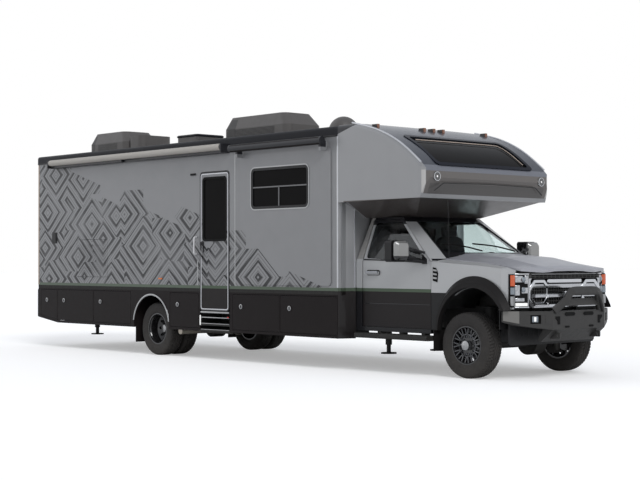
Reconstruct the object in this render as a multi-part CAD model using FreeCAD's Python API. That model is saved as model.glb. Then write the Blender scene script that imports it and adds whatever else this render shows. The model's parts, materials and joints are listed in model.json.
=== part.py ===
"""Motorhome on a heavy pickup chassis: cab-over cap, box coach, one slide-out room, dual rear wheels.

Millimetres. X points forward, Y to the left, Z up. The origin is on the ground, at the middle of the
overall length and width. The vehicle stands at rest: doors shut, slide-out room in, wheels straight.
"""
import FreeCAD, Part
import math
import os

# Shared gaps and overruns
PANEL_GAP = 6.0
OVERRUN = 20.0
SEAT_GAP = 0.3
MERGE_DISTANCE = 0.001

# Wheels
TYRE_RADIUS = 420.0
TYRE_WIDTH = 245.0
RIM_RADIUS = 248.0
RIM_WALL = 9.0
RIM_WIDTH = 206.0
DISC_THICK = 12.0
FRONT_DISH = 36.0
FRONT_HUB_DEPTH = 84.0
FRONT_HUB_REACH = 60.0
REAR_HUB_DEPTH = 40.0
REAR_HUB_REACH = 110.0
HUB_RADIUS = 62.0
HUB_FLANGE_RADIUS = 132.0
STUD_CIRCLE_RADIUS = 112.5
STUD_RADIUS = 11.0
STUD_LENGTH = 36.0
STUD_COUNT = 10
HAND_HOLE_COUNT = 10
HAND_HOLE_RADIUS = 24.0
HAND_HOLE_CIRCLE = 178.0
TREAD_SHOULDER_SHARE = 0.64
SIDEWALL_SHARE = 0.62
DUAL_TYRE_GAP = 40.0

DUAL_SPACING = TYRE_WIDTH + DUAL_TYRE_GAP

# Chassis
RAIL_OUTER = 430.0
RAIL_WIDTH = 76.0
RAIL_HEIGHT = 230.0
RAIL_TOP = 900.0
RAIL_WALL = 10.0
RAIL_FRONT = 620.0
RAIL_KICK = 140.0
RAIL_REAR_MARGIN = 60.0
CROSS_COUNT = 9
CROSS_FRONT_BACK = 1550.0
CROSS_RADIUS = 55.0
BODY_SILL_WIDTH = 60.0
BODY_SILL_HEIGHT = 70.0
BEAM_COUNT = 8
BEAM_WIDTH = 50.0
BEAM_HEIGHT = 60.0
BEAM_OVERHANG = 234.0
ENGINE_LENGTH = 820.0
ENGINE_WIDTH = 620.0
ENGINE_LOW = 640.0
ENGINE_HEIGHT = 620.0
ENGINE_FRONT = 420.0
GEARBOX_LENGTH = 900.0
GEARBOX_RADIUS = 150.0
GEARBOX_Z = 720.0

BEAM_HALF = RAIL_OUTER + BEAM_OVERHANG
FLOOR_LOW = RAIL_TOP + BODY_SILL_HEIGHT + BEAM_HEIGHT

# Axles, knuckles and springs
AXLE_RADIUS = 62.0
KNUCKLE_OUT = 215.0
KNUCKLE_RADIUS = 58.0
KNUCKLE_HEIGHT = 260.0
SPINDLE_RADIUS = 38.0
SPINDLE_REACH = 136.0
YOKE_CLEARANCE = 16.0
YOKE_THICK = 34.0
YOKE_WIDTH = 120.0
DIFF_RADIUS = 170.0
DIFF_WIDTH = 210.0
FRONT_DIFF_Y = 280.0
SPRING_WIDTH = 76.0
SPRING_THICK = 56.0
SPRING_HALF_LENGTH = 760.0
SPRING_RISE = 150.0
SPRING_RAIL_GAP = 32.0
SPRING_TYRE_GAP = 134.5
FRONT_SPRING_RADIUS = 75.0
FRONT_SPRING_RAIL_GAP = 55.0
SHAFT_RADIUS = 48.0
STEER_ARM = 170.0
ARM_LENGTH = 900.0
ARM_RADIUS = 36.0

SPRING_Y = RAIL_OUTER + SPRING_RAIL_GAP + SPRING_WIDTH / 2
FRONT_SPRING_Y = RAIL_OUTER + FRONT_SPRING_RAIL_GAP + FRONT_SPRING_RADIUS
KNUCKLE_Y = FRONT_SPRING_Y + KNUCKLE_OUT
FRONT_TRACK_HALF = KNUCKLE_Y + SPINDLE_REACH
REAR_INNER_HALF = SPRING_Y + SPRING_WIDTH / 2 + SPRING_TYRE_GAP + TYRE_WIDTH / 2
REAR_OUTER_HALF = REAR_INNER_HALF + DUAL_SPACING

# Skirts and baggage doors, from the coach's rear edge forward
SKIRT_TYRE_MARGIN = 67.5
SKIRT_THICK = 40.0
SKIRT_LOW = 432.0
SKIRT_REAR_LIFT = 85.0
SKIRT_LIFT_LENGTH = 640.0
BAY_REAR_MARGIN = 95.0
BAY_1_WIDTH = 516.0
BAY_2_WIDTH = 1101.0
BAY_3_WIDTH = 1071.0
BAY_4_WIDTH = 730.0
BAY_5_WIDTH = 1059.0
BAY_6_WIDTH = 1194.0
BAY_POST = 30.0
BAY_TO_ARCH = 102.0
ARCH_TO_BAY = 41.0
BAY_TO_ENTRY = 43.0
ENTRY_WIDTH = 716.0
ENTRY_TO_BAY = 77.0
BAY_FRONT_MARGIN = 15.0
BAY_TOP_MARGIN = 30.0
BAY_LOW_MARGIN = 45.0
BAY_RADIUS = 25.0
BAY_PANEL = 20.0
BAY_LATCH_RADIUS = 26.0
BAY_LATCH_REACH = 6.0
BAY_LATCH_INSET = 200.0
BAY_LATCH_DROP = 208.0
DOOR_THICK = 40.0
REAR_ARCH_CLEARANCE = 50.0
REAR_ARCH_BACK_SHIFT = 55.0
REAR_ARCH_LIFT = 60.0
REAR_FLAP_WIDTH = 560.0
REAR_FLAP_THICK = 10.0
REAR_FLAP_LOW = 190.0

COACH_HALF = REAR_OUTER_HALF + TYRE_WIDTH / 2 + SKIRT_TYRE_MARGIN
BAY_DEPTH = COACH_HALF - SKIRT_THICK - PANEL_GAP - BEAM_HALF
BAY_LATCH_Z = FLOOR_LOW - BAY_LATCH_DROP
REAR_ARCH_RADIUS = TYRE_RADIUS + REAR_ARCH_CLEARANCE
REAR_ARCH_Z = TYRE_RADIUS + REAR_ARCH_LIFT
BAY_2_OFFSET = BAY_REAR_MARGIN + BAY_1_WIDTH + BAY_POST
BAY_3_OFFSET = BAY_2_OFFSET + BAY_2_WIDTH + BAY_POST
REAR_ARCH_OFFSET = BAY_3_OFFSET + BAY_3_WIDTH + BAY_TO_ARCH + REAR_ARCH_RADIUS
BAY_4_OFFSET = REAR_ARCH_OFFSET + REAR_ARCH_RADIUS + ARCH_TO_BAY
ENTRY_OFFSET = BAY_4_OFFSET + BAY_4_WIDTH + BAY_TO_ENTRY
BAY_5_OFFSET = ENTRY_OFFSET + ENTRY_WIDTH + ENTRY_TO_BAY
BAY_6_OFFSET = BAY_5_OFFSET + BAY_5_WIDTH + BAY_POST
COACH_LENGTH = BAY_6_OFFSET + BAY_6_WIDTH + BAY_FRONT_MARGIN
RIGHT_BAY_OFFSETS = (BAY_REAR_MARGIN, BAY_2_OFFSET, BAY_3_OFFSET, BAY_4_OFFSET, BAY_5_OFFSET, BAY_6_OFFSET)
RIGHT_BAY_WIDTHS = (BAY_1_WIDTH, BAY_2_WIDTH, BAY_3_WIDTH, BAY_4_WIDTH, BAY_5_WIDTH, BAY_6_WIDTH)
LEFT_BAY_OFFSETS = (BAY_2_OFFSET, BAY_3_OFFSET, BAY_5_OFFSET)
LEFT_BAY_WIDTHS = (BAY_2_WIDTH, BAY_3_WIDTH, BAY_5_WIDTH)

# Overall layout, from the rear bumper forward
REAR_BUMPER_REACH = 210.0
CAB_GAP = 97.0
CAB_LENGTH = 1498.0
AXLE_AHEAD = 515.0
HOOP_FACE = 1074.0
HOOP_RADIUS = 36.0

CAB_START = REAR_BUMPER_REACH + COACH_LENGTH + CAB_GAP
FRONT_AXLE_START = CAB_START + CAB_LENGTH + AXLE_AHEAD
LENGTH = FRONT_AXLE_START + HOOP_FACE + HOOP_RADIUS
COACH_REAR_X = REAR_BUMPER_REACH - LENGTH / 2
COACH_FRONT_X = COACH_REAR_X + COACH_LENGTH
CAB_REAR_X = CAB_START - LENGTH / 2
CAB_FRONT_X = CAB_REAR_X + CAB_LENGTH
FRONT_AXLE_X = FRONT_AXLE_START - LENGTH / 2
REAR_AXLE_X = COACH_REAR_X + REAR_ARCH_OFFSET + REAR_ARCH_BACK_SHIFT
REAR_ARCH_X = COACH_REAR_X + REAR_ARCH_OFFSET
CROSS_FRONT_X = FRONT_AXLE_X - CROSS_FRONT_BACK
GEARBOX_REAR_X = FRONT_AXLE_X + ENGINE_FRONT - ENGINE_LENGTH - GEARBOX_LENGTH

# Cab
CAB_SIDE_MARGIN = 105.0
CAB_SILL_LOW = 545.0
CAB_SILL_WIDTH = 100.0
CAB_MOUNT_HEIGHT = 30.0
CAB_ROOF_SKIN_SHARE = 0.5
CAB_BELT = 1500.0
CAB_ROOF_RISE = 585.0
CAB_WALL = 50.0
CAB_ROOF_REAR_INSET = 70.0
CAB_ROOF_HALF = 772.0
CAB_ROOF_SIDE_BACK = 838.0
CAB_ROOF_FRONT_BACK = 786.0
CAB_ROOF_BOW_BACK = 738.0
CAB_ROOF_FRONT_HALF = 625.0
CAB_BELT_SIDE_BACK = 108.0
CAB_BELT_FRONT_AHEAD = 55.0
CAB_BELT_BOW_AHEAD = 127.0
CAB_BELT_FRONT_HALF = 830.0
CAB_BELT_MARGIN = 6.0
WINDSHIELD_LOW_RISE = 100.0
WINDSHIELD_TOP_DROP = 63.0
WINDSHIELD_PILLAR = 10.0
CAB_PASS_LIFT = 10.0
CAB_PASS_TOP_DROP = 135.0
CAB_PASS_HALF = 460.0

CAB_HALF = FRONT_TRACK_HALF + CAB_SIDE_MARGIN
CAB_ROOF = CAB_BELT + CAB_ROOF_RISE
CAB_ROOF_SIDE_FRONT = CAB_LENGTH - CAB_ROOF_SIDE_BACK
CAB_ROOF_FRONT = CAB_LENGTH - CAB_ROOF_FRONT_BACK
CAB_ROOF_BOW = CAB_LENGTH - CAB_ROOF_BOW_BACK
CAB_BELT_SIDE_FRONT = CAB_LENGTH - CAB_BELT_SIDE_BACK
CAB_BELT_FRONT = CAB_LENGTH + CAB_BELT_FRONT_AHEAD
CAB_BELT_BOW = CAB_LENGTH + CAB_BELT_BOW_AHEAD
CAB_BELT_HALF = CAB_HALF - CAB_BELT_MARGIN
WINDSHIELD_LOW = CAB_BELT + WINDSHIELD_LOW_RISE
WINDSHIELD_TOP = CAB_ROOF - WINDSHIELD_TOP_DROP

# Front cap over the cab: its side outline in shares of its length and height
CAP_LENGTH = 1642.0
CAP_HEIGHT = 1110.0
CAP_LIFT = 205.0
CAP_THICK = 40.0
CAP_CHIN_SHARES = (0.9391, 0.0162)
CAP_NOSE_SHARES = (1.0, 0.2523)
CAP_BROW_SHARES = (0.9963, 0.3351)
CAP_CURVE_SHARES = ((0.9166, 0.4550), (0.7004, 0.6865), (0.4629, 0.8486), (0.1827, 0.9568))
CAP_FRONT_CORNER_RADIUS = 130.0
CAP_WINDOW_LOW_SHARES = (0.9409, 0.3901)
CAP_WINDOW_HIGH_SHARES = (0.5804, 0.7532)
CAP_WINDOW_SIDE = 331.0
CAP_WINDOW_RADIUS = 70.0
CAP_FAIRING_TOP_MARGIN = 55.0
CAP_FAIRING_LOW_REAR_HALF = 860.0
CAP_FAIRING_LOW_FRONT_HALF = 640.0
CAP_FAIRING_AHEAD = 71.0
CORNER_PANEL_THICK = 35.0

CAP_FOOT = CAB_ROOF + CAP_LIFT
CAP_WINDOW_HALF = COACH_HALF - CAP_WINDOW_SIDE
CAP_FAIRING_TOP_HALF = COACH_HALF - CAP_FAIRING_TOP_MARGIN
CAP_FAIRING_LOW_FRONT_X = CAB_GAP + CAB_ROOF_FRONT + CAP_FAIRING_AHEAD

# Coach box
WALL = 50.0
FLOOR_THICK = 50.0
ROOF_EDGE_RISE = 123.0
ROOF_CROWN = 60.0
ROOF_CORNER_RADIUS = 45.0
ROOF_SKIN = 70.0
ROOF_REAR_OVERHANG = 25.0

ROOF_TOP = CAP_FOOT + CAP_HEIGHT
ROOF_EDGE = ROOF_TOP - ROOF_CROWN
WALL_TOP = ROOF_EDGE - ROOF_EDGE_RISE
WALL_LOW = FLOOR_LOW + FLOOR_THICK
WALL_INNER = COACH_HALF - WALL
CAB_PASS_LOW = WALL_LOW + CAB_PASS_LIFT
CAB_PASS_HIGH = CAB_ROOF - CAB_PASS_TOP_DROP

# Entry door, on the right, hinged at its front edge
ENTRY_LIFT = 305.0
ENTRY_TOP_DROP = 375.0
ENTRY_RADIUS = 60.0
ENTRY_GLASS_SIDE = 84.0
ENTRY_GLASS_TOP = 98.0
ENTRY_GLASS_HEIGHT = 930.0
BARREL_SHARE = 0.54
BARREL_PLACE_SHARES = (0.15, 0.85)
BARREL_LENGTH = 60.0
GLASS_THICK = 6.0
GLASS_SINK = 12.0
HANDLE_RADIUS = 14.0
ENTRY_GRAB_BACK = 77.0
ENTRY_GRAB_LIFT = 863.0
ENTRY_GRAB_HEIGHT = 260.0
GRAB_STANDOFF = 60.0
STEP_WELL_DEPTH = 420.0
STEP_WELL_DROP = 23.0
STEP_TREAD_THICK = 26.0
STEP_TREAD_DEPTH = 260.0
STEP_COUNT = 2
STEP_PITCH = 90.0

ENTRY_REAR_X = COACH_REAR_X + ENTRY_OFFSET
ENTRY_FRONT_X = ENTRY_REAR_X + ENTRY_WIDTH
ENTRY_LOW = SKIRT_LOW + ENTRY_LIFT
ENTRY_HEIGHT = WALL_TOP - ENTRY_TOP_DROP - ENTRY_LOW
ENTRY_GRAB_X = ENTRY_REAR_X - ENTRY_GRAB_BACK
ENTRY_GRAB_LOW = ENTRY_LOW + ENTRY_GRAB_LIFT
STEP_WELL_LOW = SKIRT_LOW - STEP_WELL_DROP

# Slide-out room, on the right
SLIDE_ENTRY_GAP = 265.0
SLIDE_FRONT_MARGIN = 130.0
SLIDE_LIFT = 70.0
SLIDE_TOP_DROP = 167.0
SLIDE_FLANGE = 30.0
SLIDE_FLANGE_THICK = 15.0
SLIDE_WALL = 40.0
SLIDE_DEPTH = 760.0
SLIDE_RADIUS = 60.0
SLIDE_WINDOW_MARGIN = 273.0
SLIDE_WINDOW_DROP = 217.0
SLIDE_WINDOW_WIDTH = 1245.0
SLIDE_WINDOW_HEIGHT = 580.0
WINDOW_RADIUS = 50.0
ROLLER_REACH = 130.0
TOPPER_RADIUS = 54.0
TOPPER_LIFT = 98.0
TOPPER_REAR_OVERHANG = 86.0
TOPPER_FRONT_INSET = 47.0
TOPPER_BRACKET = 40.0

SLIDE_REAR_X = ENTRY_FRONT_X + SLIDE_ENTRY_GAP
SLIDE_WIDTH = COACH_FRONT_X - SLIDE_FRONT_MARGIN - SLIDE_REAR_X
SLIDE_LOW = WALL_LOW + SLIDE_LIFT
SLIDE_HEIGHT = WALL_TOP - SLIDE_TOP_DROP - SLIDE_LOW
SLIDE_WINDOW_REAR_X = SLIDE_REAR_X + SLIDE_WINDOW_MARGIN
SLIDE_WINDOW_LOW = SLIDE_LOW + SLIDE_HEIGHT - SLIDE_WINDOW_DROP - SLIDE_WINDOW_HEIGHT
TOPPER_Z = SLIDE_LOW + SLIDE_HEIGHT + TOPPER_LIFT
TOPPER_REAR_X = SLIDE_REAR_X - TOPPER_REAR_OVERHANG
TOPPER_LENGTH = SLIDE_WIDTH + TOPPER_REAR_OVERHANG - TOPPER_FRONT_INSET
ROLLER_Y = COACH_HALF + ROLLER_REACH

# Patio awning, on the right
AWNING_REAR_MARGIN = 590.0
AWNING_FRONT_INSET = 11.0
AWNING_RADIUS = 47.0
AWNING_DROP = 27.0
AWNING_CHANNEL_HEIGHT = 90.0
AWNING_CHANNEL_DEPTH = 70.0
AWNING_END_CAP = 24.0
AWNING_ARM_HEIGHT = 46.0
AWNING_ARM_DEPTH = 40.0
AWNING_ARM_DROP = 62.0
AWNING_ARM_LENGTH = 2150.0

AWNING_REAR_X = COACH_REAR_X + AWNING_REAR_MARGIN
AWNING_LENGTH = ENTRY_FRONT_X - AWNING_FRONT_INSET - AWNING_REAR_X
AWNING_Z = WALL_TOP - AWNING_DROP

# Windows of the left wall: distance of each rear edge from the coach's rear, and its width
LEFT_WINDOW_OFFSETS = (900.0, 3300.0, 5150.0)
LEFT_WINDOW_WIDTHS = (900.0, 1100.0, 1245.0)

# Outside hatch of the right wall, hinged along its top edge
HATCH_MARGIN = 1250.0
HATCH_WIDTH = 920.0
HATCH_LIFT = 155.0
HATCH_HEIGHT = 620.0
HATCH_DEPTH = 330.0
HATCH_BOX_WALL = 15.0

HATCH_REAR_X = COACH_REAR_X + HATCH_MARGIN
HATCH_FRONT_X = HATCH_REAR_X + HATCH_WIDTH
HATCH_LOW = WALL_LOW + HATCH_LIFT

# Cab doors, hinged at their front edges
CAB_DOOR_REAR = 133.0
CAB_DOOR_FRONT_MARGIN = 96.0
CAB_DOOR_LIFT = 63.0
CAB_DOOR_TOP_DROP = 37.0
CAB_DOOR_REAR_GAP = 16.0
CAB_DOOR_SLANT = 655.0
CAB_DOOR_STEP = 60.0
CAB_DOOR_STEP_HALF = 20.0
CAB_WINDOW_FRAME = 38.0
CAB_WINDOW_FRONT_FRAME = 94.0
CAB_WINDOW_SILL_REAR_RISE = 30.0
CAB_WINDOW_SILL_FRONT_DROP = 35.0
CAB_HANDLE_REAR = 85.0
CAB_HANDLE_LENGTH = 230.0
CAB_HANDLE_HEIGHT = 40.0
CAB_HANDLE_DROP = 192.0
CAB_HANDLE_REACH = 34.0

CAB_DOOR_LENGTH = CAB_LENGTH - CAB_DOOR_REAR - CAB_DOOR_FRONT_MARGIN
CAB_DOOR_REAR_X = CAB_REAR_X + CAB_DOOR_REAR
CAB_DOOR_FRONT_X = CAB_DOOR_REAR_X + CAB_DOOR_LENGTH
CAB_DOOR_LOW = CAB_SILL_LOW + CAB_DOOR_LIFT
CAB_DOOR_HIGH = CAB_ROOF - CAB_DOOR_TOP_DROP
CAB_DOOR_STEP_LOW = CAB_BELT - CAB_DOOR_STEP_HALF
CAB_DOOR_STEP_HIGH = CAB_BELT + CAB_DOOR_STEP_HALF

# Door mirrors
MIRROR_CAB_GAP = 174.0
MIRROR_WIDTH = 264.0
MIRROR_HEIGHT = 284.0
MIRROR_DEPTH = 120.0
MIRROR_DROP = 22.0
MIRROR_BACK = 260.0
MIRROR_RADIUS = 38.0
MIRROR_BASE_BACK = 89.0
MIRROR_BASE_LENGTH = 72.0
MIRROR_BASE_HEIGHT = 205.0
MIRROR_BASE_DROP = 50.0
MIRROR_BASE_REACH = 34.0
MIRROR_ARM_RADIUS = 17.0
MIRROR_ARM_SHARES = (0.16, 0.72)

MIRROR_BASE_X = CAB_DOOR_FRONT_X - MIRROR_BASE_BACK
MIRROR_X = MIRROR_BASE_X - MIRROR_BACK
MIRROR_INNER = CAB_HALF + MIRROR_CAB_GAP
MIRROR_REACH = MIRROR_INNER + MIRROR_WIDTH
MIRROR_LOW = CAB_BELT - MIRROR_DROP
MIRROR_BASE_LOW = CAB_BELT - MIRROR_BASE_DROP

# Grille and headlamps, placed from the front axle
GRILLE_FACE = 770.0
GRILLE_HALF = 715.0
GRILLE_TOP_DROP = 175.0
GRILLE_HEIGHT = 420.0
GRILLE_DEPTH = 60.0
GRILLE_CHAMFER = 62.0
GRILLE_FRAME = 34.0
GRILLE_BAR_HEIGHT = 46.0
GRILLE_SLAT_DEPTH = 22.0
GRILLE_RIB = 18.0
GRILLE_RIB_COUNT = 11
LAMP_WIDTH = 177.0
LAMP_TOP_RISE = 10.0
LAMP_SWEEP = 84.0
LAMP_DEPTH = 130.0
LAMP_SETBACK = 6.0
RADIATOR_SIDE = 115.0
RADIATOR_THICK = 100.0
NOSE_PANEL_MARGIN = 41.0

GRILLE_HIGH = CAB_BELT - GRILLE_TOP_DROP
GRILLE_LOW = GRILLE_HIGH - GRILLE_HEIGHT
LAMP_OUTER = GRILLE_HALF + LAMP_WIDTH
LAMP_LOW = GRILLE_LOW
LAMP_HIGH = GRILLE_HIGH + LAMP_TOP_RISE
LAMP_FACE_OUTER = GRILLE_FACE - LAMP_SETBACK - LAMP_SWEEP
NOSE_PANEL_BACK = LAMP_FACE_OUTER - LAMP_DEPTH

# Front bumper, placed from the front axle
BUMPER_FACE = 992.0
BUMPER_CENTRE_HALF = 522.0
BUMPER_GRILLE_GAP = 40.0
BUMPER_FACE_HEIGHT = 229.0
BUMPER_WING = (770.0, 882.0)
BUMPER_END_X = 612.0
BUMPER_END_MARGIN = 32.0
BUMPER_WING_RISE = 54.0
BUMPER_END_RISE = 101.0
BUMPER_DEPTH = 110.0
BUMPER_CHIN_FACE = 799.0
BUMPER_CHIN_DROP = 158.0
BUMPER_CHIN_DEPTH = 120.0
BUMPER_POCKET = 46.0
FOG_POCKET_SHARES = (0.22, 0.86)
FOG_DROP = 99.0
FOG_SIZE = 84.0
HOOP_TOP_HALF = 262.0
HOOP_TOP_RISE = 228.0
HOOP_FOOT_FACE = 945.0
HOOP_FOOT_HALF = 475.0
HOOP_BEND = 90.0
HOOP_BAR_RISE = 110.0
HOOP_BAR_HEIGHT = 90.0
HOOP_BAR_DEPTH = 40.0
HOOP_BAR_HALF = 300.0
RECOVERY_Y = 400.0
RECOVERY_DROP = 76.0
RECOVERY_THICK = 25.0
RECOVERY_LUG = 80.0
RECOVERY_HOLE_RADIUS = 13.0

BUMPER_TOP = GRILLE_LOW - BUMPER_GRILLE_GAP
BUMPER_FACE_LOW = BUMPER_TOP - BUMPER_FACE_HEIGHT
BUMPER_WING_END = (BUMPER_END_X, CAB_HALF + BUMPER_END_MARGIN)
BUMPER_WING_LOW = BUMPER_FACE_LOW + BUMPER_WING_RISE
BUMPER_END_LOW = BUMPER_FACE_LOW + BUMPER_END_RISE
BUMPER_CHIN_LOW = BUMPER_FACE_LOW - BUMPER_CHIN_DROP
FOG_Z = BUMPER_TOP - FOG_DROP
HOOP_TOP = BUMPER_TOP + HOOP_TOP_RISE
HOOP_BAR_Z = BUMPER_TOP + HOOP_BAR_RISE
RECOVERY_Z = BUMPER_FACE_LOW - RECOVERY_DROP

# Hood and fenders: cross-sections from the front axle, halves in shares of the cab's, heights from the belt
HOOD_REAR_GAP = 30.0
HOOD_FRONT_STATIONS = (200.0, 750.0, 835.0)
HOOD_HALF_SHARES = (0.8583, 0.8543, 0.8268, 0.5167)
HOOD_SIDE_RISES = (20.0, -30.0, -108.0, -128.0)
HOOD_FOOT_RISES = (60.0, 8.0, -92.0, -120.0)
HOOD_BULGE_RISES = (88.0, 32.0, -76.0, -112.0)
HOOD_CENTRE_RISES = (98.0, 43.0, -70.0, -108.0)
HOOD_FOOT_SHARE = 0.68
HOOD_BULGE_SHARE = 0.56
HOOD_THICK = 30.0
HOOD_HINGE_BACK = 7.0
HOOD_HINGE_RADIUS = 7.6
HOOD_HINGE_Y = 556.0
HOOD_HINGE_RISE = 58.0
FENDER_CAB_LAP = 90.0
FENDER_STEP_BACK = 3.0
FENDER_STEP_FRONT = 17.0
FENDER_FRONT_STATIONS = (200.0, 560.0, 690.0)
FENDER_OUTER_SHARES = (1.0, 1.0, 1.0, 1.0, 0.9744, 0.9203)
FENDER_INNER_SHARES = (0.9685, 0.9685, 0.8661, 0.8661, 0.8622, 0.8524)
FENDER_BELT_RISES = (-20.0, -24.0, -26.0, -70.0, -105.0, -148.0)
FENDER_TOP_RISES = (-5.0, -8.0, 10.0, -38.0, -88.0, -128.0)
FENDER_THICK = 30.0
FENDER_LIFT = 55.0
FENDER_CUT_X = 560.0
FENDER_CUT_DROP = 13.0
COWL_THICK = 60.0
ARCH_REAR_X = -440.0
ARCH_TOP = (60.0, 1150.0)
ARCH_FRONT_X = 620.0
FLARE_REAR_X = -500.0
FLARE_TOP = (110.0, 1300.0)
FLARE_FRONT_X = 735.0
FLARE_FRONT_RISE = 15.0
FLARE_LIP_SHARE = 0.45
FLARE_REACH = 68.0
LINER_THICK = 12.0
LINER_RAIL_GAP = 20.0
LINER_REAR_X = -360.0
SPLASH_LOW = 640.0
FRONT_FLAP_X = -505.0
FRONT_FLAP_THICK = 12.0
FRONT_FLAP_LOW = 330.0
FRONT_FLAP_WIDTH = 210.0

HOOD_REAR = HOOD_REAR_GAP - AXLE_AHEAD
HOOD_HINGE_X = FRONT_AXLE_X + HOOD_REAR - HOOD_HINGE_BACK
HOOD_HINGE_Z = CAB_BELT + HOOD_HINGE_RISE
FENDER_REAR = -AXLE_AHEAD - FENDER_CAB_LAP
FENDER_LOW = CAB_SILL_LOW + FENDER_LIFT
ARCH_REAR = (ARCH_REAR_X, FENDER_LOW)
ARCH_FRONT = (ARCH_FRONT_X, BUMPER_TOP + PANEL_GAP)
FLARE_REAR = (FLARE_REAR_X, FENDER_LOW)
FLARE_FRONT = (FLARE_FRONT_X, BUMPER_TOP + FLARE_FRONT_RISE)

# Exhaust
EXHAUST_RADIUS = 50.0
MUFFLER_RADIUS = 110.0
MUFFLER_LENGTH = 800.0
MUFFLER_BACK = 1490.0
EXHAUST_Z = 580.0
EXHAUST_FRONT_BACK = 40.0
EXHAUST_TIP_AHEAD = 550.0
EXHAUST_TIP_INSET = 130.0
EXHAUST_TIP_Z = 400.0
EXHAUST_BEND = 150.0
EXHAUST_DIP_SHARES = (0.2, 0.7)

MUFFLER_X = COACH_FRONT_X - MUFFLER_BACK
EXHAUST_FRONT_X = COACH_FRONT_X - EXHAUST_FRONT_BACK
EXHAUST_TIP_X = REAR_AXLE_X + EXHAUST_TIP_AHEAD
EXHAUST_TIP_Y = COACH_HALF - EXHAUST_TIP_INSET

# Rear end
REAR_BUMPER_SIDE = 65.0
REAR_BUMPER_TOP_DROP = 4.0
REAR_BUMPER_BEVEL = 141.0
REAR_BUMPER_FOOT = 123.0
REAR_BUMPER_FOOT_X = 60.0
REAR_BUMPER_RADIUS = 110.0
REAR_BUMPER_WALL = 40.0
RECEIVER_OUTER = 63.5
RECEIVER_BORE = 51.0
RECEIVER_LENGTH = 420.0
RECEIVER_Z = 470.0
RECEIVER_PIN_RADIUS = 8.0
RECEIVER_PIN_INSET = 60.0
RECEIVER_REAR_INSET = 60.0
RECEIVER_BEAM = 76.0
REAR_LAMP_WIDTH = 90.0
REAR_LAMP_HEIGHT = 330.0
REAR_LAMP_SIDE = 160.0
REAR_LAMP_LIFT = 250.0
REAR_LAMP_REACH = 22.0

REAR_BUMPER_HALF = COACH_HALF - REAR_BUMPER_SIDE
REAR_BUMPER_TOP = WALL_LOW - REAR_BUMPER_TOP_DROP
REAR_BUMPER_LOW = SKIRT_LOW + SKIRT_REAR_LIFT
REAR_LAMP_Y = COACH_HALF - REAR_LAMP_SIDE
REAR_LAMP_LOW = WALL_LOW + REAR_LAMP_LIFT

# Small lamps
CLEARANCE_LENGTH = 105.0
CLEARANCE_WIDTH = 40.0
CLEARANCE_HEIGHT = 132.0
CLEARANCE_AHEAD = 560.0
CLEARANCE_DROP = 200.0
CLEARANCE_SIDE = 180.0
CLEARANCE_SPACING = 190.0
SIDE_MARKER_AHEAD = 204.0
SIDE_MARKER_RISE = 138.0
SIDE_MARKER_LENGTH = 90.0
SIDE_MARKER_HEIGHT = 26.0
SIDE_MARKER_REACH = 14.0
CAP_LAMP_SIDE = 218.0
CAP_LAMP_HEIGHT_SHARE = 0.264
CAP_LAMP_RADIUS = 52.0
CAP_LAMP_REACH = 12.0

CLEARANCE_END = COACH_HALF - CLEARANCE_SIDE
CLEARANCE_PLACES = (-CLEARANCE_END, -CLEARANCE_SPACING, 0.0, CLEARANCE_SPACING, CLEARANCE_END)
SIDE_MARKER_X = REAR_AXLE_X + SIDE_MARKER_AHEAD
SIDE_MARKER_Z = WALL_LOW + SIDE_MARKER_RISE
CAP_LAMP_Y = COACH_HALF - CAP_LAMP_SIDE
CAP_LAMP_Z = CAP_FOOT + CAP_HEIGHT * CAP_LAMP_HEIGHT_SHARE

# Roof equipment
REAR_COOLER_MARGIN = 210.0
REAR_COOLER_LENGTH = 1176.0
FRONT_COOLER_BACK = 3683.0
FRONT_COOLER_LENGTH = 1574.0
COOLER_HALF = 360.0
COOLER_HEIGHT = 375.0
COOLER_RADIUS = 120.0
COOLER_TAPER = 150.0
VENT_MARGIN = 2760.0
VENT_LENGTH = 560.0
VENT_HALF = 280.0
VENT_HEIGHT = 190.0
SKYLIGHT_MARGIN = 1390.0
SKYLIGHT_LENGTH = 420.0
SKYLIGHT_HALF = 330.0
SKYLIGHT_HEIGHT = 270.0
DOME_MARGIN = 6550.0
DOME_RADIUS = 225.0
DOME_HEIGHT = 245.0

# Running boards and levelling jacks
BOARD_LOW = 458.0
BOARD_HEIGHT = 68.0
BOARD_MARGIN = 153.0
BOARD_TUCK = 16.0
BOARD_REACH = 205.0
BOARD_BRACKET_WIDTH = 60.0
BOARD_BRACKET_COUNT = 3
JACK_FRONT_AHEAD = 200.0
JACK_REAR_MARGIN = 700.0
JACK_RADIUS = 45.0
JACK_ROD_RADIUS = 30.0
JACK_PAD_RADIUS = 110.0
JACK_PAD_THICK = 18.0
JACK_LOW = 205.0
JACK_TUBE_LOW = 330.0
JACK_BRACKET = 20.0

BOARD_REAR_X = CAB_REAR_X + BOARD_MARGIN
BOARD_LENGTH = CAB_LENGTH - BOARD_MARGIN
BOARD_INNER = CAB_HALF - BOARD_TUCK
JACK_STATIONS = (COACH_FRONT_X + JACK_FRONT_AHEAD, COACH_REAR_X + JACK_REAR_MARGIN)

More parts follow.
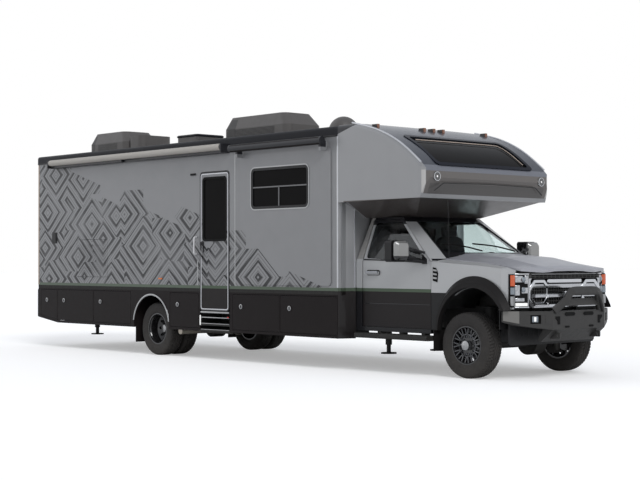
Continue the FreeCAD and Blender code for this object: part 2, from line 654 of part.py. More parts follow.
# Cab inside
DASH_DEPTH = 260.0
DASH_HEIGHT = 370.0
DASH_TOP_DROP = 10.0
DASH_MARGIN = 60.0
STEERING_BACK = 95.0
STEERING_Y = 420.0
STEERING_DROP = 60.0
STEERING_RADIUS = 190.0
STEERING_GRIP = 16.0
STEERING_TILT = 28.0
STEERING_COLUMN_RADIUS = 36.0
SEAT_AHEAD = 413.0
SEAT_Y = 440.0
SEAT_WIDTH = 540.0
SEAT_LENGTH = 520.0
SEAT_RISE = 170.0
SEAT_PAN_THICK = 130.0
SEAT_BACK_THICK = 120.0
SEAT_BACK_HEIGHT = 560.0
SEAT_BACK_LEAN = 90.0
SEAT_BASE_INSET = 60.0
HEADREST_WIDTH = 270.0
HEADREST_HEIGHT = 140.0
HEADREST_THICK = 90.0
SEAT_RADIUS = 40.0

CAB_FLOOR = RAIL_TOP + CAB_MOUNT_HEIGHT
DASH_TOP = CAB_BELT - DASH_TOP_DROP
DASH_LOW = DASH_TOP - DASH_HEIGHT
STEERING_X = CAB_FRONT_X - CAB_WALL - DASH_DEPTH - STEERING_BACK
STEERING_Z = DASH_TOP - STEERING_DROP
SEAT_X = CAB_REAR_X + SEAT_AHEAD
SEAT_PAN_LOW = CAB_FLOOR + CAB_WALL + SEAT_RISE


def point(x, y, z):
    """Return a point in space."""
    return FreeCAD.Vector(x, y, z)


def box(xs, ys, zs):
    """Return a box between two values along each direction."""
    low = point(min(xs), min(ys), min(zs))
    return Part.makeBox(abs(xs[1] - xs[0]), abs(ys[1] - ys[0]), abs(zs[1] - zs[0]), low)


def place(pair, direction, level):
    """Put a flat point (a, b) into space, on the plane at a level across a direction."""
    if direction == "x":
        return point(level, pair[0], pair[1])
    if direction == "y":
        return point(pair[0], level, pair[1])
    return point(pair[0], pair[1], level)


def axis_vector(direction):
    """Return the unit vector along a named direction."""
    return point(float(direction == "x"), float(direction == "y"), float(direction == "z"))


def polygon(points, direction, level):
    """Return a closed wire of straight edges."""
    corners = [place(pair, direction, level) for pair in points]
    return Part.makePolygon(corners + corners[:1])


def round_path(corners, radius, closed):
    """Return the wire through corner points, with a tangent arc at each turn."""
    count = len(corners)
    turns = range(count) if closed else range(1, count - 1)
    cuts = {}
    for index in turns:
        here = corners[index]
        back = corners[index - 1] - here
        ahead = corners[(index + 1) % count] - here
        angle = back.getAngle(ahead)
        reach = min(radius / math.tan(angle / 2), back.Length / 2, ahead.Length / 2)
        bisector = (back.normalize() + ahead.normalize()).normalize()
        true_radius = reach * math.tan(angle / 2)
        middle = here + bisector * (true_radius / math.sin(angle / 2) - true_radius)
        cuts[index] = (here + back * reach, middle, here + ahead * reach)
    edges = []
    cursor = None if closed else corners[0]
    for index in turns:
        start, middle, end = cuts[index]
        if cursor is not None and cursor.distanceToPoint(start) > MERGE_DISTANCE:
            edges.append(Part.LineSegment(cursor, start).toShape())
        edges.append(Part.Arc(start, middle, end).toShape())
        cursor = end
    last = cuts[0][0] if closed else corners[-1]
    if cursor.distanceToPoint(last) > MERGE_DISTANCE:
        edges.append(Part.LineSegment(cursor, last).toShape())
    return Part.Wire(edges)


def prism(points, direction, span, radius=0.0):
    """Return the solid between two levels of a flat outline, with rounded corners if a radius is given."""
    corners = [place(pair, direction, span[0]) for pair in points]
    wire = round_path(corners, radius, True) if radius else Part.makePolygon(corners + corners[:1])
    return Part.Face(wire).extrude(axis_vector(direction) * (span[1] - span[0]))


def rectangle(low, high):
    """Return the corners of an upright rectangle."""
    return ((low[0], low[1]), (high[0], low[1]), (high[0], high[1]), (low[0], high[1]))


def cylinder(radius, start, end):
    """Return the cylinder between two points."""
    along = end - start
    return Part.makeCylinder(radius, along.Length, start, along)


def pipe(corners, radius, bend):
    """Return a round bar along a path of straight runs joined by bends."""
    path = round_path(corners, bend, False)
    circle = Part.Circle(corners[0], corners[1] - corners[0], radius)
    return path.makePipeShell([Part.Wire(circle.toShape())], True, True)


def turned(profile, x, y, z):
    """Return the solid of revolution about the Y line through (x, z), from (offset, radius) points."""
    corners = [point(x, y + pair[0], z + pair[1]) for pair in profile]
    face = Part.Face(Part.makePolygon(corners + corners[:1]))
    return face.revolve(point(x, y, z), axis_vector("y"), math.degrees(math.tau))


def fuse(solids):
    """Return the solids joined into one, without leftover seams."""
    if len(solids) > 1:
        return solids[0].multiFuse(solids[1:]).removeSplitter()
    return solids[0]


def cut(body, tools):
    """Return the body with every tool taken away."""
    return body.cut(tools)


def mirrored(shape):
    """Return the shape on the other side of the vehicle."""
    return shape.mirror(point(0, 0, 0), axis_vector("y"))


def both_sides(shape):
    """Return the shape and its mirror image."""
    return [shape, mirrored(shape)]


def save(name, shapes):
    """Write one sub-part, made of one or more solids."""
    solids = [solid for shape in shapes for solid in shape.Solids]
    shape = solids[0] if len(solids) == 1 else Part.makeCompound(solids)
    shape.exportStep("parts/" + name + ".step")
    print(name, len(solids), shape.isValid())


def side_span(side, inner, outer):
    """Return the Y values of a slab on one side: side is -1 on the right and 1 on the left."""
    return (side * inner, side * outer)


def entry_outline(grow):
    """Return the entry door's corners, grown by a margin."""
    low = (ENTRY_REAR_X - grow, ENTRY_LOW - grow)
    high = (ENTRY_FRONT_X + grow, ENTRY_LOW + ENTRY_HEIGHT + grow)
    return rectangle(low, high)


def slide_outline(grow):
    """Return the corners of the slide-out room's opening, grown by a margin."""
    low = (SLIDE_REAR_X + SLIDE_FLANGE - grow, SLIDE_LOW + SLIDE_FLANGE - grow)
    high = (SLIDE_REAR_X + SLIDE_WIDTH - SLIDE_FLANGE + grow, SLIDE_LOW + SLIDE_HEIGHT - SLIDE_FLANGE + grow)
    return rectangle(low, high)


def hatch_outline(grow):
    """Return the outside hatch's corners, grown by a margin."""
    low = (HATCH_REAR_X - grow, HATCH_LOW - grow)
    high = (HATCH_FRONT_X + grow, HATCH_LOW + HATCH_HEIGHT + grow)
    return rectangle(low, high)


def slide_window_outline():
    """Return the slide-out room's window corners."""
    high = (SLIDE_WINDOW_REAR_X + SLIDE_WINDOW_WIDTH, SLIDE_WINDOW_LOW + SLIDE_WINDOW_HEIGHT)
    return rectangle((SLIDE_WINDOW_REAR_X, SLIDE_WINDOW_LOW), high)


def left_window_outlines():
    """Return the corners of each window in the left wall."""
    outlines = []
    for offset, width in zip(LEFT_WINDOW_OFFSETS, LEFT_WINDOW_WIDTHS):
        low = (COACH_REAR_X + offset, SLIDE_WINDOW_LOW)
        high = (COACH_REAR_X + offset + width, SLIDE_WINDOW_LOW + SLIDE_WINDOW_HEIGHT)
        outlines.append(rectangle(low, high))
    return outlines


def skirt_edge(x):
    """Return the height of the skirt's lower edge, which lifts towards the rear."""
    start = COACH_REAR_X + SKIRT_LIFT_LENGTH
    return SKIRT_LOW + max(start - x, 0) / SKIRT_LIFT_LENGTH * SKIRT_REAR_LIFT


def bay_outline(offset, width, grow):
    """Return a baggage door's corners, with its lower edge along the skirt's."""
    rear = COACH_REAR_X + offset - grow
    front = COACH_REAR_X + offset + width + grow
    low = BAY_LOW_MARGIN - grow
    top = FLOOR_LOW - BAY_TOP_MARGIN + grow
    points = [(rear, skirt_edge(rear) + low)]
    bend = COACH_REAR_X + SKIRT_LIFT_LENGTH
    if rear + BAY_RADIUS < bend < front - BAY_RADIUS:
        points.append((bend, SKIRT_LOW + low))
    return points + [(front, skirt_edge(front) + low), (front, top), (rear, top)]


def rear_arch(side, inner, outer):
    """Return the solid that opens a skirt over the rear wheels."""
    ys = side_span(side, inner, outer)
    crown = cylinder(REAR_ARCH_RADIUS, point(REAR_ARCH_X, ys[0], REAR_ARCH_Z),
                     point(REAR_ARCH_X, ys[1], REAR_ARCH_Z))
    legs = box((REAR_ARCH_X - REAR_ARCH_RADIUS, REAR_ARCH_X + REAR_ARCH_RADIUS), ys, (0, REAR_ARCH_Z))
    return fuse([crown, legs])


def lengths(panel, seams):
    """Return a long panel as the lengths that meet at its seams."""
    limits = panel.BoundBox
    edges = [limits.XMin] + sorted(seams) + [limits.XMax]
    pieces = []
    for rear, front in zip(edges, edges[1:]):
        pieces.append(panel.common(box((rear, front), (limits.YMin, limits.YMax), (limits.ZMin, limits.ZMax))))
    return pieces


def coach_floor():
    """Floor slab with the step well left open, and the baggage trays hung under it on each side."""
    xs = (COACH_REAR_X, COACH_FRONT_X)
    slab = box(xs, (-COACH_HALF, COACH_HALF), (FLOOR_LOW, WALL_LOW))
    well = box((ENTRY_REAR_X - PANEL_GAP, ENTRY_FRONT_X + PANEL_GAP),
               (-COACH_HALF - OVERRUN, -COACH_HALF + STEP_WELL_DEPTH), (FLOOR_LOW - OVERRUN,
                                                                        WALL_LOW + OVERRUN))
    shape = cut(slab, [well])
    trays = []
    for side, offsets, widths in ((-1, RIGHT_BAY_OFFSETS, RIGHT_BAY_WIDTHS),
                                  (1, LEFT_BAY_OFFSETS, LEFT_BAY_WIDTHS)):
        for offset, width in zip(offsets, widths):
            trays.append(baggage_tray(side, COACH_REAR_X + offset, width))
    return [shape] + trays


def baggage_tray(side, rear, width):
    """Return one open-fronted baggage tray."""
    floor = max(skirt_edge(rear), SKIRT_LOW) + BAY_LOW_MARGIN
    outer = COACH_HALF - SKIRT_THICK - PANEL_GAP
    shell = box((rear, rear + width), side_span(side, outer - BAY_DEPTH, outer), (floor, FLOOR_LOW))
    room = box((rear + BAY_PANEL, rear + width - BAY_PANEL),
               side_span(side, outer - BAY_DEPTH + BAY_PANEL, outer + OVERRUN), (floor + BAY_PANEL,
                                                                                 FLOOR_LOW - BAY_PANEL))
    return shell.cut(room)


def side_walls():
    """Right wall in three lengths, round its hatch, door and slide-out room, and left wall with its windows."""
    xs = (COACH_REAR_X, COACH_FRONT_X)
    zs = (WALL_LOW, WALL_TOP)
    right = box(xs, (-COACH_HALF, -WALL_INNER), zs)
    left = box(xs, (WALL_INNER, COACH_HALF), zs)
    through = (-COACH_HALF - OVERRUN, -WALL_INNER + OVERRUN)
    doorway = prism(entry_outline(PANEL_GAP), "y", through, ENTRY_RADIUS)
    slide_hole = prism(slide_outline(PANEL_GAP), "y", through, SLIDE_RADIUS)
    hatch_hole = prism(hatch_outline(PANEL_GAP), "y", through, BAY_RADIUS)
    windows = [prism(outline, "y", (WALL_INNER - OVERRUN, COACH_HALF + OVERRUN), WINDOW_RADIUS)
               for outline in left_window_outlines()]
    right = cut(right, [doorway, slide_hole, hatch_hole])
    grab = pipe([point(ENTRY_GRAB_X, -COACH_HALF, ENTRY_GRAB_LOW),
                 point(ENTRY_GRAB_X, -COACH_HALF - GRAB_STANDOFF, ENTRY_GRAB_LOW),
                 point(ENTRY_GRAB_X, -COACH_HALF - GRAB_STANDOFF, ENTRY_GRAB_LOW + ENTRY_GRAB_HEIGHT),
                 point(ENTRY_GRAB_X, -COACH_HALF, ENTRY_GRAB_LOW + ENTRY_GRAB_HEIGHT)],
                HANDLE_RADIUS, GRAB_STANDOFF / 2)
    seams = [(HATCH_FRONT_X + ENTRY_REAR_X) / 2, (ENTRY_FRONT_X + SLIDE_REAR_X) / 2]
    return lengths(right, seams) + [cut(left, windows), grab, hatch_box()]


def hatch_box():
    """Return the shallow cupboard behind the outside hatch."""
    xs = (HATCH_REAR_X - HATCH_BOX_WALL, HATCH_FRONT_X + HATCH_BOX_WALL)
    zs = (HATCH_LOW - HATCH_BOX_WALL, HATCH_LOW + HATCH_HEIGHT + HATCH_BOX_WALL)
    shell = box(xs, (-WALL_INNER, -WALL_INNER + HATCH_DEPTH), zs)
    room = box((xs[0] + HATCH_BOX_WALL, xs[1] - HATCH_BOX_WALL),
               (-WALL_INNER - OVERRUN, -WALL_INNER + HATCH_DEPTH - HATCH_BOX_WALL),
               (zs[0] + HATCH_BOX_WALL, zs[1] - HATCH_BOX_WALL))
    return shell.cut(room)


def rear_wall():
    """Plain rear wall between the side walls."""
    return [box((COACH_REAR_X, COACH_REAR_X + WALL), (-WALL_INNER, WALL_INNER), (WALL_LOW, WALL_TOP))]


def roof_section(inset):
    """Return the roof's cross-section: straight sides, rounded corners and a low crown."""
    half = COACH_HALF - inset
    edge = ROOF_EDGE - inset
    top = ROOF_TOP - inset
    radius = ROOF_CORNER_RADIUS
    lean = radius * (1 - math.cos(math.radians(45)))
    low = WALL_TOP
    arc = Part.Arc(point(0, -half + radius, edge), point(0, 0, top), point(0, half - radius, edge)).toShape()
    right = Part.Arc(point(0, -half, edge - radius), point(0, -half + lean, edge - lean),
                     point(0, -half + radius, edge)).toShape()
    left = Part.Arc(point(0, half - radius, edge), point(0, half - lean, edge - lean),
                    point(0, half, edge - radius)).toShape()
    sides = [Part.LineSegment(point(0, -half, low), point(0, -half, edge - radius)).toShape(),
             Part.LineSegment(point(0, half, edge - radius), point(0, half, low)).toShape(),
             Part.LineSegment(point(0, half, low), point(0, -half, low)).toShape()]
    return Part.Wire([sides[0], right, arc, left, sides[1], sides[2]])


def roof_solid(inset, xs):
    """Return the roof's full cross-section between two places along the coach."""
    face = Part.Face(roof_section(inset))
    face.translate(point(xs[0], 0, 0))
    return face.extrude(point(xs[1] - xs[0], 0, 0))


def roof():
    """Crowned roof that caps both walls and turns down at its edges."""
    outer = roof_solid(0.0, (COACH_REAR_X - ROOF_REAR_OVERHANG, COACH_FRONT_X))
    room = box((COACH_REAR_X + WALL, COACH_FRONT_X + OVERRUN), (-WALL_INNER, WALL_INNER),
               (WALL_TOP - OVERRUN, ROOF_EDGE - ROOF_SKIN))
    return [outer.cut(room)]


def cap_point(shares, inset_x=0.0, inset_z=0.0):
    """Return an outline point of the cap in the vehicle's X and Z."""
    return (COACH_FRONT_X + CAP_LENGTH * shares[0] + inset_x, CAP_FOOT + CAP_HEIGHT * shares[1] + inset_z)


def cap_side(y, inset):
    """Return the cap's side outline as a wire, drawn in by an inset."""
    top = [cap_point(shares, -inset, -inset) for shares in (CAP_BROW_SHARES,) + CAP_CURVE_SHARES]
    top.append((COACH_FRONT_X, ROOF_TOP - inset))
    curve = Part.BSplineCurve()
    curve.interpolate([place(pair, "y", y) for pair in top])
    chin = cap_point(CAP_CHIN_SHARES, -inset, inset)
    nose = cap_point(CAP_NOSE_SHARES, -inset, 0.0)
    rear = (COACH_FRONT_X, CAP_FOOT + inset)
    low = [place(pair, "y", y) for pair in (top[-1], rear, chin, nose, top[0])]
    edges = [Part.LineSegment(low[index], low[index + 1]).toShape() for index in range(len(low) - 1)]
    return Part.Wire([curve.toShape()] + edges)


def cap_body(inset):
    """Return the cap as a filled body: its side outline carried across, under the roof's crown."""
    half = COACH_HALF - inset
    edge = ROOF_EDGE - inset
    foot = CAP_FOOT - OVERRUN
    x = COACH_FRONT_X
    crown = Part.Arc(point(x, -half, edge), point(x, 0, ROOF_TOP - inset), point(x, half, edge)).toShape()
    corners = [point(x, half, edge), point(x, half, foot), point(x, -half, foot), point(x, -half, edge)]
    sides = [Part.LineSegment(corners[index],
                              corners[index + 1]).toShape() for index in range(len(corners) - 1)]
    section = Part.Face(Part.Wire([crown] + sides)).extrude(point(CAP_LENGTH + OVERRUN, 0, 0))
    side = Part.Face(cap_side(-half - OVERRUN, inset)).extrude(point(0, (half + OVERRUN) * 2, 0))
    return section.common(side)


def cap_plan(inset):
    """Return the upright body with rounded front corners that bounds the cap seen from above."""
    half = COACH_HALF - inset
    front = COACH_FRONT_X + CAP_LENGTH - inset
    return prism(rectangle((COACH_FRONT_X - CAP_FRONT_CORNER_RADIUS * 2, -half), (front, half)), "z",
                 (CAP_FOOT - OVERRUN, ROOF_TOP + OVERRUN), CAP_FRONT_CORNER_RADIUS)


def cap_shoulder_edges(shape):
    """Return the edges where the cap's sides meet its crown and its curved brow."""
    found = []
    brow = cap_point(CAP_BROW_SHARES)[1]
    for edge in shape.Edges:
        limits = edge.BoundBox
        on_side = limits.YLength < PANEL_GAP and abs(abs(limits.YMax) - COACH_HALF) < PANEL_GAP
        if on_side and limits.ZMin > brow - PANEL_GAP and limits.XLength > OVERRUN:
            found.append(edge)
    return found


def cap_outside():
    """Return the cap's outside as a filled body with rounded shoulders and front corners."""
    body = cap_body(0.0)
    return body.makeFillet(ROOF_CORNER_RADIUS, cap_shoulder_edges(body)).common(cap_plan(0.0))


def cap_fairing():
    """Return the tapered underside that comes down from the cap to the cab's roof."""
    chin = cap_point(CAP_CHIN_SHARES)[0] - CAP_THICK
    high = rectangle((COACH_FRONT_X, -CAP_FAIRING_TOP_HALF), (chin, CAP_FAIRING_TOP_HALF))
    low = [(COACH_FRONT_X, -CAP_FAIRING_LOW_REAR_HALF),
           (COACH_FRONT_X + CAP_FAIRING_LOW_FRONT_X, -CAP_FAIRING_LOW_FRONT_HALF),
           (COACH_FRONT_X + CAP_FAIRING_LOW_FRONT_X, CAP_FAIRING_LOW_FRONT_HALF),
           (COACH_FRONT_X, CAP_FAIRING_LOW_REAR_HALF)]
    wires = [polygon(high, "z", CAP_FOOT + CAP_THICK / 2), polygon(low, "z", CAB_ROOF)]
    return Part.makeLoft(wires, True, True)


def corner_panel():
    """Return the right front corner panel, which closes the coach beside the cab."""
    back = CAB_REAR_X - PANEL_GAP
    inner = -CAB_HALF - PANEL_GAP
    outline = [(COACH_FRONT_X, -COACH_HALF), (back, inner), (back - CORNER_PANEL_THICK, inner),
               (COACH_FRONT_X, -COACH_HALF + CORNER_PANEL_THICK * 2)]
    return prism(outline, "z", (SKIRT_LOW, CAP_FOOT + CAP_THICK / 2))


def front_cap():
    """Cap over the cab: hollow shell with its front window cut, underside fairing, bulkhead and corner panels."""
    inner = cap_body(CAP_THICK).common(cap_plan(CAP_THICK))
    inner.translate(point(-CAP_THICK, 0, 0))
    shell = cap_outside().cut([inner, cap_window_cutter()])
    bulkhead = box((COACH_FRONT_X, COACH_FRONT_X + CAP_THICK),
                   (-COACH_HALF + CAP_THICK, COACH_HALF - CAP_THICK),
                   (FLOOR_LOW, CAP_FOOT + CAP_THICK / 2))
    pass_way = box((COACH_FRONT_X - OVERRUN, COACH_FRONT_X + CAP_THICK + OVERRUN),
                   (-CAB_PASS_HALF, CAB_PASS_HALF),
                   (CAB_PASS_LOW, CAB_PASS_HIGH))
    return [fuse([shell, cap_fairing(), bulkhead.cut(pass_way)] + both_sides(corner_panel()))]


def cap_window_cutter():
    """Return the solid that passes through the cap's brow along the window's outline."""
    low = cap_point(CAP_WINDOW_LOW_SHARES)
    high = cap_point(CAP_WINDOW_HIGH_SHARES)
    slope = math.hypot(high[0] - low[0], high[1] - low[1])
    half = CAP_WINDOW_HALF
    flat = [point(-half, 0, 0), point(half, 0, 0), point(half, slope, 0), point(-half, slope, 0)]
    tool = Part.Face(round_path(flat, CAP_WINDOW_RADIUS, True)).extrude(point(0, 0, COACH_HALF))
    tool.translate(point(0, 0, -COACH_HALF / 2))
    up = point((high[0] - low[0]) / slope, 0, (high[1] - low[1]) / slope)
    across = axis_vector("y")
    out = across.cross(up)
    matrix = FreeCAD.Matrix(across.x, up.x, out.x, low[0], across.y, up.y, out.y, 0, across.z, up.z, out.z,
                            low[1])
    return tool.transformGeometry(matrix)


def coach_glass():
    """Fixed windows: three in the left wall and one in the cap."""
    panes = []
    for outline in left_window_outlines():
        outside = COACH_HALF - GLASS_SINK
        panes.append(prism(outline, "y", (outside - GLASS_THICK, outside), WINDOW_RADIUS))
    band = cap_body(GLASS_SINK).cut(cap_body(GLASS_SINK + GLASS_THICK))
    panes.append(band.common(cap_window_cutter()))
    return panes


def skirt(side, offsets, widths):
    """Return one lower side panel, in lengths round its baggage openings and the rear wheel's arch."""
    rear = COACH_REAR_X
    bend = COACH_REAR_X + SKIRT_LIFT_LENGTH
    points = [(rear, skirt_edge(rear)), (bend, SKIRT_LOW), (COACH_FRONT_X, SKIRT_LOW),
              (COACH_FRONT_X, FLOOR_LOW), (rear, FLOOR_LOW)]
    panel = prism(points, "y", side_span(side, COACH_HALF - SKIRT_THICK, COACH_HALF))
    through = side_span(side, COACH_HALF - SKIRT_THICK - OVERRUN, COACH_HALF + OVERRUN)
    tools = [prism(bay_outline(offset, width, PANEL_GAP), "y", through, BAY_RADIUS)
             for offset, width in zip(offsets, widths)]
    tools.append(rear_arch(side, COACH_HALF - SKIRT_THICK - OVERRUN, COACH_HALF + OVERRUN))
    if side < 0:
        tools.append(box((ENTRY_REAR_X - PANEL_GAP, ENTRY_FRONT_X + PANEL_GAP), through,
                         (STEP_WELL_LOW - OVERRUN, FLOOR_LOW + OVERRUN)))
    return lengths(cut(panel, tools), skirt_seams(offsets, widths))


def skirt_seams(offsets, widths):
    """Return the seams of a skirt: one at the middle of each post between openings, and one over the arch."""
    spans = [(COACH_REAR_X + offset, COACH_REAR_X + offset + width) for offset, width in zip(offsets, widths)]
    spans.append((REAR_ARCH_X - REAR_ARCH_RADIUS, REAR_ARCH_X + REAR_ARCH_RADIUS))
    spans.sort()
    return [REAR_ARCH_X] + [(first[1] + second[0]) / 2 for first, second in zip(spans, spans[1:])]


def skirts():
    """Lower side panels, and the flaps behind the rear wheels."""
    flap_x = REAR_ARCH_X - REAR_ARCH_RADIUS
    outer = -COACH_HALF + SKIRT_THICK
    flap = box((flap_x - REAR_FLAP_THICK, flap_x), (outer, outer + REAR_FLAP_WIDTH), (REAR_FLAP_LOW, FLOOR_LOW))
    right = skirt(-1, RIGHT_BAY_OFFSETS, RIGHT_BAY_WIDTHS)
    return right + skirt(1, LEFT_BAY_OFFSETS, LEFT_BAY_WIDTHS) + both_sides(flap)


def bay_door(side, offset, width):
    """Return one baggage door with its round latch and hinge barrels."""
    outline = bay_outline(offset, width, 0.0)
    panel = prism(outline, "y", side_span(side, COACH_HALF - DOOR_THICK, COACH_HALF), BAY_RADIUS)
    x = COACH_REAR_X + offset + min(BAY_LATCH_INSET, width / 2)
    latch = cylinder(BAY_LATCH_RADIUS, point(x, side * (COACH_HALF - DOOR_THICK / 2), BAY_LATCH_Z),
                     point(x, side * (COACH_HALF + BAY_LATCH_REACH), BAY_LATCH_Z))
    barrels = hinge_barrels(COACH_REAR_X + offset + width, side * COACH_HALF, SKIRT_LOW + BAY_LOW_MARGIN,
                            FLOOR_LOW - BAY_TOP_MARGIN)
    return [fuse([panel, latch] + barrels)]


def entry_door():
    """Entry door with its window cut and its latch handle."""
    panel = prism(entry_outline(0.0), "y", (-COACH_HALF, -WALL_INNER), ENTRY_RADIUS)
    top = ENTRY_LOW + ENTRY_HEIGHT - ENTRY_GLASS_TOP
    hole = prism(rectangle((ENTRY_REAR_X + ENTRY_GLASS_SIDE, top - ENTRY_GLASS_HEIGHT),
                           (ENTRY_FRONT_X - ENTRY_GLASS_SIDE, top)),
                 "y", (-COACH_HALF - OVERRUN, -WALL_INNER + OVERRUN), WINDOW_RADIUS)
    latch = box((ENTRY_REAR_X + ENTRY_GLASS_SIDE / 4, ENTRY_REAR_X + ENTRY_GLASS_SIDE),
                (-COACH_HALF - GRAB_STANDOFF / 2, -COACH_HALF + WALL / 2),
                (top - ENTRY_GLASS_HEIGHT - ENTRY_GRAB_HEIGHT, top - ENTRY_GLASS_HEIGHT - ENTRY_GLASS_SIDE))
    barrels = hinge_barrels(ENTRY_FRONT_X, -COACH_HALF, ENTRY_LOW, ENTRY_LOW + ENTRY_HEIGHT)
    return [fuse([panel.cut(hole), latch] + barrels)]


def entry_glass():
    """Pane of the entry door."""
    top = ENTRY_LOW + ENTRY_HEIGHT - ENTRY_GLASS_TOP
    outline = rectangle((ENTRY_REAR_X + ENTRY_GLASS_SIDE, top - ENTRY_GLASS_HEIGHT),
                        (ENTRY_FRONT_X - ENTRY_GLASS_SIDE, top))
    return [prism(outline, "y", (-COACH_HALF + GLASS_SINK, -COACH_HALF + GLASS_SINK + GLASS_THICK),
                  WINDOW_RADIUS)]


def hatch_door():
    """Outside hatch, flush with the right wall, with hinge barrels along its top edge."""
    panel = prism(hatch_outline(0.0), "y", (-COACH_HALF, -COACH_HALF + DOOR_THICK), BAY_RADIUS)
    radius = PANEL_GAP * BARREL_SHARE
    z = HATCH_LOW + HATCH_HEIGHT + PANEL_GAP - SEAT_GAP - radius
    barrels = []
    for share in BARREL_PLACE_SHARES:
        x = HATCH_REAR_X + HATCH_WIDTH * share
        ends = [point(x + end * BARREL_LENGTH / 2, -COACH_HALF, z) for end in (-1, 1)]
        barrels.append(cylinder(radius, ends[0], ends[1]))
    return [fuse([panel] + barrels)]


def slide_room():
    """Slide-out room: flanged face, box open to the inside, and the roller cover above it."""
    face_out = -COACH_HALF - SEAT_GAP - SLIDE_FLANGE_THICK
    face_in = -COACH_HALF - SEAT_GAP
    flange = prism(rectangle((SLIDE_REAR_X, SLIDE_LOW), (SLIDE_REAR_X + SLIDE_WIDTH, SLIDE_LOW + SLIDE_HEIGHT)),
                   "y",
                   (face_out, face_in), SLIDE_RADIUS)
    body = prism(slide_outline(0.0), "y", (face_in, face_in + SLIDE_DEPTH), SLIDE_RADIUS)
    room = prism(slide_outline(-SLIDE_WALL), "y", (face_in + SLIDE_WALL, face_in + SLIDE_DEPTH + OVERRUN))
    window = prism(slide_window_outline(), "y", (face_out - OVERRUN, face_in + SLIDE_WALL + OVERRUN),
                   WINDOW_RADIUS)
    shell = fuse([flange, body.cut(room)]).cut(window)
    brackets = []
    for x in (SLIDE_REAR_X + TOPPER_BRACKET, SLIDE_REAR_X + SLIDE_WIDTH - TOPPER_BRACKET - TOPPER_BRACKET * 2):
        brackets.append(box((x, x + TOPPER_BRACKET), (-ROLLER_Y, face_in),
                            (SLIDE_LOW + SLIDE_HEIGHT - TOPPER_BRACKET, TOPPER_Z)))
    roller = cylinder(TOPPER_RADIUS, point(TOPPER_REAR_X, -ROLLER_Y, TOPPER_Z),
                      point(TOPPER_REAR_X + TOPPER_LENGTH, -ROLLER_Y, TOPPER_Z))
    return [fuse([shell] + brackets + [roller])]


def slide_glass():
    """Pane of the slide-out room's window."""
    face = -COACH_HALF - SEAT_GAP - SLIDE_FLANGE_THICK + GLASS_SINK
    return [prism(slide_window_outline(), "y", (face, face + GLASS_THICK), WINDOW_RADIUS)]


def awning():
    """Rolled patio awning: tube, end caps, wall channel and folded arms."""
    front = AWNING_REAR_X + AWNING_LENGTH
    tube = cylinder(AWNING_RADIUS, point(AWNING_REAR_X, -ROLLER_Y, AWNING_Z), point(front, -ROLLER_Y, AWNING_Z))
    channel = box((AWNING_REAR_X, front), (-COACH_HALF - AWNING_CHANNEL_DEPTH, -COACH_HALF),
                  (AWNING_Z - AWNING_CHANNEL_HEIGHT, AWNING_Z + OVERRUN))
    caps = []
    for start in (AWNING_REAR_X - AWNING_END_CAP, front):
        caps.append(box((start, start + AWNING_END_CAP), (-ROLLER_Y - AWNING_RADIUS, -COACH_HALF),
                        (AWNING_Z - AWNING_CHANNEL_HEIGHT, AWNING_Z + AWNING_RADIUS)))
    arms = []
    face = -COACH_HALF - AWNING_CHANNEL_DEPTH
    low = AWNING_Z - AWNING_ARM_DROP - AWNING_ARM_HEIGHT / 2
    for start in (AWNING_REAR_X, front - AWNING_ARM_LENGTH):
        arms.append(box((start, start + AWNING_ARM_LENGTH), (face - AWNING_ARM_DEPTH, face),
                        (low, low + AWNING_ARM_HEIGHT)))
    return [fuse([channel, tube] + caps + arms)]


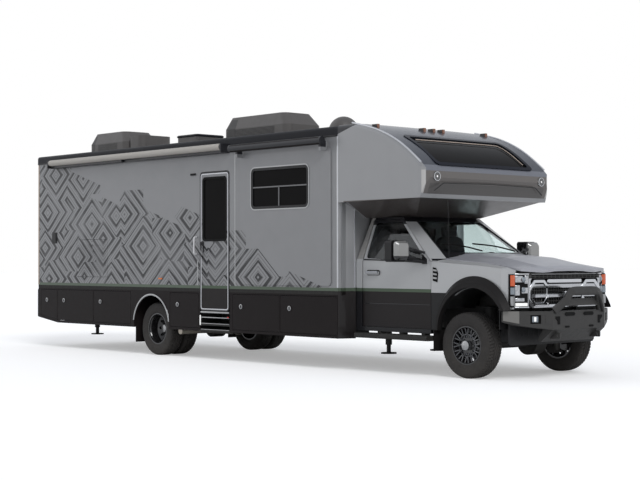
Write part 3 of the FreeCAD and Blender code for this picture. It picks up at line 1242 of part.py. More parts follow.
def rear_bumper():
    """Moulded rear bumper with its hitch receiver and the beam that carries it."""
    reach = COACH_REAR_X - REAR_BUMPER_REACH
    bevel = REAR_BUMPER_TOP - REAR_BUMPER_BEVEL
    points = [(COACH_REAR_X, REAR_BUMPER_LOW), (reach + REAR_BUMPER_FOOT_X, REAR_BUMPER_LOW),
              (reach, REAR_BUMPER_LOW + REAR_BUMPER_FOOT), (reach, bevel), (COACH_REAR_X - OVERRUN,
                                                                            REAR_BUMPER_TOP),
              (COACH_REAR_X, REAR_BUMPER_TOP)]
    body = prism(points, "y", (-REAR_BUMPER_HALF, REAR_BUMPER_HALF))
    outline = rectangle((reach, -REAR_BUMPER_HALF), (COACH_REAR_X + REAR_BUMPER_RADIUS * 2, REAR_BUMPER_HALF))
    plan = prism(outline, "z", (REAR_BUMPER_LOW - OVERRUN, REAR_BUMPER_TOP + OVERRUN), REAR_BUMPER_RADIUS)
    body = body.common(plan)
    room = box((reach + REAR_BUMPER_FOOT_X + REAR_BUMPER_WALL, COACH_REAR_X + OVERRUN),
               (REAR_BUMPER_WALL - REAR_BUMPER_HALF, REAR_BUMPER_HALF - REAR_BUMPER_WALL),
               (REAR_BUMPER_LOW - OVERRUN, bevel - REAR_BUMPER_WALL))
    body = body.cut(room)
    tube_rear = reach + RECEIVER_REAR_INSET
    half = RECEIVER_OUTER / 2
    bore = RECEIVER_BORE / 2
    tube = box((tube_rear, tube_rear + RECEIVER_LENGTH), (-half, half), (RECEIVER_Z - half, RECEIVER_Z + half))
    tube = tube.cut(box((tube_rear - OVERRUN, tube_rear + RECEIVER_LENGTH + OVERRUN), (-bore, bore),
                        (RECEIVER_Z - bore, RECEIVER_Z + bore)))
    pin_x = tube_rear + RECEIVER_PIN_INSET
    tube = tube.cut(cylinder(RECEIVER_PIN_RADIUS, point(pin_x, -RECEIVER_OUTER, RECEIVER_Z),
                             point(pin_x, RECEIVER_OUTER, RECEIVER_Z)))
    beam_x = tube_rear + RECEIVER_LENGTH - RECEIVER_BEAM
    beam = box((beam_x, beam_x + RECEIVER_BEAM), (-RAIL_OUTER, RAIL_OUTER),
               (RECEIVER_Z + half, RECEIVER_Z + half + RECEIVER_BEAM))
    ends = []
    for side in (-1, 1):
        ends.append(box((beam_x, beam_x + RECEIVER_BEAM), side_span(side, RAIL_OUTER - RAIL_WALL, RAIL_OUTER),
                        (RECEIVER_Z + half, RAIL_TOP - RAIL_HEIGHT)))
    return [body, fuse([tube, beam] + ends)]


def cab_ring(half, rear, side_front, front_half, front, bow, level, inset):
    """Return one level of the cab's greenhouse as a wire of five straight edges and a bowed front."""
    x = CAB_REAR_X
    right = [point(x + front - inset, -front_half + inset, level),
             point(x + side_front - inset, -half + inset, level),
             point(x + rear + inset, -half + inset, level)]
    left = [point(corner.x, -corner.y, level) for corner in reversed(right)]
    corners = right + left
    edges = [Part.LineSegment(corners[index],
                              corners[index + 1]).toShape() for index in range(len(corners) - 1)]
    middle = point(x + bow - inset, 0, level)
    edges.append(Part.Arc(corners[-1], middle, corners[0]).toShape())
    return Part.Wire(edges)


def greenhouse(inset):
    """Return the cab's upper part as a filled body, drawn in by an inset and cut off at the cowl."""
    low = cab_ring(CAB_BELT_HALF, 0.0, CAB_BELT_SIDE_FRONT, CAB_BELT_FRONT_HALF, CAB_BELT_FRONT, CAB_BELT_BOW,
                   CAB_BELT, inset)
    high = cab_ring(CAB_ROOF_HALF, CAB_ROOF_REAR_INSET, CAB_ROOF_SIDE_FRONT, CAB_ROOF_FRONT_HALF,
                    CAB_ROOF_FRONT,
                    CAB_ROOF_BOW, CAB_ROOF - inset * CAB_ROOF_SKIN_SHARE, inset)
    limits = box((CAB_REAR_X, CAB_FRONT_X - inset), (-CAB_HALF, CAB_HALF), (CAB_BELT, CAB_ROOF))
    return Part.makeLoft([low, high], True, True).common(limits)


def cab_lower(inset, low):
    """Return the cab between a lower level and its belt line as a filled body, drawn in by an inset."""
    half = CAB_HALF - inset
    return box((CAB_REAR_X + inset, CAB_FRONT_X - inset), (-half, half), (low, CAB_BELT))


def cab_walls():
    """Return the cab's whole side skin, from which its doors are split off."""
    outer = fuse([cab_lower(0.0, CAB_SILL_LOW), greenhouse(0.0)])
    return outer.cut(fuse([cab_lower(CAB_WALL, CAB_SILL_LOW), greenhouse(CAB_WALL)]))


def cab_door_opening(side):
    """Return the solid that opens the cab's skin for one door, no deeper than the door and its gap."""
    opening = prism(cab_door_outline(PANEL_GAP, CAB_DOOR_REAR_GAP), "y",
                    side_span(side, CAB_ROOF_FRONT_HALF, CAB_HALF + OVERRUN))
    deep = CAB_WALL + PANEL_GAP
    return opening.cut(fuse([cab_lower(deep, CAB_SILL_LOW), greenhouse(deep)]))


def cab_door_outline(grow, rear_grow):
    """Return the cab door's side outline, with the window frame's slanted front."""
    x = CAB_DOOR_REAR_X
    front = CAB_DOOR_FRONT_X + grow
    step = front - CAB_DOOR_STEP
    return [(x - rear_grow, CAB_DOOR_LOW - grow), (front, CAB_DOOR_LOW - grow),
            (front, CAB_DOOR_STEP_LOW + grow),
            (step, CAB_DOOR_STEP_HIGH + grow), (step - CAB_DOOR_SLANT, CAB_DOOR_HIGH + grow),
            (x - rear_grow, CAB_DOOR_HIGH + grow)]


def cab_window_outline():
    """Return the side window's outline within the door."""
    rear = CAB_DOOR_REAR_X + CAB_WINDOW_FRAME
    front = CAB_DOOR_FRONT_X - CAB_WINDOW_FRONT_FRAME
    high = CAB_DOOR_HIGH - CAB_WINDOW_FRAME
    low = CAB_BELT - CAB_WINDOW_SILL_FRONT_DROP
    step = low + CAB_WINDOW_FRAME
    slant = CAB_DOOR_SLANT / (CAB_DOOR_HIGH - CAB_DOOR_STEP_HIGH)
    return [(rear, CAB_BELT + CAB_WINDOW_SILL_REAR_RISE), (front, low), (front, step),
            (front - (high - step) * slant, high), (rear, high)]


def windshield_cutter():
    """Return the solid that opens the cab's front for the windshield."""
    share = (WINDSHIELD_LOW - CAB_BELT) / (CAB_ROOF - CAB_BELT)
    low_half = CAB_BELT_FRONT_HALF + (CAB_ROOF_FRONT_HALF - CAB_BELT_FRONT_HALF) * share - WINDSHIELD_PILLAR
    share = (WINDSHIELD_TOP - CAB_BELT) / (CAB_ROOF - CAB_BELT)
    high_half = CAB_BELT_FRONT_HALF + (CAB_ROOF_FRONT_HALF - CAB_BELT_FRONT_HALF) * share - WINDSHIELD_PILLAR
    outline = [(-low_half, WINDSHIELD_LOW), (low_half, WINDSHIELD_LOW), (high_half, WINDSHIELD_TOP),
               (-high_half, WINDSHIELD_TOP)]
    rear = CAB_REAR_X + CAB_ROOF_SIDE_FRONT - CAB_DOOR_SLANT / 2
    return prism(outline, "x", (rear, CAB_REAR_X + CAB_BELT_BOW + OVERRUN), WINDOW_RADIUS)


def cab_shell():
    """Cab without its doors: raised floor, sills, rear wall with its way through, roof, pillars and cowl."""
    body = fuse([cab_lower(0.0, CAB_SILL_LOW), greenhouse(0.0)])
    room = fuse([cab_lower(CAB_WALL, CAB_FLOOR + CAB_WALL), greenhouse(CAB_WALL)])
    sill = CAB_HALF - CAB_SILL_WIDTH
    front = CAB_FRONT_X + OVERRUN
    under = box((CAB_REAR_X - OVERRUN, front), (-sill, sill), (CAB_SILL_LOW - OVERRUN, CAB_FLOOR))
    way = box((CAB_REAR_X - OVERRUN, CAB_REAR_X + CAB_WALL + CAB_ROOF_REAR_INSET + OVERRUN),
              (-CAB_PASS_HALF, CAB_PASS_HALF), (CAB_PASS_LOW, CAB_PASS_HIGH))
    tools = [room, under, way, windshield_cutter(), cab_door_opening(-1), cab_door_opening(1)]
    rebate = CAB_HALF - FENDER_THICK - PANEL_GAP
    for side in (-1, 1):
        tools.append(box((FRONT_AXLE_X + FENDER_REAR - PANEL_GAP, front),
                         side_span(side, rebate, CAB_HALF + OVERRUN),
                         (CAB_SILL_LOW - OVERRUN, CAB_BELT)))
    mounts = []
    for x in (CAB_REAR_X + CAB_WALL, CAB_FRONT_X - CAB_WALL - RAIL_WIDTH):
        for side in (-1, 1):
            mounts.append(box((x, x + RAIL_WIDTH), side_span(side, RAIL_OUTER - RAIL_WIDTH, RAIL_OUTER),
                              (RAIL_TOP, CAB_FLOOR)))
    return [fuse([body.cut(tools)] + mounts)]


def windshield():
    """Windshield pane, sunk in its opening."""
    band = greenhouse(GLASS_SINK).cut(greenhouse(GLASS_SINK + GLASS_THICK))
    return [band.common(windshield_cutter())]


def cab_door(side):
    """Cab door with its window cut, handle, hinge barrels, and mirror on two arms."""
    panel = prism(cab_door_outline(0.0, 0.0), "y", side_span(side, CAB_ROOF_FRONT_HALF, CAB_HALF + OVERRUN))
    panel = panel.common(cab_walls())
    hole = cab_window_hole(side)
    mirror = [piece.cut(hole) for piece in mirror_pieces(side)]
    x = CAB_DOOR_REAR_X + CAB_HANDLE_REAR
    z = CAB_BELT - CAB_HANDLE_DROP
    handle = box((x, x + CAB_HANDLE_LENGTH),
                 side_span(side, CAB_HALF - CAB_WALL / 2, CAB_HALF + CAB_HANDLE_REACH),
                 (z, z + CAB_HANDLE_HEIGHT))
    barrels = hinge_barrels(CAB_DOOR_FRONT_X, side * CAB_HALF, CAB_DOOR_LOW, CAB_DOOR_STEP_LOW)
    return [fuse([panel.cut(hole), handle] + barrels + mirror)]


def cab_window_hole(side):
    """Return the solid that opens one cab door for its window."""
    span = side_span(side, CAB_ROOF_FRONT_HALF - OVERRUN, CAB_HALF + OVERRUN)
    return prism(cab_window_outline(), "y", span, WINDOW_RADIUS)


def hinge_barrels(edge, y, low, high):
    """Return the two hinge barrels in the gap ahead of an upright door edge."""
    radius = PANEL_GAP * BARREL_SHARE
    x = edge + PANEL_GAP - SEAT_GAP - radius
    barrels = []
    for share in BARREL_PLACE_SHARES:
        base = low + (high - low) * share
        barrels.append(cylinder(radius, point(x, y, base - BARREL_LENGTH / 2),
                                point(x, y, base + BARREL_LENGTH / 2)))
    return barrels


def mirror_pieces(side):
    """Return one mirror: door plate, two arms and the head."""
    plate = box((MIRROR_BASE_X - MIRROR_BASE_LENGTH / 2, MIRROR_BASE_X + MIRROR_BASE_LENGTH / 2),
                side_span(side, CAB_HALF - CAB_WALL / 2, CAB_HALF + MIRROR_BASE_REACH),
                (MIRROR_BASE_LOW, MIRROR_BASE_LOW + MIRROR_BASE_HEIGHT))
    plate = plate.common(prism(cab_door_outline(0.0, 0.0), "y",
                               side_span(side, CAB_ROOF_FRONT_HALF, MIRROR_REACH)))
    outline = rectangle((side * MIRROR_INNER, MIRROR_LOW), (side * MIRROR_REACH, MIRROR_LOW + MIRROR_HEIGHT))
    head = prism(outline, "x", (MIRROR_X - MIRROR_DEPTH / 2, MIRROR_X + MIRROR_DEPTH / 2), MIRROR_RADIUS)
    arms = []
    for share in MIRROR_ARM_SHARES:
        foot = MIRROR_BASE_LOW + MIRROR_BASE_HEIGHT * share
        base = point(MIRROR_BASE_X, side * (CAB_HALF + MIRROR_BASE_REACH / 2), foot)
        tip = point(MIRROR_X, side * (MIRROR_INNER + MIRROR_RADIUS), MIRROR_LOW + MIRROR_HEIGHT * share)
        arms.append(cylinder(MIRROR_ARM_RADIUS, base, tip))
    return [plate, head] + arms


def cab_door_glass(side):
    """Side window pane of one cab door."""
    band = greenhouse(GLASS_SINK).cut(greenhouse(GLASS_SINK + GLASS_THICK))
    return [band.common(cab_window_hole(side))]


def hood_ring(index, station, drop):
    """Return one cross-section of the hood as a closed wire, lowered by a drop on its underside."""
    half = CAB_HALF * HOOD_HALF_SHARES[index]
    side = [(half, CAB_BELT + HOOD_SIDE_RISES[index]),
            (half * HOOD_FOOT_SHARE, CAB_BELT + HOOD_FOOT_RISES[index]),
            (half * HOOD_BULGE_SHARE, CAB_BELT + HOOD_BULGE_RISES[index])]
    right = [(-pair[0], pair[1]) for pair in side]
    top = right + [(0.0, CAB_BELT + HOOD_CENTRE_RISES[index])] + side[::-1]
    under = [(pair[0], pair[1] - drop) for pair in reversed(top)]
    return polygon(top + under, "x", FRONT_AXLE_X + station)


def hood():
    """Hood panel with its raised middle, tapering to a rounded nose, and its hinge barrels."""
    stations = (HOOD_REAR,) + HOOD_FRONT_STATIONS
    rings = [hood_ring(index, station, HOOD_THICK) for index, station in enumerate(stations)]
    panel = Part.makeLoft(rings, True, True)
    half = BARREL_LENGTH / 2
    barrels = []
    for y in (-HOOD_HINGE_Y, HOOD_HINGE_Y):
        ends = [point(HOOD_HINGE_X, y + end * half, HOOD_HINGE_Z) for end in (-1, 1)]
        barrels.append(cylinder(HOOD_HINGE_RADIUS, ends[0], ends[1]))
    return [fuse([panel] + barrels)]


def fender_ring(index, station):
    """Return one cross-section of the right fender as a closed wire."""
    outer = CAB_HALF * FENDER_OUTER_SHARES[index]
    belt = CAB_BELT + FENDER_BELT_RISES[index]
    top = CAB_BELT + FENDER_TOP_RISES[index]
    inner = CAB_HALF * FENDER_INNER_SHARES[index]
    thick = FENDER_THICK
    points = [(-outer, FENDER_LOW), (-outer, belt), (-inner, top), (-inner, top - thick),
              (-outer + thick, belt - thick / 2), (-outer + thick, FENDER_LOW)]
    return polygon(points, "x", FRONT_AXLE_X + station)


def arch_points(rear, top, front):
    """Return the three points of a wheel arch outline, placed from the front axle."""
    return [(FRONT_AXLE_X + pair[0], pair[1]) for pair in (rear, top, front)]


def arch_tool(rear, top, front, ys, low):
    """Return the solid under a wheel arch outline, down to a level."""
    points = [place(pair, "y", ys[0]) for pair in arch_points(rear, top, front)]
    arc = Part.Arc(points[0], points[1], points[2]).toShape()
    feet = [point(points[2].x, ys[0], low), point(points[0].x, ys[0], low)]
    path = [points[2], feet[0], feet[1], points[0]]
    lines = [Part.LineSegment(path[index], path[index + 1]).toShape() for index in range(len(path) - 1)]
    return Part.Face(Part.Wire([arc] + lines)).extrude(point(0, ys[1] - ys[0], 0))


def fenders():
    """Front fenders with their wheel arches cut and lined, the cowl with its hinge posts, and the radiator."""
    stations = (FENDER_REAR, FENDER_STEP_BACK - AXLE_AHEAD,
                FENDER_STEP_FRONT - AXLE_AHEAD) + FENDER_FRONT_STATIONS
    wing = Part.makeLoft([fender_ring(index, station) for index, station in enumerate(stations)], True, True)
    inner = CAB_HALF * min(FENDER_INNER_SHARES)
    ys = (-CAB_HALF - OVERRUN, -inner + OVERRUN)
    corner = box((FRONT_AXLE_X + FENDER_CUT_X, FRONT_AXLE_X + GRILLE_FACE), ys,
                 (FENDER_LOW - OVERRUN, LAMP_LOW - FENDER_CUT_DROP))
    wing = wing.cut([arch_tool(ARCH_REAR, ARCH_TOP, ARCH_FRONT, ys, FENDER_LOW - OVERRUN), corner])
    low = CAB_BELT - COWL_THICK
    cowl = box((CAB_FRONT_X, CAB_FRONT_X + COWL_THICK / 2), (-inner + FENDER_THICK, inner - FENDER_THICK),
               (RAIL_TOP, low))
    seat = HOOD_HINGE_X - HOOD_HINGE_RADIUS - SEAT_GAP
    half = BARREL_LENGTH / 2
    posts = [box((CAB_FRONT_X, seat), side_span(side, HOOD_HINGE_Y - half, HOOD_HINGE_Y + half),
                 (low, HOOD_HINGE_Z + HOOD_HINGE_RADIUS)) for side in (-1, 1)]
    back = FRONT_AXLE_X + NOSE_PANEL_BACK
    nose_half = CAB_HALF - NOSE_PANEL_MARGIN
    nose = box((back - FENDER_THICK, back), (-nose_half, nose_half), (LAMP_LOW, LAMP_HIGH))
    core = GRILLE_HALF - RADIATOR_SIDE
    radiator = box((back, back + RADIATOR_THICK), (-core, core), (RAIL_TOP, GRILLE_HIGH - COWL_THICK))
    liners = [piece for part in arch_liner(wing) for piece in both_sides(part)]
    return [fuse([nose, radiator] + both_sides(wing)), fuse([cowl] + posts)] + liners


def arch_liner(wing):
    """Return the right front wheel's liner: a curved sheet over the tyre and a splash plate ahead of it."""
    front = FRONT_AXLE_X + NOSE_PANEL_BACK - FENDER_THICK
    inner = arch_points(ARCH_REAR, ARCH_TOP, ARCH_FRONT)
    outer = [(pair[0], pair[1] + LINER_THICK) for pair in inner]
    side = RAIL_OUTER + LINER_RAIL_GAP
    sheet = Part.Face(arch_band(outer, inner, -CAB_HALF)).extrude(point(0, CAB_HALF - side, 0))
    keep = box((FRONT_AXLE_X + LINER_REAR_X, front), (-CAB_HALF, -side), (FENDER_LOW, CAB_BELT))
    plate = box((front, front + LINER_THICK), (-CAB_HALF, -side), (SPLASH_LOW, LAMP_LOW))
    return [sheet.common(keep).cut(wing_side(wing)), plate.cut(wing_side(wing))]


def wing_side(wing):
    """Return a fender with what lies outside it, as the tool that trims a liner to its inner face."""
    limits = wing.BoundBox
    outside = box((limits.XMin, limits.XMax), (-CAB_HALF - OVERRUN, FENDER_THICK - CAB_HALF),
                  (limits.ZMin, limits.ZMax))
    return fuse([wing, outside])


def arch_band(points_out, points_in, y):
    """Return the closed wire between an outer and an inner arch outline at one Y."""
    outer = [place(pair, "y", y) for pair in points_out]
    inner = [place(pair, "y", y) for pair in points_in]
    edges = [Part.Arc(outer[0], outer[1], outer[2]).toShape(), Part.LineSegment(outer[2], inner[2]).toShape(),
             Part.Arc(inner[2], inner[1], inner[0]).toShape(), Part.LineSegment(inner[0], outer[0]).toShape()]
    return Part.Wire(edges)


def between(first, second, share):
    """Return the point pairs a share of the way from one outline to another."""
    return [(a[0] + (b[0] - a[0]) * share, a[1] + (b[1] - a[1]) * share) for a, b in zip(first, second)]


def fender_flares():
    """Wheel arch flares standing out from the fenders, and the flaps behind the front wheels."""
    outer = arch_points(FLARE_REAR, FLARE_TOP, FLARE_FRONT)
    inner = arch_points(ARCH_REAR, ARCH_TOP, ARCH_FRONT)
    lip = between(inner, outer, FLARE_LIP_SHARE)
    wires = [arch_band(outer, inner, -CAB_HALF), arch_band(lip, inner, -CAB_HALF - FLARE_REACH)]
    flare = Part.makeLoft(wires, True, True)
    flap_x = FRONT_AXLE_X + FRONT_FLAP_X
    reach = CAB_HALF + FLARE_REACH
    flap = box((flap_x, flap_x + FRONT_FLAP_THICK), (-reach, -reach + FRONT_FLAP_WIDTH),
               (FRONT_FLAP_LOW, FENDER_LOW))
    return both_sides(flare) + both_sides(flap)


def chamfered(low, high, corner):
    """Return the corners of an upright rectangle with its corners cut off."""
    return [(low[0] + corner, low[1]), (high[0] - corner, low[1]), (high[0], low[1] + corner),
            (high[0], high[1] - corner),
            (high[0] - corner, high[1]), (low[0] + corner, high[1]), (low[0], high[1] - corner), (low[0],
                                                                                                  low[1] + corner)]


def grille():
    """Grille: eight-sided frame, two bars and a row of upright ribs."""
    x = FRONT_AXLE_X + GRILLE_FACE
    back = x - GRILLE_DEPTH
    half = GRILLE_HALF - GRILLE_FRAME
    low = GRILLE_LOW + GRILLE_FRAME
    high = GRILLE_HIGH - GRILLE_FRAME
    outer = prism(chamfered((-GRILLE_HALF, GRILLE_LOW), (GRILLE_HALF, GRILLE_HIGH), GRILLE_CHAMFER), "x",
                  (back, x))
    room = prism(chamfered((-half, low), (half, high), GRILLE_CHAMFER - GRILLE_FRAME / 2), "x",
                 (back - OVERRUN, x + OVERRUN))
    pieces = [outer.cut(room)]
    reach = half + GRILLE_FRAME / 2
    for share in (1 / 3, 2 / 3):
        centre = low + (high - low) * share
        pieces.append(box((back, x), (-reach, reach),
                          (centre - GRILLE_BAR_HEIGHT / 2, centre + GRILLE_BAR_HEIGHT / 2)))
    pitch = half * 2 / (GRILLE_RIB_COUNT + 1)
    for index in range(GRILLE_RIB_COUNT):
        y = pitch * (index + 1) - half
        pieces.append(box((back, back + GRILLE_SLAT_DEPTH), (y - GRILLE_RIB / 2, y + GRILLE_RIB / 2),
                          (low - GRILLE_FRAME / 2, high + GRILLE_FRAME / 2)))
    return [fuse(pieces)]


def headlamps():
    """Headlamp blocks, stepped back with the fenders' front ends."""
    front = FRONT_AXLE_X + GRILLE_FACE - LAMP_SETBACK
    outer = FRONT_AXLE_X + LAMP_FACE_OUTER
    plan = [(front, -GRILLE_HALF), (outer, -LAMP_OUTER), (outer - LAMP_DEPTH, -LAMP_OUTER),
            (outer - LAMP_DEPTH, -GRILLE_HALF)]
    return both_sides(prism(plan, "z", (LAMP_LOW, LAMP_HIGH)))


def bumper_plan(inset):
    """Return the bumper's plan outline: flat centre, swept wings, open back."""
    face = FRONT_AXLE_X + BUMPER_FACE
    wing = (FRONT_AXLE_X + BUMPER_WING[0], BUMPER_WING[1])
    end = (FRONT_AXLE_X + BUMPER_WING_END[0], BUMPER_WING_END[1])
    right = [(face, -BUMPER_CENTRE_HALF), (wing[0], -wing[1]), (end[0], -end[1]), (end[0], -end[1] + inset),
             (wing[0] - inset, -wing[1] + inset / 2), (face - inset, -BUMPER_CENTRE_HALF + inset / 2)]
    left = [(pair[0], -pair[1]) for pair in reversed(right)]
    return right + left


def bumper_under(side):
    """Return the wedge that lifts the bumper's lower edge out along one wing."""
    low = BUMPER_CHIN_LOW
    points = [(side * BUMPER_CENTRE_HALF, BUMPER_FACE_LOW), (side * BUMPER_WING[1], BUMPER_WING_LOW),
              (side * BUMPER_WING_END[1], BUMPER_END_LOW), (side * (BUMPER_WING_END[1] + OVERRUN), low),
              (side * BUMPER_CENTRE_HALF, low)]
    return prism(points, "x", (FRONT_AXLE_X, FRONT_AXLE_X + BUMPER_FACE + OVERRUN))


def bumper_chin():
    """Return the skid face that slopes back under the bumper's centre."""
    face = FRONT_AXLE_X + BUMPER_FACE
    back = FRONT_AXLE_X + BUMPER_CHIN_FACE
    outline = [(face, BUMPER_FACE_LOW), (back, BUMPER_CHIN_LOW),
               (back - BUMPER_CHIN_DEPTH / 2, BUMPER_CHIN_LOW + OVERRUN),
               (face - BUMPER_DEPTH, BUMPER_FACE_LOW + BUMPER_CHIN_DEPTH / 2)]
    return prism(outline, "y", (-BUMPER_CENTRE_HALF, BUMPER_CENTRE_HALF))


def fog_pocket(side):
    """Return the tool that sinks a lamp pocket in one wing of the bumper."""
    depth = BUMPER_WING[0] - BUMPER_FACE
    width = BUMPER_WING[1] - BUMPER_CENTRE_HALF
    ends = [(FRONT_AXLE_X + BUMPER_FACE + depth * share,
             BUMPER_CENTRE_HALF + width * share) for share in FOG_POCKET_SHARES]
    plan = [(x + OVERRUN, side * y) for x, y in ends] + [(x - BUMPER_POCKET, side * y) for x,
                                                         y in reversed(ends)]
    half = FOG_SIZE / 2 + PANEL_GAP * 2
    return prism(plan, "z", (FOG_Z - half, FOG_Z + half))


def recovery_lug(side):
    """Return one recovery lug under the bumper, with its shackle hole."""
    x = FRONT_AXLE_X + BUMPER_FACE
    y = side * RECOVERY_Y
    half = RECOVERY_LUG / 2
    outline = rectangle((x - BUMPER_DEPTH * 2, RECOVERY_Z - half), (x + half / 2, RECOVERY_Z + half))
    plate = prism(outline, "y", (y - RECOVERY_THICK / 2, y + RECOVERY_THICK / 2), RECOVERY_HOLE_RADIUS)
    centre = x - half / 2
    hole = cylinder(RECOVERY_HOLE_RADIUS, point(centre, y - half, RECOVERY_Z),
                    point(centre, y + half, RECOVERY_Z))
    return plate, hole


def front_bumper():
    """Steel front bumper with lamp pockets, hoop bar, cross panel and recovery lugs."""
    band = prism(bumper_plan(BUMPER_DEPTH), "z", (BUMPER_FACE_LOW, BUMPER_TOP))
    band = cut(band, [bumper_under(-1), bumper_under(1), fog_pocket(-1), fog_pocket(1)])
    x = FRONT_AXLE_X
    hoop = pipe([point(x + HOOP_FOOT_FACE, -HOOP_FOOT_HALF, BUMPER_TOP - HOOP_RADIUS),
                 point(x + HOOP_FACE, -HOOP_TOP_HALF, HOOP_TOP), point(x + HOOP_FACE, HOOP_TOP_HALF, HOOP_TOP),
                 point(x + HOOP_FOOT_FACE, HOOP_FOOT_HALF, BUMPER_TOP - HOOP_RADIUS)], HOOP_RADIUS, HOOP_BEND)
    bar_x = x + (HOOP_FOOT_FACE + HOOP_FACE) / 2
    reach = HOOP_BAR_HALF + HOOP_RADIUS * 2
    bar = box((bar_x - HOOP_BAR_DEPTH / 2, bar_x + HOOP_BAR_DEPTH / 2), (-reach, reach),
              (HOOP_BAR_Z - HOOP_BAR_HEIGHT / 2, HOOP_BAR_Z + HOOP_BAR_HEIGHT / 2))
    lugs = [recovery_lug(-1), recovery_lug(1)]
    solids = [band, bumper_chin(), hoop, bar] + [lug[0] for lug in lugs]
    shape = cut(fuse(solids), [lug[1] for lug in lugs])
    horns = []
    for side in (-1, 1):
        horns.append(box((x + RAIL_FRONT, x + BUMPER_FACE - BUMPER_DEPTH),
                         side_span(side, RAIL_OUTER - RAIL_WIDTH, RAIL_OUTER), (BUMPER_TOP - RAIL_KICK,
                                                                                BUMPER_TOP - OVERRUN)))
    return [fuse([shape] + horns)]


def tyre(x, y):
    """Return one tyre: rounded shoulders, bulged sidewalls, closed on the rim's radius."""
    half = TYRE_WIDTH / 2
    bead = RIM_RADIUS + SEAT_GAP
    wall = bead + (TYRE_RADIUS - bead) * SIDEWALL_SHARE
    shoulder = half * TREAD_SHOULDER_SHARE
    drop = (half - shoulder) / 4
    side = [(RIM_WIDTH / 2, bead), (half - drop, bead + drop * 2), (half, wall - drop * 2),
            (half - drop / 2, wall + drop), (shoulder + drop * 2, TYRE_RADIUS - drop), (shoulder, TYRE_RADIUS)]
    profile = side + [(-pair[0], pair[1]) for pair in reversed(side)]
    return turned(profile, x, y, TYRE_RADIUS)


def rim(x, y, side, dish, lean):
    """Return one disc wheel: barrel with lips, disc at a dish from the outer edge, and its holes."""
    half = RIM_WIDTH / 2
    barrel = [(-half, RIM_RADIUS), (half, RIM_RADIUS), (half, RIM_RADIUS - RIM_WALL * 2),
              (half - RIM_WALL * 2, RIM_RADIUS - RIM_WALL * 2), (half - RIM_WALL * 4,
                                                                 RIM_RADIUS - RIM_WALL * 3),
              (RIM_WALL * 4 - half, RIM_RADIUS - RIM_WALL * 3), (RIM_WALL * 2 - half,
                                                                 RIM_RADIUS - RIM_WALL * 2),
              (-half, RIM_RADIUS - RIM_WALL * 2)]
    shape = turned(barrel, x, y, TYRE_RADIUS)
    face = side * (half - dish)
    inner = face - side * DISC_THICK
    seat = HUB_FLANGE_RADIUS + DISC_THICK
    edge = RIM_RADIUS - RIM_WALL * 5 / 2
    disc = [(face, HUB_RADIUS - DISC_THICK), (face, seat), (face + side * lean, edge),
            (inner + side * lean, edge),
            (inner, seat), (inner, HUB_RADIUS - DISC_THICK)]
    disc = turned(disc, x, y, TYRE_RADIUS)
    holes = []
    for index in range(HAND_HOLE_COUNT):
        angle = math.tau * index / HAND_HOLE_COUNT
        px = x + HAND_HOLE_CIRCLE * math.cos(angle)
        pz = TYRE_RADIUS + HAND_HOLE_CIRCLE * math.sin(angle)
        holes.append(cylinder(HAND_HOLE_RADIUS, point(px, y - TYRE_WIDTH, pz), point(px, y + TYRE_WIDTH, pz)))
    return fuse([shape, disc.cut(holes)])


def hub(x, face, side, stack, depth, reach):
    """Return a wheel hub: drum through the discs' centre, flange behind them and ring of studs."""
    plane = face - side * stack
    back = plane - side * depth
    drum = cylinder(HUB_RADIUS, point(x, back, TYRE_RADIUS), point(x, face + side * reach, TYRE_RADIUS))
    behind = point(x, plane - side * DISC_THICK * 2, TYRE_RADIUS)
    flange = cylinder(HUB_FLANGE_RADIUS, behind, point(x, plane, TYRE_RADIUS))
    studs = []
    for index in range(STUD_COUNT):
        angle = math.tau * index / STUD_COUNT
        px = x + STUD_CIRCLE_RADIUS * math.cos(angle)
        pz = TYRE_RADIUS + STUD_CIRCLE_RADIUS * math.sin(angle)
        tip = point(px, face + side * STUD_LENGTH, pz)
        studs.append(cylinder(STUD_RADIUS, point(px, plane - side * DISC_THICK, pz), tip))
    return fuse([drum, flange] + studs)


def front_wheel(side):
    """Return the rim with its hub, and the tyre, of one front wheel."""
    y = side * FRONT_TRACK_HALF
    face = y + side * (RIM_WIDTH / 2 - FRONT_DISH)
    disc = rim(FRONT_AXLE_X, y, side, FRONT_DISH, -FRONT_DISH)
    solid = fuse([disc, hub(FRONT_AXLE_X, face, side, DISC_THICK, FRONT_HUB_DEPTH, FRONT_HUB_REACH)])
    return [solid], [tyre(FRONT_AXLE_X, y)]


def rear_wheels(side):
    """Return the rims with their hub, and the tyres, of one dual rear wheel: the discs meet back to back."""
    outer = side * REAR_OUTER_HALF
    inner = side * REAR_INNER_HALF
    dish = (DUAL_SPACING + RIM_WIDTH) / 2 - DISC_THICK
    lean = (DUAL_SPACING - RIM_WIDTH) / 2 + RIM_WALL * 4
    face = outer + side * (RIM_WIDTH / 2 - dish)
    solids = [rim(REAR_AXLE_X, outer, side, dish, lean), rim(REAR_AXLE_X, inner, -side, dish, lean),
              hub(REAR_AXLE_X, face, side, DISC_THICK * 2, REAR_HUB_DEPTH, REAR_HUB_REACH)]
    return [fuse(solids)], [tyre(REAR_AXLE_X, outer), tyre(REAR_AXLE_X, inner)]


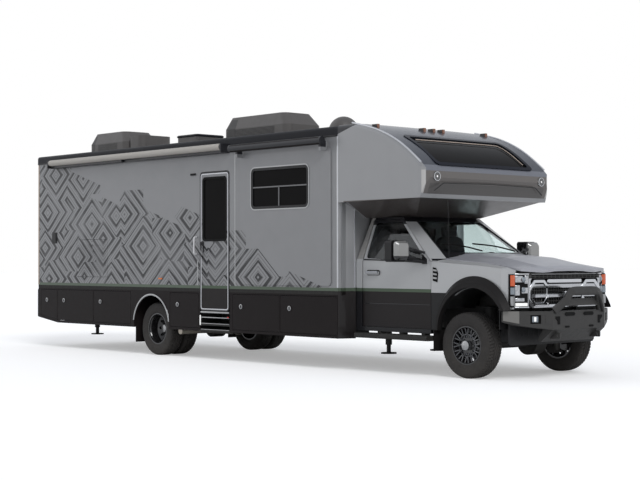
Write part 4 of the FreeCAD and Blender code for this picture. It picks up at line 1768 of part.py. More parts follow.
def chassis_frame():
    """Ladder frame: channel rails, round cross members, floor sills and cross beams under the coach."""
    rear = COACH_REAR_X + RAIL_REAR_MARGIN
    front = FRONT_AXLE_X + RAIL_FRONT
    low = RAIL_TOP - RAIL_HEIGHT
    rail = box((rear, front), (-RAIL_OUTER, RAIL_WIDTH - RAIL_OUTER), (low, RAIL_TOP))
    rail = rail.cut(box((rear - OVERRUN, front + OVERRUN),
                        (RAIL_WALL - RAIL_OUTER, RAIL_WIDTH - RAIL_OUTER + OVERRUN),
                        (low + RAIL_WALL, RAIL_TOP - RAIL_WALL)))
    beam_low = RAIL_TOP + BODY_SILL_HEIGHT
    sill = box((rear, COACH_FRONT_X), (-RAIL_OUTER, BODY_SILL_WIDTH - RAIL_OUTER), (RAIL_TOP, beam_low))
    solids = both_sides(rail) + both_sides(sill)
    reach = RAIL_OUTER - RAIL_WALL
    level = RAIL_TOP - RAIL_WALL * 2 - CROSS_RADIUS
    span = CROSS_FRONT_X - rear - RAIL_WIDTH
    crossings = [rear + RAIL_WIDTH + span * index / (CROSS_COUNT - 1) for index in range(CROSS_COUNT)]
    for x in crossings + [front - RAIL_WIDTH]:
        solids.append(cylinder(CROSS_RADIUS, point(x, -reach, level), point(x, reach, level)))
    run = COACH_FRONT_X - BEAM_WIDTH * 2 - rear
    for index in range(BEAM_COUNT):
        x = rear + BEAM_WIDTH + run * index / BEAM_COUNT
        solids.append(box((x, x + BEAM_WIDTH), (-BEAM_HALF, BEAM_HALF), (beam_low, FLOOR_LOW)))
    return solids


def engine():
    """Engine as one plain block, with the gearbox behind it."""
    front = FRONT_AXLE_X + ENGINE_FRONT
    half = ENGINE_WIDTH / 2
    block = box((front - ENGINE_LENGTH, front), (-half, half), (ENGINE_LOW, ENGINE_LOW + ENGINE_HEIGHT))
    reach = RAIL_OUTER - RAIL_WALL
    ears = box((front - ENGINE_LENGTH * 2 / 3, front - ENGINE_LENGTH / 3), (-reach, reach),
               (RAIL_TOP - RAIL_HEIGHT / 2, RAIL_TOP - RAIL_WALL * 3))
    start = point(front - ENGINE_LENGTH, 0, GEARBOX_Z)
    gearbox = cylinder(GEARBOX_RADIUS, start - point(GEARBOX_LENGTH, 0, 0), start)
    return [fuse([block, ears, gearbox])]


def axle_yoke(side):
    """Return the yoke at one end of the front axle, open round its knuckle."""
    inner = KNUCKLE_Y - KNUCKLE_RADIUS - YOKE_CLEARANCE
    reach = KNUCKLE_Y + KNUCKLE_RADIUS
    gap = KNUCKLE_HEIGHT / 2 + SEAT_GAP
    low = TYRE_RADIUS - gap
    high = TYRE_RADIUS + gap
    half = YOKE_WIDTH / 2
    block = box((FRONT_AXLE_X - half, FRONT_AXLE_X + half), side_span(side, inner - YOKE_THICK, reach),
                (low - YOKE_THICK, high + YOKE_THICK))
    return block.cut(box((FRONT_AXLE_X - half - OVERRUN, FRONT_AXLE_X + half + OVERRUN),
                         side_span(side, inner, reach + OVERRUN), (low, high)))


def front_axle():
    """Driven front axle: tube with yokes and gear housing, coil springs on the rails, leading arms."""
    inner = KNUCKLE_Y - KNUCKLE_RADIUS - YOKE_CLEARANCE - YOKE_THICK / 2
    x = FRONT_AXLE_X
    z = TYRE_RADIUS
    solids = [cylinder(AXLE_RADIUS, point(x, -inner, z), point(x, inner, z)),
              cylinder(DIFF_RADIUS, point(x, FRONT_DIFF_Y - DIFF_WIDTH / 2, z),
                       point(x, FRONT_DIFF_Y + DIFF_WIDTH / 2, z))]
    for side in (-1, 1):
        solids.append(axle_yoke(side))
        y = side * FRONT_SPRING_Y
        solids.append(cylinder(FRONT_SPRING_RADIUS, point(x, y, z), point(x, y, RAIL_TOP)))
        solids.append(box((x - FRONT_SPRING_RADIUS, x + FRONT_SPRING_RADIUS),
                          side_span(side, RAIL_OUTER, FRONT_SPRING_Y + FRONT_SPRING_RADIUS),
                          (RAIL_TOP - RAIL_WALL * 2, RAIL_TOP)))
        arm_y = side * (RAIL_OUTER - RAIL_WIDTH / 2)
        foot = point(x - ARM_LENGTH, arm_y, RAIL_TOP - RAIL_HEIGHT)
        solids.append(cylinder(ARM_RADIUS, point(x, arm_y, z), foot - point(0, 0, ARM_RADIUS)))
        solids.append(box((foot.x - ARM_RADIUS, foot.x + ARM_RADIUS), (arm_y - ARM_RADIUS, arm_y + ARM_RADIUS),
                          (foot.z - ARM_RADIUS * 2, foot.z)))
    return [fuse(solids)]


def leaf_spring(side):
    """Return one rear leaf spring with its hangers on the rail."""
    x = REAR_AXLE_X
    low = TYRE_RADIUS + AXLE_RADIUS - SPRING_THICK / 4
    high = low + SPRING_RISE
    ys = side_span(side, SPRING_Y - SPRING_WIDTH / 2, SPRING_Y + SPRING_WIDTH / 2)
    ends = [(x - SPRING_HALF_LENGTH, high), (x, low), (x + SPRING_HALF_LENGTH, high)]
    tops = [(pair[0], pair[1] + SPRING_THICK) for pair in ends]
    wire = arch_band(tops, ends, ys[0])
    spring = Part.Face(wire).extrude(point(0, ys[1] - ys[0], 0))
    hangers = []
    half = SPRING_WIDTH / 2
    for end in (-1, 1):
        centre = x + end * (SPRING_HALF_LENGTH - half)
        hangers.append(box((centre - half, centre + half), side_span(side, RAIL_OUTER, SPRING_Y + half),
                           (high, RAIL_TOP - RAIL_WALL * 2)))
    return [spring] + hangers


def rear_axle():
    """Driven rear axle: housing, leaf springs hung on the rails, and the propeller shaft."""
    x = REAR_AXLE_X
    z = TYRE_RADIUS
    end = REAR_OUTER_HALF - DUAL_SPACING / 2 - DISC_THICK - REAR_HUB_DEPTH - SEAT_GAP
    half = DIFF_WIDTH / 2
    shaft = cylinder(SHAFT_RADIUS, point(x, 0, z), point(GEARBOX_REAR_X + SHAFT_RADIUS, 0, GEARBOX_Z))
    beyond = box((GEARBOX_REAR_X - SEAT_GAP, GEARBOX_REAR_X + SHAFT_RADIUS * 2), (-SHAFT_RADIUS, SHAFT_RADIUS),
                 (GEARBOX_Z - SHAFT_RADIUS * 2, GEARBOX_Z + SHAFT_RADIUS * 2))
    solids = [cylinder(AXLE_RADIUS, point(x, -end, z), point(x, end, z)),
              cylinder(DIFF_RADIUS, point(x, -half, z), point(x, half, z)), shaft.cut(beyond)]
    for side in (-1, 1):
        solids += leaf_spring(side)
    return [fuse(solids)]


def knuckle(side):
    """Steering knuckle: upright pivot body, spindle that carries the hub, and its steering arm."""
    x = FRONT_AXLE_X
    z = TYRE_RADIUS
    y = side * KNUCKLE_Y
    half = KNUCKLE_HEIGHT / 2
    end = FRONT_TRACK_HALF + RIM_WIDTH / 2 - FRONT_DISH - DISC_THICK - FRONT_HUB_DEPTH - SEAT_GAP
    body = cylinder(KNUCKLE_RADIUS, point(x, y, z - half), point(x, y, z + half))
    spindle = cylinder(SPINDLE_RADIUS, point(x, y, z), point(x, side * end, z))
    thick = SPINDLE_RADIUS / 2
    arm = box((x - STEER_ARM, x), (y - thick, y + thick), (z - thick, z + thick))
    return [fuse([body, spindle, arm])]


def exhaust():
    """Exhaust on the right: pipe, muffler on its hangers, and a tip that leaves ahead of the rear wheel."""
    y = -RAIL_OUTER - MUFFLER_RADIUS - SEAT_GAP
    front = MUFFLER_X + MUFFLER_LENGTH
    muffler = cylinder(MUFFLER_RADIUS, point(MUFFLER_X, y, EXHAUST_Z), point(front, y, EXHAUST_Z))
    run = MUFFLER_X - EXHAUST_TIP_X
    dip = [MUFFLER_X - run * share for share in EXHAUST_DIP_SHARES]
    tail = pipe([point(MUFFLER_X, y, EXHAUST_Z), point(dip[0], y, EXHAUST_Z), point(dip[1], y, EXHAUST_TIP_Z),
                 point(EXHAUST_TIP_X, y, EXHAUST_TIP_Z), point(EXHAUST_TIP_X, -EXHAUST_TIP_Y, EXHAUST_TIP_Z)],
                EXHAUST_RADIUS, EXHAUST_BEND)
    head = cylinder(EXHAUST_RADIUS, point(front, y, EXHAUST_Z), point(EXHAUST_FRONT_X, y, EXHAUST_Z))
    hangers = [box((x, x + RAIL_WALL * 3), (-RAIL_OUTER, y), (EXHAUST_Z, RAIL_TOP - RAIL_HEIGHT / 2))
               for x in (MUFFLER_X + MUFFLER_RADIUS, front - MUFFLER_RADIUS)]
    return [fuse([muffler, tail, head] + hangers)]


def small_lamps():
    """Clearance lamps and round lamps on the cap, side markers, and tail lamps."""
    body = cap_outside()
    solids = []
    x = COACH_FRONT_X + CLEARANCE_AHEAD
    low = ROOF_TOP - CLEARANCE_DROP
    for y in CLEARANCE_PLACES:
        lamp = box((x - CLEARANCE_LENGTH / 2, x + CLEARANCE_LENGTH / 2),
                   (y - CLEARANCE_WIDTH / 2, y + CLEARANCE_WIDTH / 2),
                   (low, low + CLEARANCE_HEIGHT)).cut(body)
        lamp.translate(point(0, 0, SEAT_GAP))
        solids.append(lamp)
    face = COACH_FRONT_X + CAP_LENGTH
    for side in (-1, 1):
        y = side * CAP_LAMP_Y
        lens = cylinder(CAP_LAMP_RADIUS, point(face - CAP_THICK, y, CAP_LAMP_Z),
                        point(face + CAP_LAMP_REACH, y, CAP_LAMP_Z))
        solids.append(lens.cut(body))
        solids.append(wall_lamp(SIDE_MARKER_X - SIDE_MARKER_LENGTH / 2, SIDE_MARKER_LENGTH,
                                side_span(side, COACH_HALF, COACH_HALF + SIDE_MARKER_REACH),
                                SIDE_MARKER_Z - SIDE_MARKER_HEIGHT / 2, SIDE_MARKER_HEIGHT))
        solids.append(wall_lamp(COACH_REAR_X - REAR_LAMP_REACH, REAR_LAMP_REACH,
                                side_span(side, REAR_LAMP_Y - REAR_LAMP_WIDTH / 2,
                                          REAR_LAMP_Y + REAR_LAMP_WIDTH / 2),
                                REAR_LAMP_LOW, REAR_LAMP_HEIGHT))
    return solids


def wall_lamp(rear, length, ys, low, height):
    """Return one block-shaped lamp."""
    return box((rear, rear + length), ys, (low, low + height))


def cooler(rear, length):
    """Return one roof air conditioner: rounded base with sides that lean in to its top."""
    low = rectangle((rear, -COOLER_HALF), (rear + length, COOLER_HALF))
    lean = COOLER_TAPER / 2
    high = rectangle((rear + lean, -COOLER_HALF + lean), (rear + length - COOLER_TAPER, COOLER_HALF - lean))
    rings = []
    for outline, z in ((low, ROOF_TOP), (low, ROOF_TOP + COOLER_HEIGHT / 2), (high, ROOF_TOP + COOLER_HEIGHT)):
        rings.append(round_path([place(pair, "z", z) for pair in outline], COOLER_RADIUS, True))
    return Part.makeLoft(rings, True, True)


def roof_equipment():
    """Two air conditioners, a vent, a domed skylight and a round antenna dome."""
    solids = [cooler(COACH_REAR_X + REAR_COOLER_MARGIN, REAR_COOLER_LENGTH),
              cooler(COACH_FRONT_X - FRONT_COOLER_BACK, FRONT_COOLER_LENGTH)]
    x = COACH_REAR_X + VENT_MARGIN
    vent = rectangle((x, -VENT_HALF), (x + VENT_LENGTH, VENT_HALF))
    solids.append(prism(vent, "z", (ROOF_TOP, ROOF_TOP + VENT_HEIGHT), WINDOW_RADIUS))
    x = COACH_REAR_X + SKYLIGHT_MARGIN
    light = rectangle((x, -SKYLIGHT_HALF), (x + SKYLIGHT_LENGTH, SKYLIGHT_HALF))
    solids.append(prism(light, "z", (ROOF_TOP, ROOF_TOP + SKYLIGHT_HEIGHT), COOLER_RADIUS))
    x = COACH_REAR_X + DOME_MARGIN
    base = ROOF_TOP + DOME_HEIGHT - DOME_RADIUS
    dome = Part.makeSphere(DOME_RADIUS, point(x, 0, base))
    keep = box((x - DOME_RADIUS, x + DOME_RADIUS), (-DOME_RADIUS, DOME_RADIUS), (base, ROOF_TOP + DOME_HEIGHT))
    foot = cylinder(DOME_RADIUS, point(x, 0, ROOF_TOP), point(x, 0, base))
    solids.append(fuse([dome.common(keep), foot]))
    return solids


def side_steps():
    """Running boards on their brackets, and the entry step well with its stowed treads."""
    board = prism(rectangle((BOARD_INNER, BOARD_LOW), (BOARD_INNER + BOARD_REACH, BOARD_LOW + BOARD_HEIGHT)),
                  "x",
                  (BOARD_REAR_X, BOARD_REAR_X + BOARD_LENGTH), BOARD_HEIGHT / 3)
    pieces = [board]
    pitch = (BOARD_LENGTH - BOARD_BRACKET_WIDTH * 2) / BOARD_BRACKET_COUNT
    for index in range(BOARD_BRACKET_COUNT):
        x = BOARD_REAR_X + BOARD_BRACKET_WIDTH + pitch * (index + 1 / 2)
        pieces.append(box((x, x + BOARD_BRACKET_WIDTH), (CAB_HALF - CAB_SILL_WIDTH, BOARD_INNER + OVERRUN),
                          (BOARD_LOW + BOARD_HEIGHT / 2, CAB_SILL_LOW)))
    board = fuse(pieces)
    xs = (ENTRY_REAR_X - PANEL_GAP, ENTRY_FRONT_X + PANEL_GAP)
    wall = BAY_PANEL
    outer = -COACH_HALF
    skirt_inner = outer + SKIRT_THICK
    well = box((xs[0] - wall, xs[1] + wall), (skirt_inner, outer + STEP_WELL_DEPTH + wall),
               (STEP_WELL_LOW, FLOOR_LOW))
    well = well.cut(box(xs, (outer - OVERRUN, outer + STEP_WELL_DEPTH),
                        (STEP_WELL_LOW + wall, FLOOR_LOW + OVERRUN)))
    treads = []
    for index in range(STEP_COUNT):
        z = STEP_WELL_LOW + wall + STEP_PITCH * index
        treads.append(box(xs, (outer, outer + STEP_TREAD_DEPTH), (z, z + STEP_TREAD_THICK)))
    sill_z = ENTRY_LOW - PANEL_GAP - STEP_TREAD_THICK
    treads.append(box(xs, (outer, outer + STEP_TREAD_DEPTH), (sill_z, sill_z + STEP_TREAD_THICK)))
    return both_sides(board) + [fuse([well] + treads)]


def levelling_jacks():
    """Four levelling jacks on the rails, drawn up: tube, rod and round pad."""
    solids = []
    y = RAIL_OUTER + JACK_BRACKET + JACK_RADIUS
    for x in JACK_STATIONS:
        pieces = [cylinder(JACK_RADIUS, point(x, y, JACK_TUBE_LOW), point(x, y, RAIL_TOP)),
                  cylinder(JACK_ROD_RADIUS, point(x, y, JACK_LOW), point(x, y, JACK_TUBE_LOW)),
                  cylinder(JACK_PAD_RADIUS, point(x, y, JACK_LOW), point(x, y, JACK_LOW + JACK_PAD_THICK)),
                  box((x - JACK_RADIUS, x + JACK_RADIUS), (RAIL_OUTER, y), (RAIL_TOP - RAIL_HEIGHT, RAIL_TOP))]
        solids += both_sides(fuse(pieces))
    return solids


def dashboard():
    """Dashboard across the cab, with the steering column and wheel on the left."""
    x = CAB_FRONT_X - CAB_WALL
    half = CAB_HALF - CAB_WALL - DASH_MARGIN
    outline = [(x - DASH_DEPTH, DASH_TOP - DASH_DEPTH / 3), (x - DASH_DEPTH * 2 / 3, DASH_TOP), (x, DASH_TOP),
               (x, DASH_LOW), (x - DASH_DEPTH / 2, DASH_LOW)]
    board = prism(outline, "y", (-half, half))
    tilt = math.radians(STEERING_TILT)
    along = point(-math.cos(tilt), 0, math.sin(tilt))
    centre = point(STEERING_X, STEERING_Y, STEERING_Z)
    wheel = Part.makeTorus(STEERING_RADIUS, STEERING_GRIP, centre, along)
    column = cylinder(STEERING_COLUMN_RADIUS, centre, centre - along * (x - DASH_DEPTH / 2 - STEERING_X))
    across = axis_vector("y")
    spokes = [cylinder(STEERING_GRIP / 2, centre, centre + across * (side * STEERING_RADIUS)) for side in (-1,
                                                                                                           1)]
    spokes.append(cylinder(STEERING_GRIP / 2, centre,
                           centre - along.cross(across).normalize() * STEERING_RADIUS))
    return [fuse([board, column, wheel] + spokes)]


def seat(side):
    """Return one cab seat: pedestal, cushion, leaning back and headrest, joined in one solid."""
    y = side * SEAT_Y
    half = SEAT_WIDTH / 2
    base = box((SEAT_X + SEAT_BASE_INSET, SEAT_X + SEAT_LENGTH - SEAT_BASE_INSET),
               (y - half + SEAT_BASE_INSET, y + half - SEAT_BASE_INSET),
               (CAB_FLOOR + CAB_WALL, SEAT_PAN_LOW + SEAT_PAN_THICK / 2))
    pan = prism(rectangle((SEAT_X, SEAT_PAN_LOW), (SEAT_X + SEAT_LENGTH, SEAT_PAN_LOW + SEAT_PAN_THICK)), "y",
                (y - half, y + half), SEAT_RADIUS)
    low = SEAT_PAN_LOW + SEAT_PAN_THICK / 2
    high = SEAT_PAN_LOW + SEAT_PAN_THICK + SEAT_BACK_HEIGHT
    outline = [(SEAT_X, low), (SEAT_X + SEAT_BACK_THICK, low),
               (SEAT_X + SEAT_BACK_THICK - SEAT_BACK_LEAN, high),
               (SEAT_X - SEAT_BACK_LEAN, high)]
    back = prism(outline, "y", (y - half, y + half), SEAT_RADIUS)
    rest_x = SEAT_X - SEAT_BACK_LEAN
    rest = prism(rectangle((rest_x, high - SEAT_RADIUS), (rest_x + HEADREST_THICK, high + HEADREST_HEIGHT)),
                 "y",
                 (y - HEADREST_WIDTH / 2, y + HEADREST_WIDTH / 2), SEAT_RADIUS / 2)
    return fuse([base, pan, back, rest])


def seats():
    """Driver's and passenger's seats."""
    return both_sides(seat(1))


def write_parts():
    """Write every sub-part of the motorhome."""
    save("chassis_frame", chassis_frame())
    save("engine", engine())
    save("front_axle", front_axle())
    save("rear_axle", rear_axle())
    save("exhaust", exhaust())
    save("coach_floor", coach_floor())
    save("side_walls", side_walls())
    save("rear_wall", rear_wall())
    save("roof", roof())
    save("front_cap", front_cap())
    save("coach_glass", coach_glass())
    save("skirts", skirts())
    save("rear_bumper", rear_bumper())
    save("cab_shell", cab_shell())
    save("windshield", windshield())
    save("fenders", fenders())
    save("fender_flares", fender_flares())
    save("grille", grille())
    save("headlamps", headlamps())
    save("small_lamps", small_lamps())
    save("front_bumper", front_bumper())
    save("dashboard", dashboard())
    save("seats", seats())
    save("side_steps", side_steps())
    save("awning", awning())
    save("roof_equipment", roof_equipment())
    save("levelling_jacks", levelling_jacks())
    save("hood", hood())
    save("entry_door", entry_door())
    save("entry_glass", entry_glass())
    save("slide_room", slide_room())
    save("slide_glass", slide_glass())
    save("hatch_door", hatch_door())
    for side, label in ((-1, "right"), (1, "left")):
        save("knuckle_" + label, knuckle(side))
        rims, tyres = front_wheel(side)
        save("rim_front_" + label, rims)
        save("tyre_front_" + label, tyres)
        rims, tyres = rear_wheels(side)
        save("rims_rear_" + label, rims)
        save("tyres_rear_" + label, tyres)
        save("cab_door_" + label, cab_door(side))
        save("cab_door_glass_" + label, cab_door_glass(side))
    for side, label, offsets, widths in ((-1, "right", RIGHT_BAY_OFFSETS, RIGHT_BAY_WIDTHS),
                                         (1, "left", LEFT_BAY_OFFSETS, LEFT_BAY_WIDTHS)):
        for index, (offset, width) in enumerate(zip(offsets, widths)):
            save("bay_door_" + label + "_" + str(index + 1), bay_door(side, offset, width))


if __name__ == "__main__":
    os.makedirs("parts", exist_ok=True)
    write_parts()
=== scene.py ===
"""Looks of a motorhome on a heavy pickup chassis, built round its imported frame.

Metres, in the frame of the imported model: X points forward, Y to the left, Z up. Every class below is one
sub-assembly of the vehicle: its sizes are its fields, and its methods shape and dress its pieces.
"""

import json
import logging
import math
from dataclasses import dataclass
from enum import Enum
from typing import Any, Iterable, Sequence

import bmesh
import bpy
import numpy as np
from mathutils import Matrix, Vector

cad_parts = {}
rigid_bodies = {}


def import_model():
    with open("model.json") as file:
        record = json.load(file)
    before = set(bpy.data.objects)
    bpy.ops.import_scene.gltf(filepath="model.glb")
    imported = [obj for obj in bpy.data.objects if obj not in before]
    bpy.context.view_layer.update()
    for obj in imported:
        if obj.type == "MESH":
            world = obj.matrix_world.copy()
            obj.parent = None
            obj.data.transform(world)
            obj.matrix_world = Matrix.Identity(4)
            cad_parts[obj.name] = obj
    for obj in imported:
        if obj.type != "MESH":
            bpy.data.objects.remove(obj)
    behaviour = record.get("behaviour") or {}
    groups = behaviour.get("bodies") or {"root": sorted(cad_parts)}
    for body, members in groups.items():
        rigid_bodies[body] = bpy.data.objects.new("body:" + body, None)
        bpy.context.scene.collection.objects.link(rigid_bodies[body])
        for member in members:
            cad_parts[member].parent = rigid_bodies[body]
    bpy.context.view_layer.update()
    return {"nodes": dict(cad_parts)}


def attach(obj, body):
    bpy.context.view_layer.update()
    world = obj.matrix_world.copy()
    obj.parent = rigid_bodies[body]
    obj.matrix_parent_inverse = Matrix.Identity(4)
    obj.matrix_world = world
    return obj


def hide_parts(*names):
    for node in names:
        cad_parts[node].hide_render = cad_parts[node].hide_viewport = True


LOG = logging.getLogger("motorhome")
ROOT = "coach"
Array = np.ndarray
Pair = tuple[float, float]
Triple = tuple[float, float, float]
Corners = tuple[Pair, Pair]
Plate = tuple[float, float, float, float]


@dataclass(frozen=True)
class Side:
    """One side of the vehicle: its sign along Y and its name."""

    sign: int
    label: str


SIDES = (Side(-1, "right"), Side(1, "left"))


class Weave(Enum):
    """Kinds of fine relief that a finish can carry."""

    NONE = "none"
    GRAIN = "grain"
    CLOTH = "cloth"
    MESH = "mesh"


@dataclass(frozen=True)
class Zone:
    """A box-shaped region, alike on both sides, that is painted another colour."""

    low: float
    high: float
    colour: Triple
    inner: float = -1.0
    outer: float = 9.0
    rear: float = -9.0
    front: float = 9.0
    slope: float = 0.0
    lean: float = 0.0


@dataclass(frozen=True)
class Finish:
    """One surface finish: colour, gloss, variation, relief and painted bands."""

    name: str
    colour: Triple
    rough: float = 0.4
    metal: float = 0.0
    coat: float = 0.0
    mottle: float = 0.06
    mottle_scale: float = 6.0
    weave: Weave = Weave.NONE
    weave_scale: float = 400.0
    relief: float = 0.0
    see_through: float = 0.0
    glow: float = 0.0
    dust: float = 0.0
    specular: float = 0.5
    zones: tuple[Zone, ...] = ()
    graphic: bool = False

    def material(self) -> bpy.types.Material:
        """Build the finish once and return its material, which every piece with the finish shares."""
        name = "look_" + self.name
        known = bpy.data.materials.get(name)
        if known:
            return known
        made = bpy.data.materials.new(name)
        made.use_nodes = True
        Shading(made, self).build()
        return made


def set_inputs(node: bpy.types.Node, inputs: dict[Any, Any]) -> None:
    """Set a node's inputs, by name or number: a socket is linked, and any other value is written."""
    for key, value in inputs.items():
        if isinstance(value, bpy.types.NodeSocket):
            node.id_data.links.new(value, node.inputs[key])
        else:
            node.inputs[key].default_value = value


def add_node(tree: bpy.types.NodeTree, kind: str, inputs: dict[Any, Any], **fields: Any) -> bpy.types.Node:
    """Add one shader node.

    Args:
        tree: The material's or world's nodes.
        kind: The node's type, without its prefix.
        inputs: Input name or number to a value or a socket.
        **fields: Attributes of the node.

    Returns:
        The new node.
    """
    made = tree.nodes.new("ShaderNode" + kind)
    for key, value in fields.items():
        setattr(made, key, value)
    set_inputs(made, inputs)
    return made


@dataclass(frozen=True)
class Graphic:
    """Measures of the side graphic: cells of nested diamonds that thin out forwards and upwards."""

    ink: tuple[float, ...] = (0.016, 0.016, 0.018, 1.0)
    round_corner: float = 0.85
    cells: float = 1.45
    scatter: float = 0.95
    rings: float = 3.7
    bold_drift: Pair = (0.50, 0.05)
    fine_rings: float = 3.0
    fine_width: float = 0.3
    fine_strength: float = 0.5
    fade: Pair = (2.2, -0.12)
    strongest: float = 0.97
    forward_fall: float = 0.30
    ragged: float = 0.8
    top: float = 2.20


class Shading:
    """Writes a finish's nodes into a material."""

    dust_colour = (0.23, 0.20, 0.165, 1.0)
    dust_levels = (0.95, 0.1)
    coat_rough = 0.04
    relief_depth = 0.001

    def __init__(self, material: bpy.types.Material, finish: Finish) -> None:
        """Keep the material's tree, its shader and the object's coordinates."""
        self.tree = material.node_tree
        self.finish = finish
        self.shader = self.tree.nodes["Principled BSDF"]
        self.place = self.tree.nodes.new("ShaderNodeTexCoord").outputs["Object"]

    def node(self, kind: str, inputs: dict[Any, Any], **fields: Any) -> bpy.types.Node:
        """Add one node to the material."""
        return add_node(self.tree, kind, inputs, **fields)

    def sums(self, operation: str, *values: Any) -> bpy.types.NodeSocket:
        """Return the result of one Math node on its values, each a number or a socket."""
        return self.node("Math", dict(enumerate(values)), operation=operation).outputs[0]

    def blend(self, share: Any, first: Any, second: Any) -> bpy.types.NodeSocket:
        """Return the colour between two colours, by how much of the second shows."""
        return self.node("MixRGB", {0: share, 1: first, 2: second}).outputs[0]

    def noise(self, scale: float, detail: float = 4.0) -> bpy.types.NodeSocket:
        """Return a noise over the object's own coordinates, of so many cells to the metre and octaves."""
        return self.node("TexNoise", {"Vector": self.place, "Scale": scale, "Detail": detail}).outputs[0]

    def build(self) -> None:
        """Write colour, gloss and relief."""
        finish = self.finish
        dark = tuple(part * (1.0 - finish.mottle) for part in finish.colour) + (1.0,)
        light = tuple(min(part * (1.0 + finish.mottle), 1.0) for part in finish.colour) + (1.0,)
        colour = self.blend(self.noise(finish.mottle_scale), dark, light)
        axes = self.node("SeparateXYZ", {0: self.place})
        if finish.graphic:
            colour = self.blend(self.graphic_lines(axes, Graphic()), colour, Graphic.ink)
        for zone in finish.zones:
            colour = self.blend(self.inside(zone, axes), colour, zone.colour + (1.0,))
        if finish.dust:
            top, foot = self.dust_levels
            limits = {0: axes.outputs[2], 1: top, 2: foot, 3: 0.0, 4: finish.dust}
            fade = self.node("MapRange", limits).outputs[0]
            colour = self.blend(self.sums("MULTIPLY", fade, self.noise(9.0, 6.0)), colour, self.dust_colour)
        gloss = self.node("MapRange", {0: self.noise(finish.mottle_scale * 3.0), 3: finish.rough * 0.8,
                                       4: min(finish.rough * 1.25, 1.0)}).outputs[0]
        set_inputs(self.shader, {
            "Base Color": colour, "Roughness": gloss, "Metallic": finish.metal, "Coat Weight": finish.coat,
            "Coat Roughness": self.coat_rough, "Specular IOR Level": finish.specular,
            "Transmission Weight": finish.see_through})
        if finish.glow:
            set_inputs(self.shader, {"Emission Color": finish.colour + (1.0,),
                                     "Emission Strength": finish.glow})
        if finish.relief:
            self.relief()

    def inside(self, zone: Zone, axes: bpy.types.Node) -> bpy.types.NodeSocket:
        """Return where a zone lies: the product of its limits, each 1 on the zone's side and 0 off it.

        The lower limit rises along the vehicle by the zone's slope, from where the zone starts, and the inner
        limit moves in by the zone's lean with height.

        Args:
            zone: The region.
            axes: The split coordinates.

        Returns:
            A socket that is 1 inside the zone and 0 outside.
        """
        along, height = axes.outputs[0], axes.outputs[2]
        level, start = height, zone.low
        if zone.slope:
            level = self.sums("MULTIPLY_ADD", along, -zone.slope, height)
            start = zone.low - zone.slope * zone.rear
        leant = across = self.sums("ABSOLUTE", axes.outputs[1])
        if zone.lean:
            leant = self.sums("MULTIPLY_ADD", height, zone.lean, across)
        inner = zone.inner + zone.lean * zone.low
        share = self.sums("MULTIPLY", self.sums("GREATER_THAN", level, start),
                          self.sums("LESS_THAN", height, zone.high))
        limits = (("GREATER_THAN", along, zone.rear, Zone.rear), ("LESS_THAN", along, zone.front, Zone.front),
                  ("GREATER_THAN", leant, inner, Zone.inner), ("LESS_THAN", across, zone.outer, Zone.outer))
        for operation, value, limit, idle in limits:
            if limit != idle:
                share = self.sums("MULTIPLY", share, self.sums(operation, value, limit))
        return share

    def graphic_lines(self, axes: bpy.types.Node, graphic: Graphic) -> bpy.types.NodeSocket:
        """Return how strongly the side graphic covers the wall.

        The way from a cell's middle, measured as |x| + |z|, is cut into rings, so each cell shows nested
        diamonds: a bold line to every ring and fine ones between. Cells drop out towards the front and the
        top, and the lines' weight drifts from place to place. X and Y are added, so that the graphic carries
        on round the corner.

        Args:
            axes: The split coordinates.
            graphic: The graphic's measures.

        Returns:
            A socket from 0 off the lines to nearly 1 on them.
        """
        along, height = axes.outputs[0], axes.outputs[2]
        wrapped = self.sums("MULTIPLY", self.sums("ADD", along, axes.outputs[1]), graphic.round_corner)
        plane = self.node("CombineXYZ", {0: wrapped, 1: height}).outputs[0]
        inputs = {"Vector": plane, "Scale": graphic.cells, "Randomness": graphic.scatter}
        cell = self.node("TexVoronoi", inputs, voronoi_dimensions="2D", distance="MANHATTAN")
        chance = self.node("SeparateXYZ", {0: cell.outputs["Color"]}).outputs
        away = self.sums("MULTIPLY_ADD", cell.outputs["Distance"], graphic.rings, chance[1])
        rings = self.sums("FRACT", away)
        width = self.sums("MULTIPLY_ADD", self.noise(2.3, 1.0), *graphic.bold_drift)
        bold = self.sums("LESS_THAN", rings, width)
        inner_rings = self.sums("FRACT", self.sums("MULTIPLY", rings, graphic.fine_rings))
        fine = self.sums("LESS_THAN", inner_rings, graphic.fine_width)
        fine = self.sums("MULTIPLY", fine, graphic.fine_strength)
        drift = self.sums("MULTIPLY_ADD", self.noise(1.6, 2.0), *graphic.fade)
        drift = self.sums("MINIMUM", drift, graphic.strongest)
        line = self.sums("MULTIPLY", self.sums("MAXIMUM", bold, fine), drift)
        reach = self.sums("ADD", self.sums("MULTIPLY_ADD", along, graphic.forward_fall, height),
                          self.sums("MULTIPLY", chance[0], graphic.ragged))
        return self.sums("MULTIPLY", line, self.sums("LESS_THAN", reach, graphic.top))

    def relief(self) -> None:
        """Write the fine relief: crossed waves for cloth and mesh, else noise."""
        finish = self.finish
        crossed = {Weave.CLOTH: "XZ", Weave.MESH: "YZ"}.get(finish.weave)
        if crossed:
            inputs = {"Vector": self.place, "Scale": finish.weave_scale}
            waves = [self.node("TexWave", inputs, bands_direction=axis).outputs[1] for axis in crossed]
            height = self.sums("MAXIMUM", *waves)
        else:
            height = self.noise(finish.weave_scale, 3.0)
        inputs = {"Height": height, "Strength": finish.relief, "Distance": self.relief_depth}
        set_inputs(self.shader, {"Normal": self.node("Bump", inputs).outputs[0]})


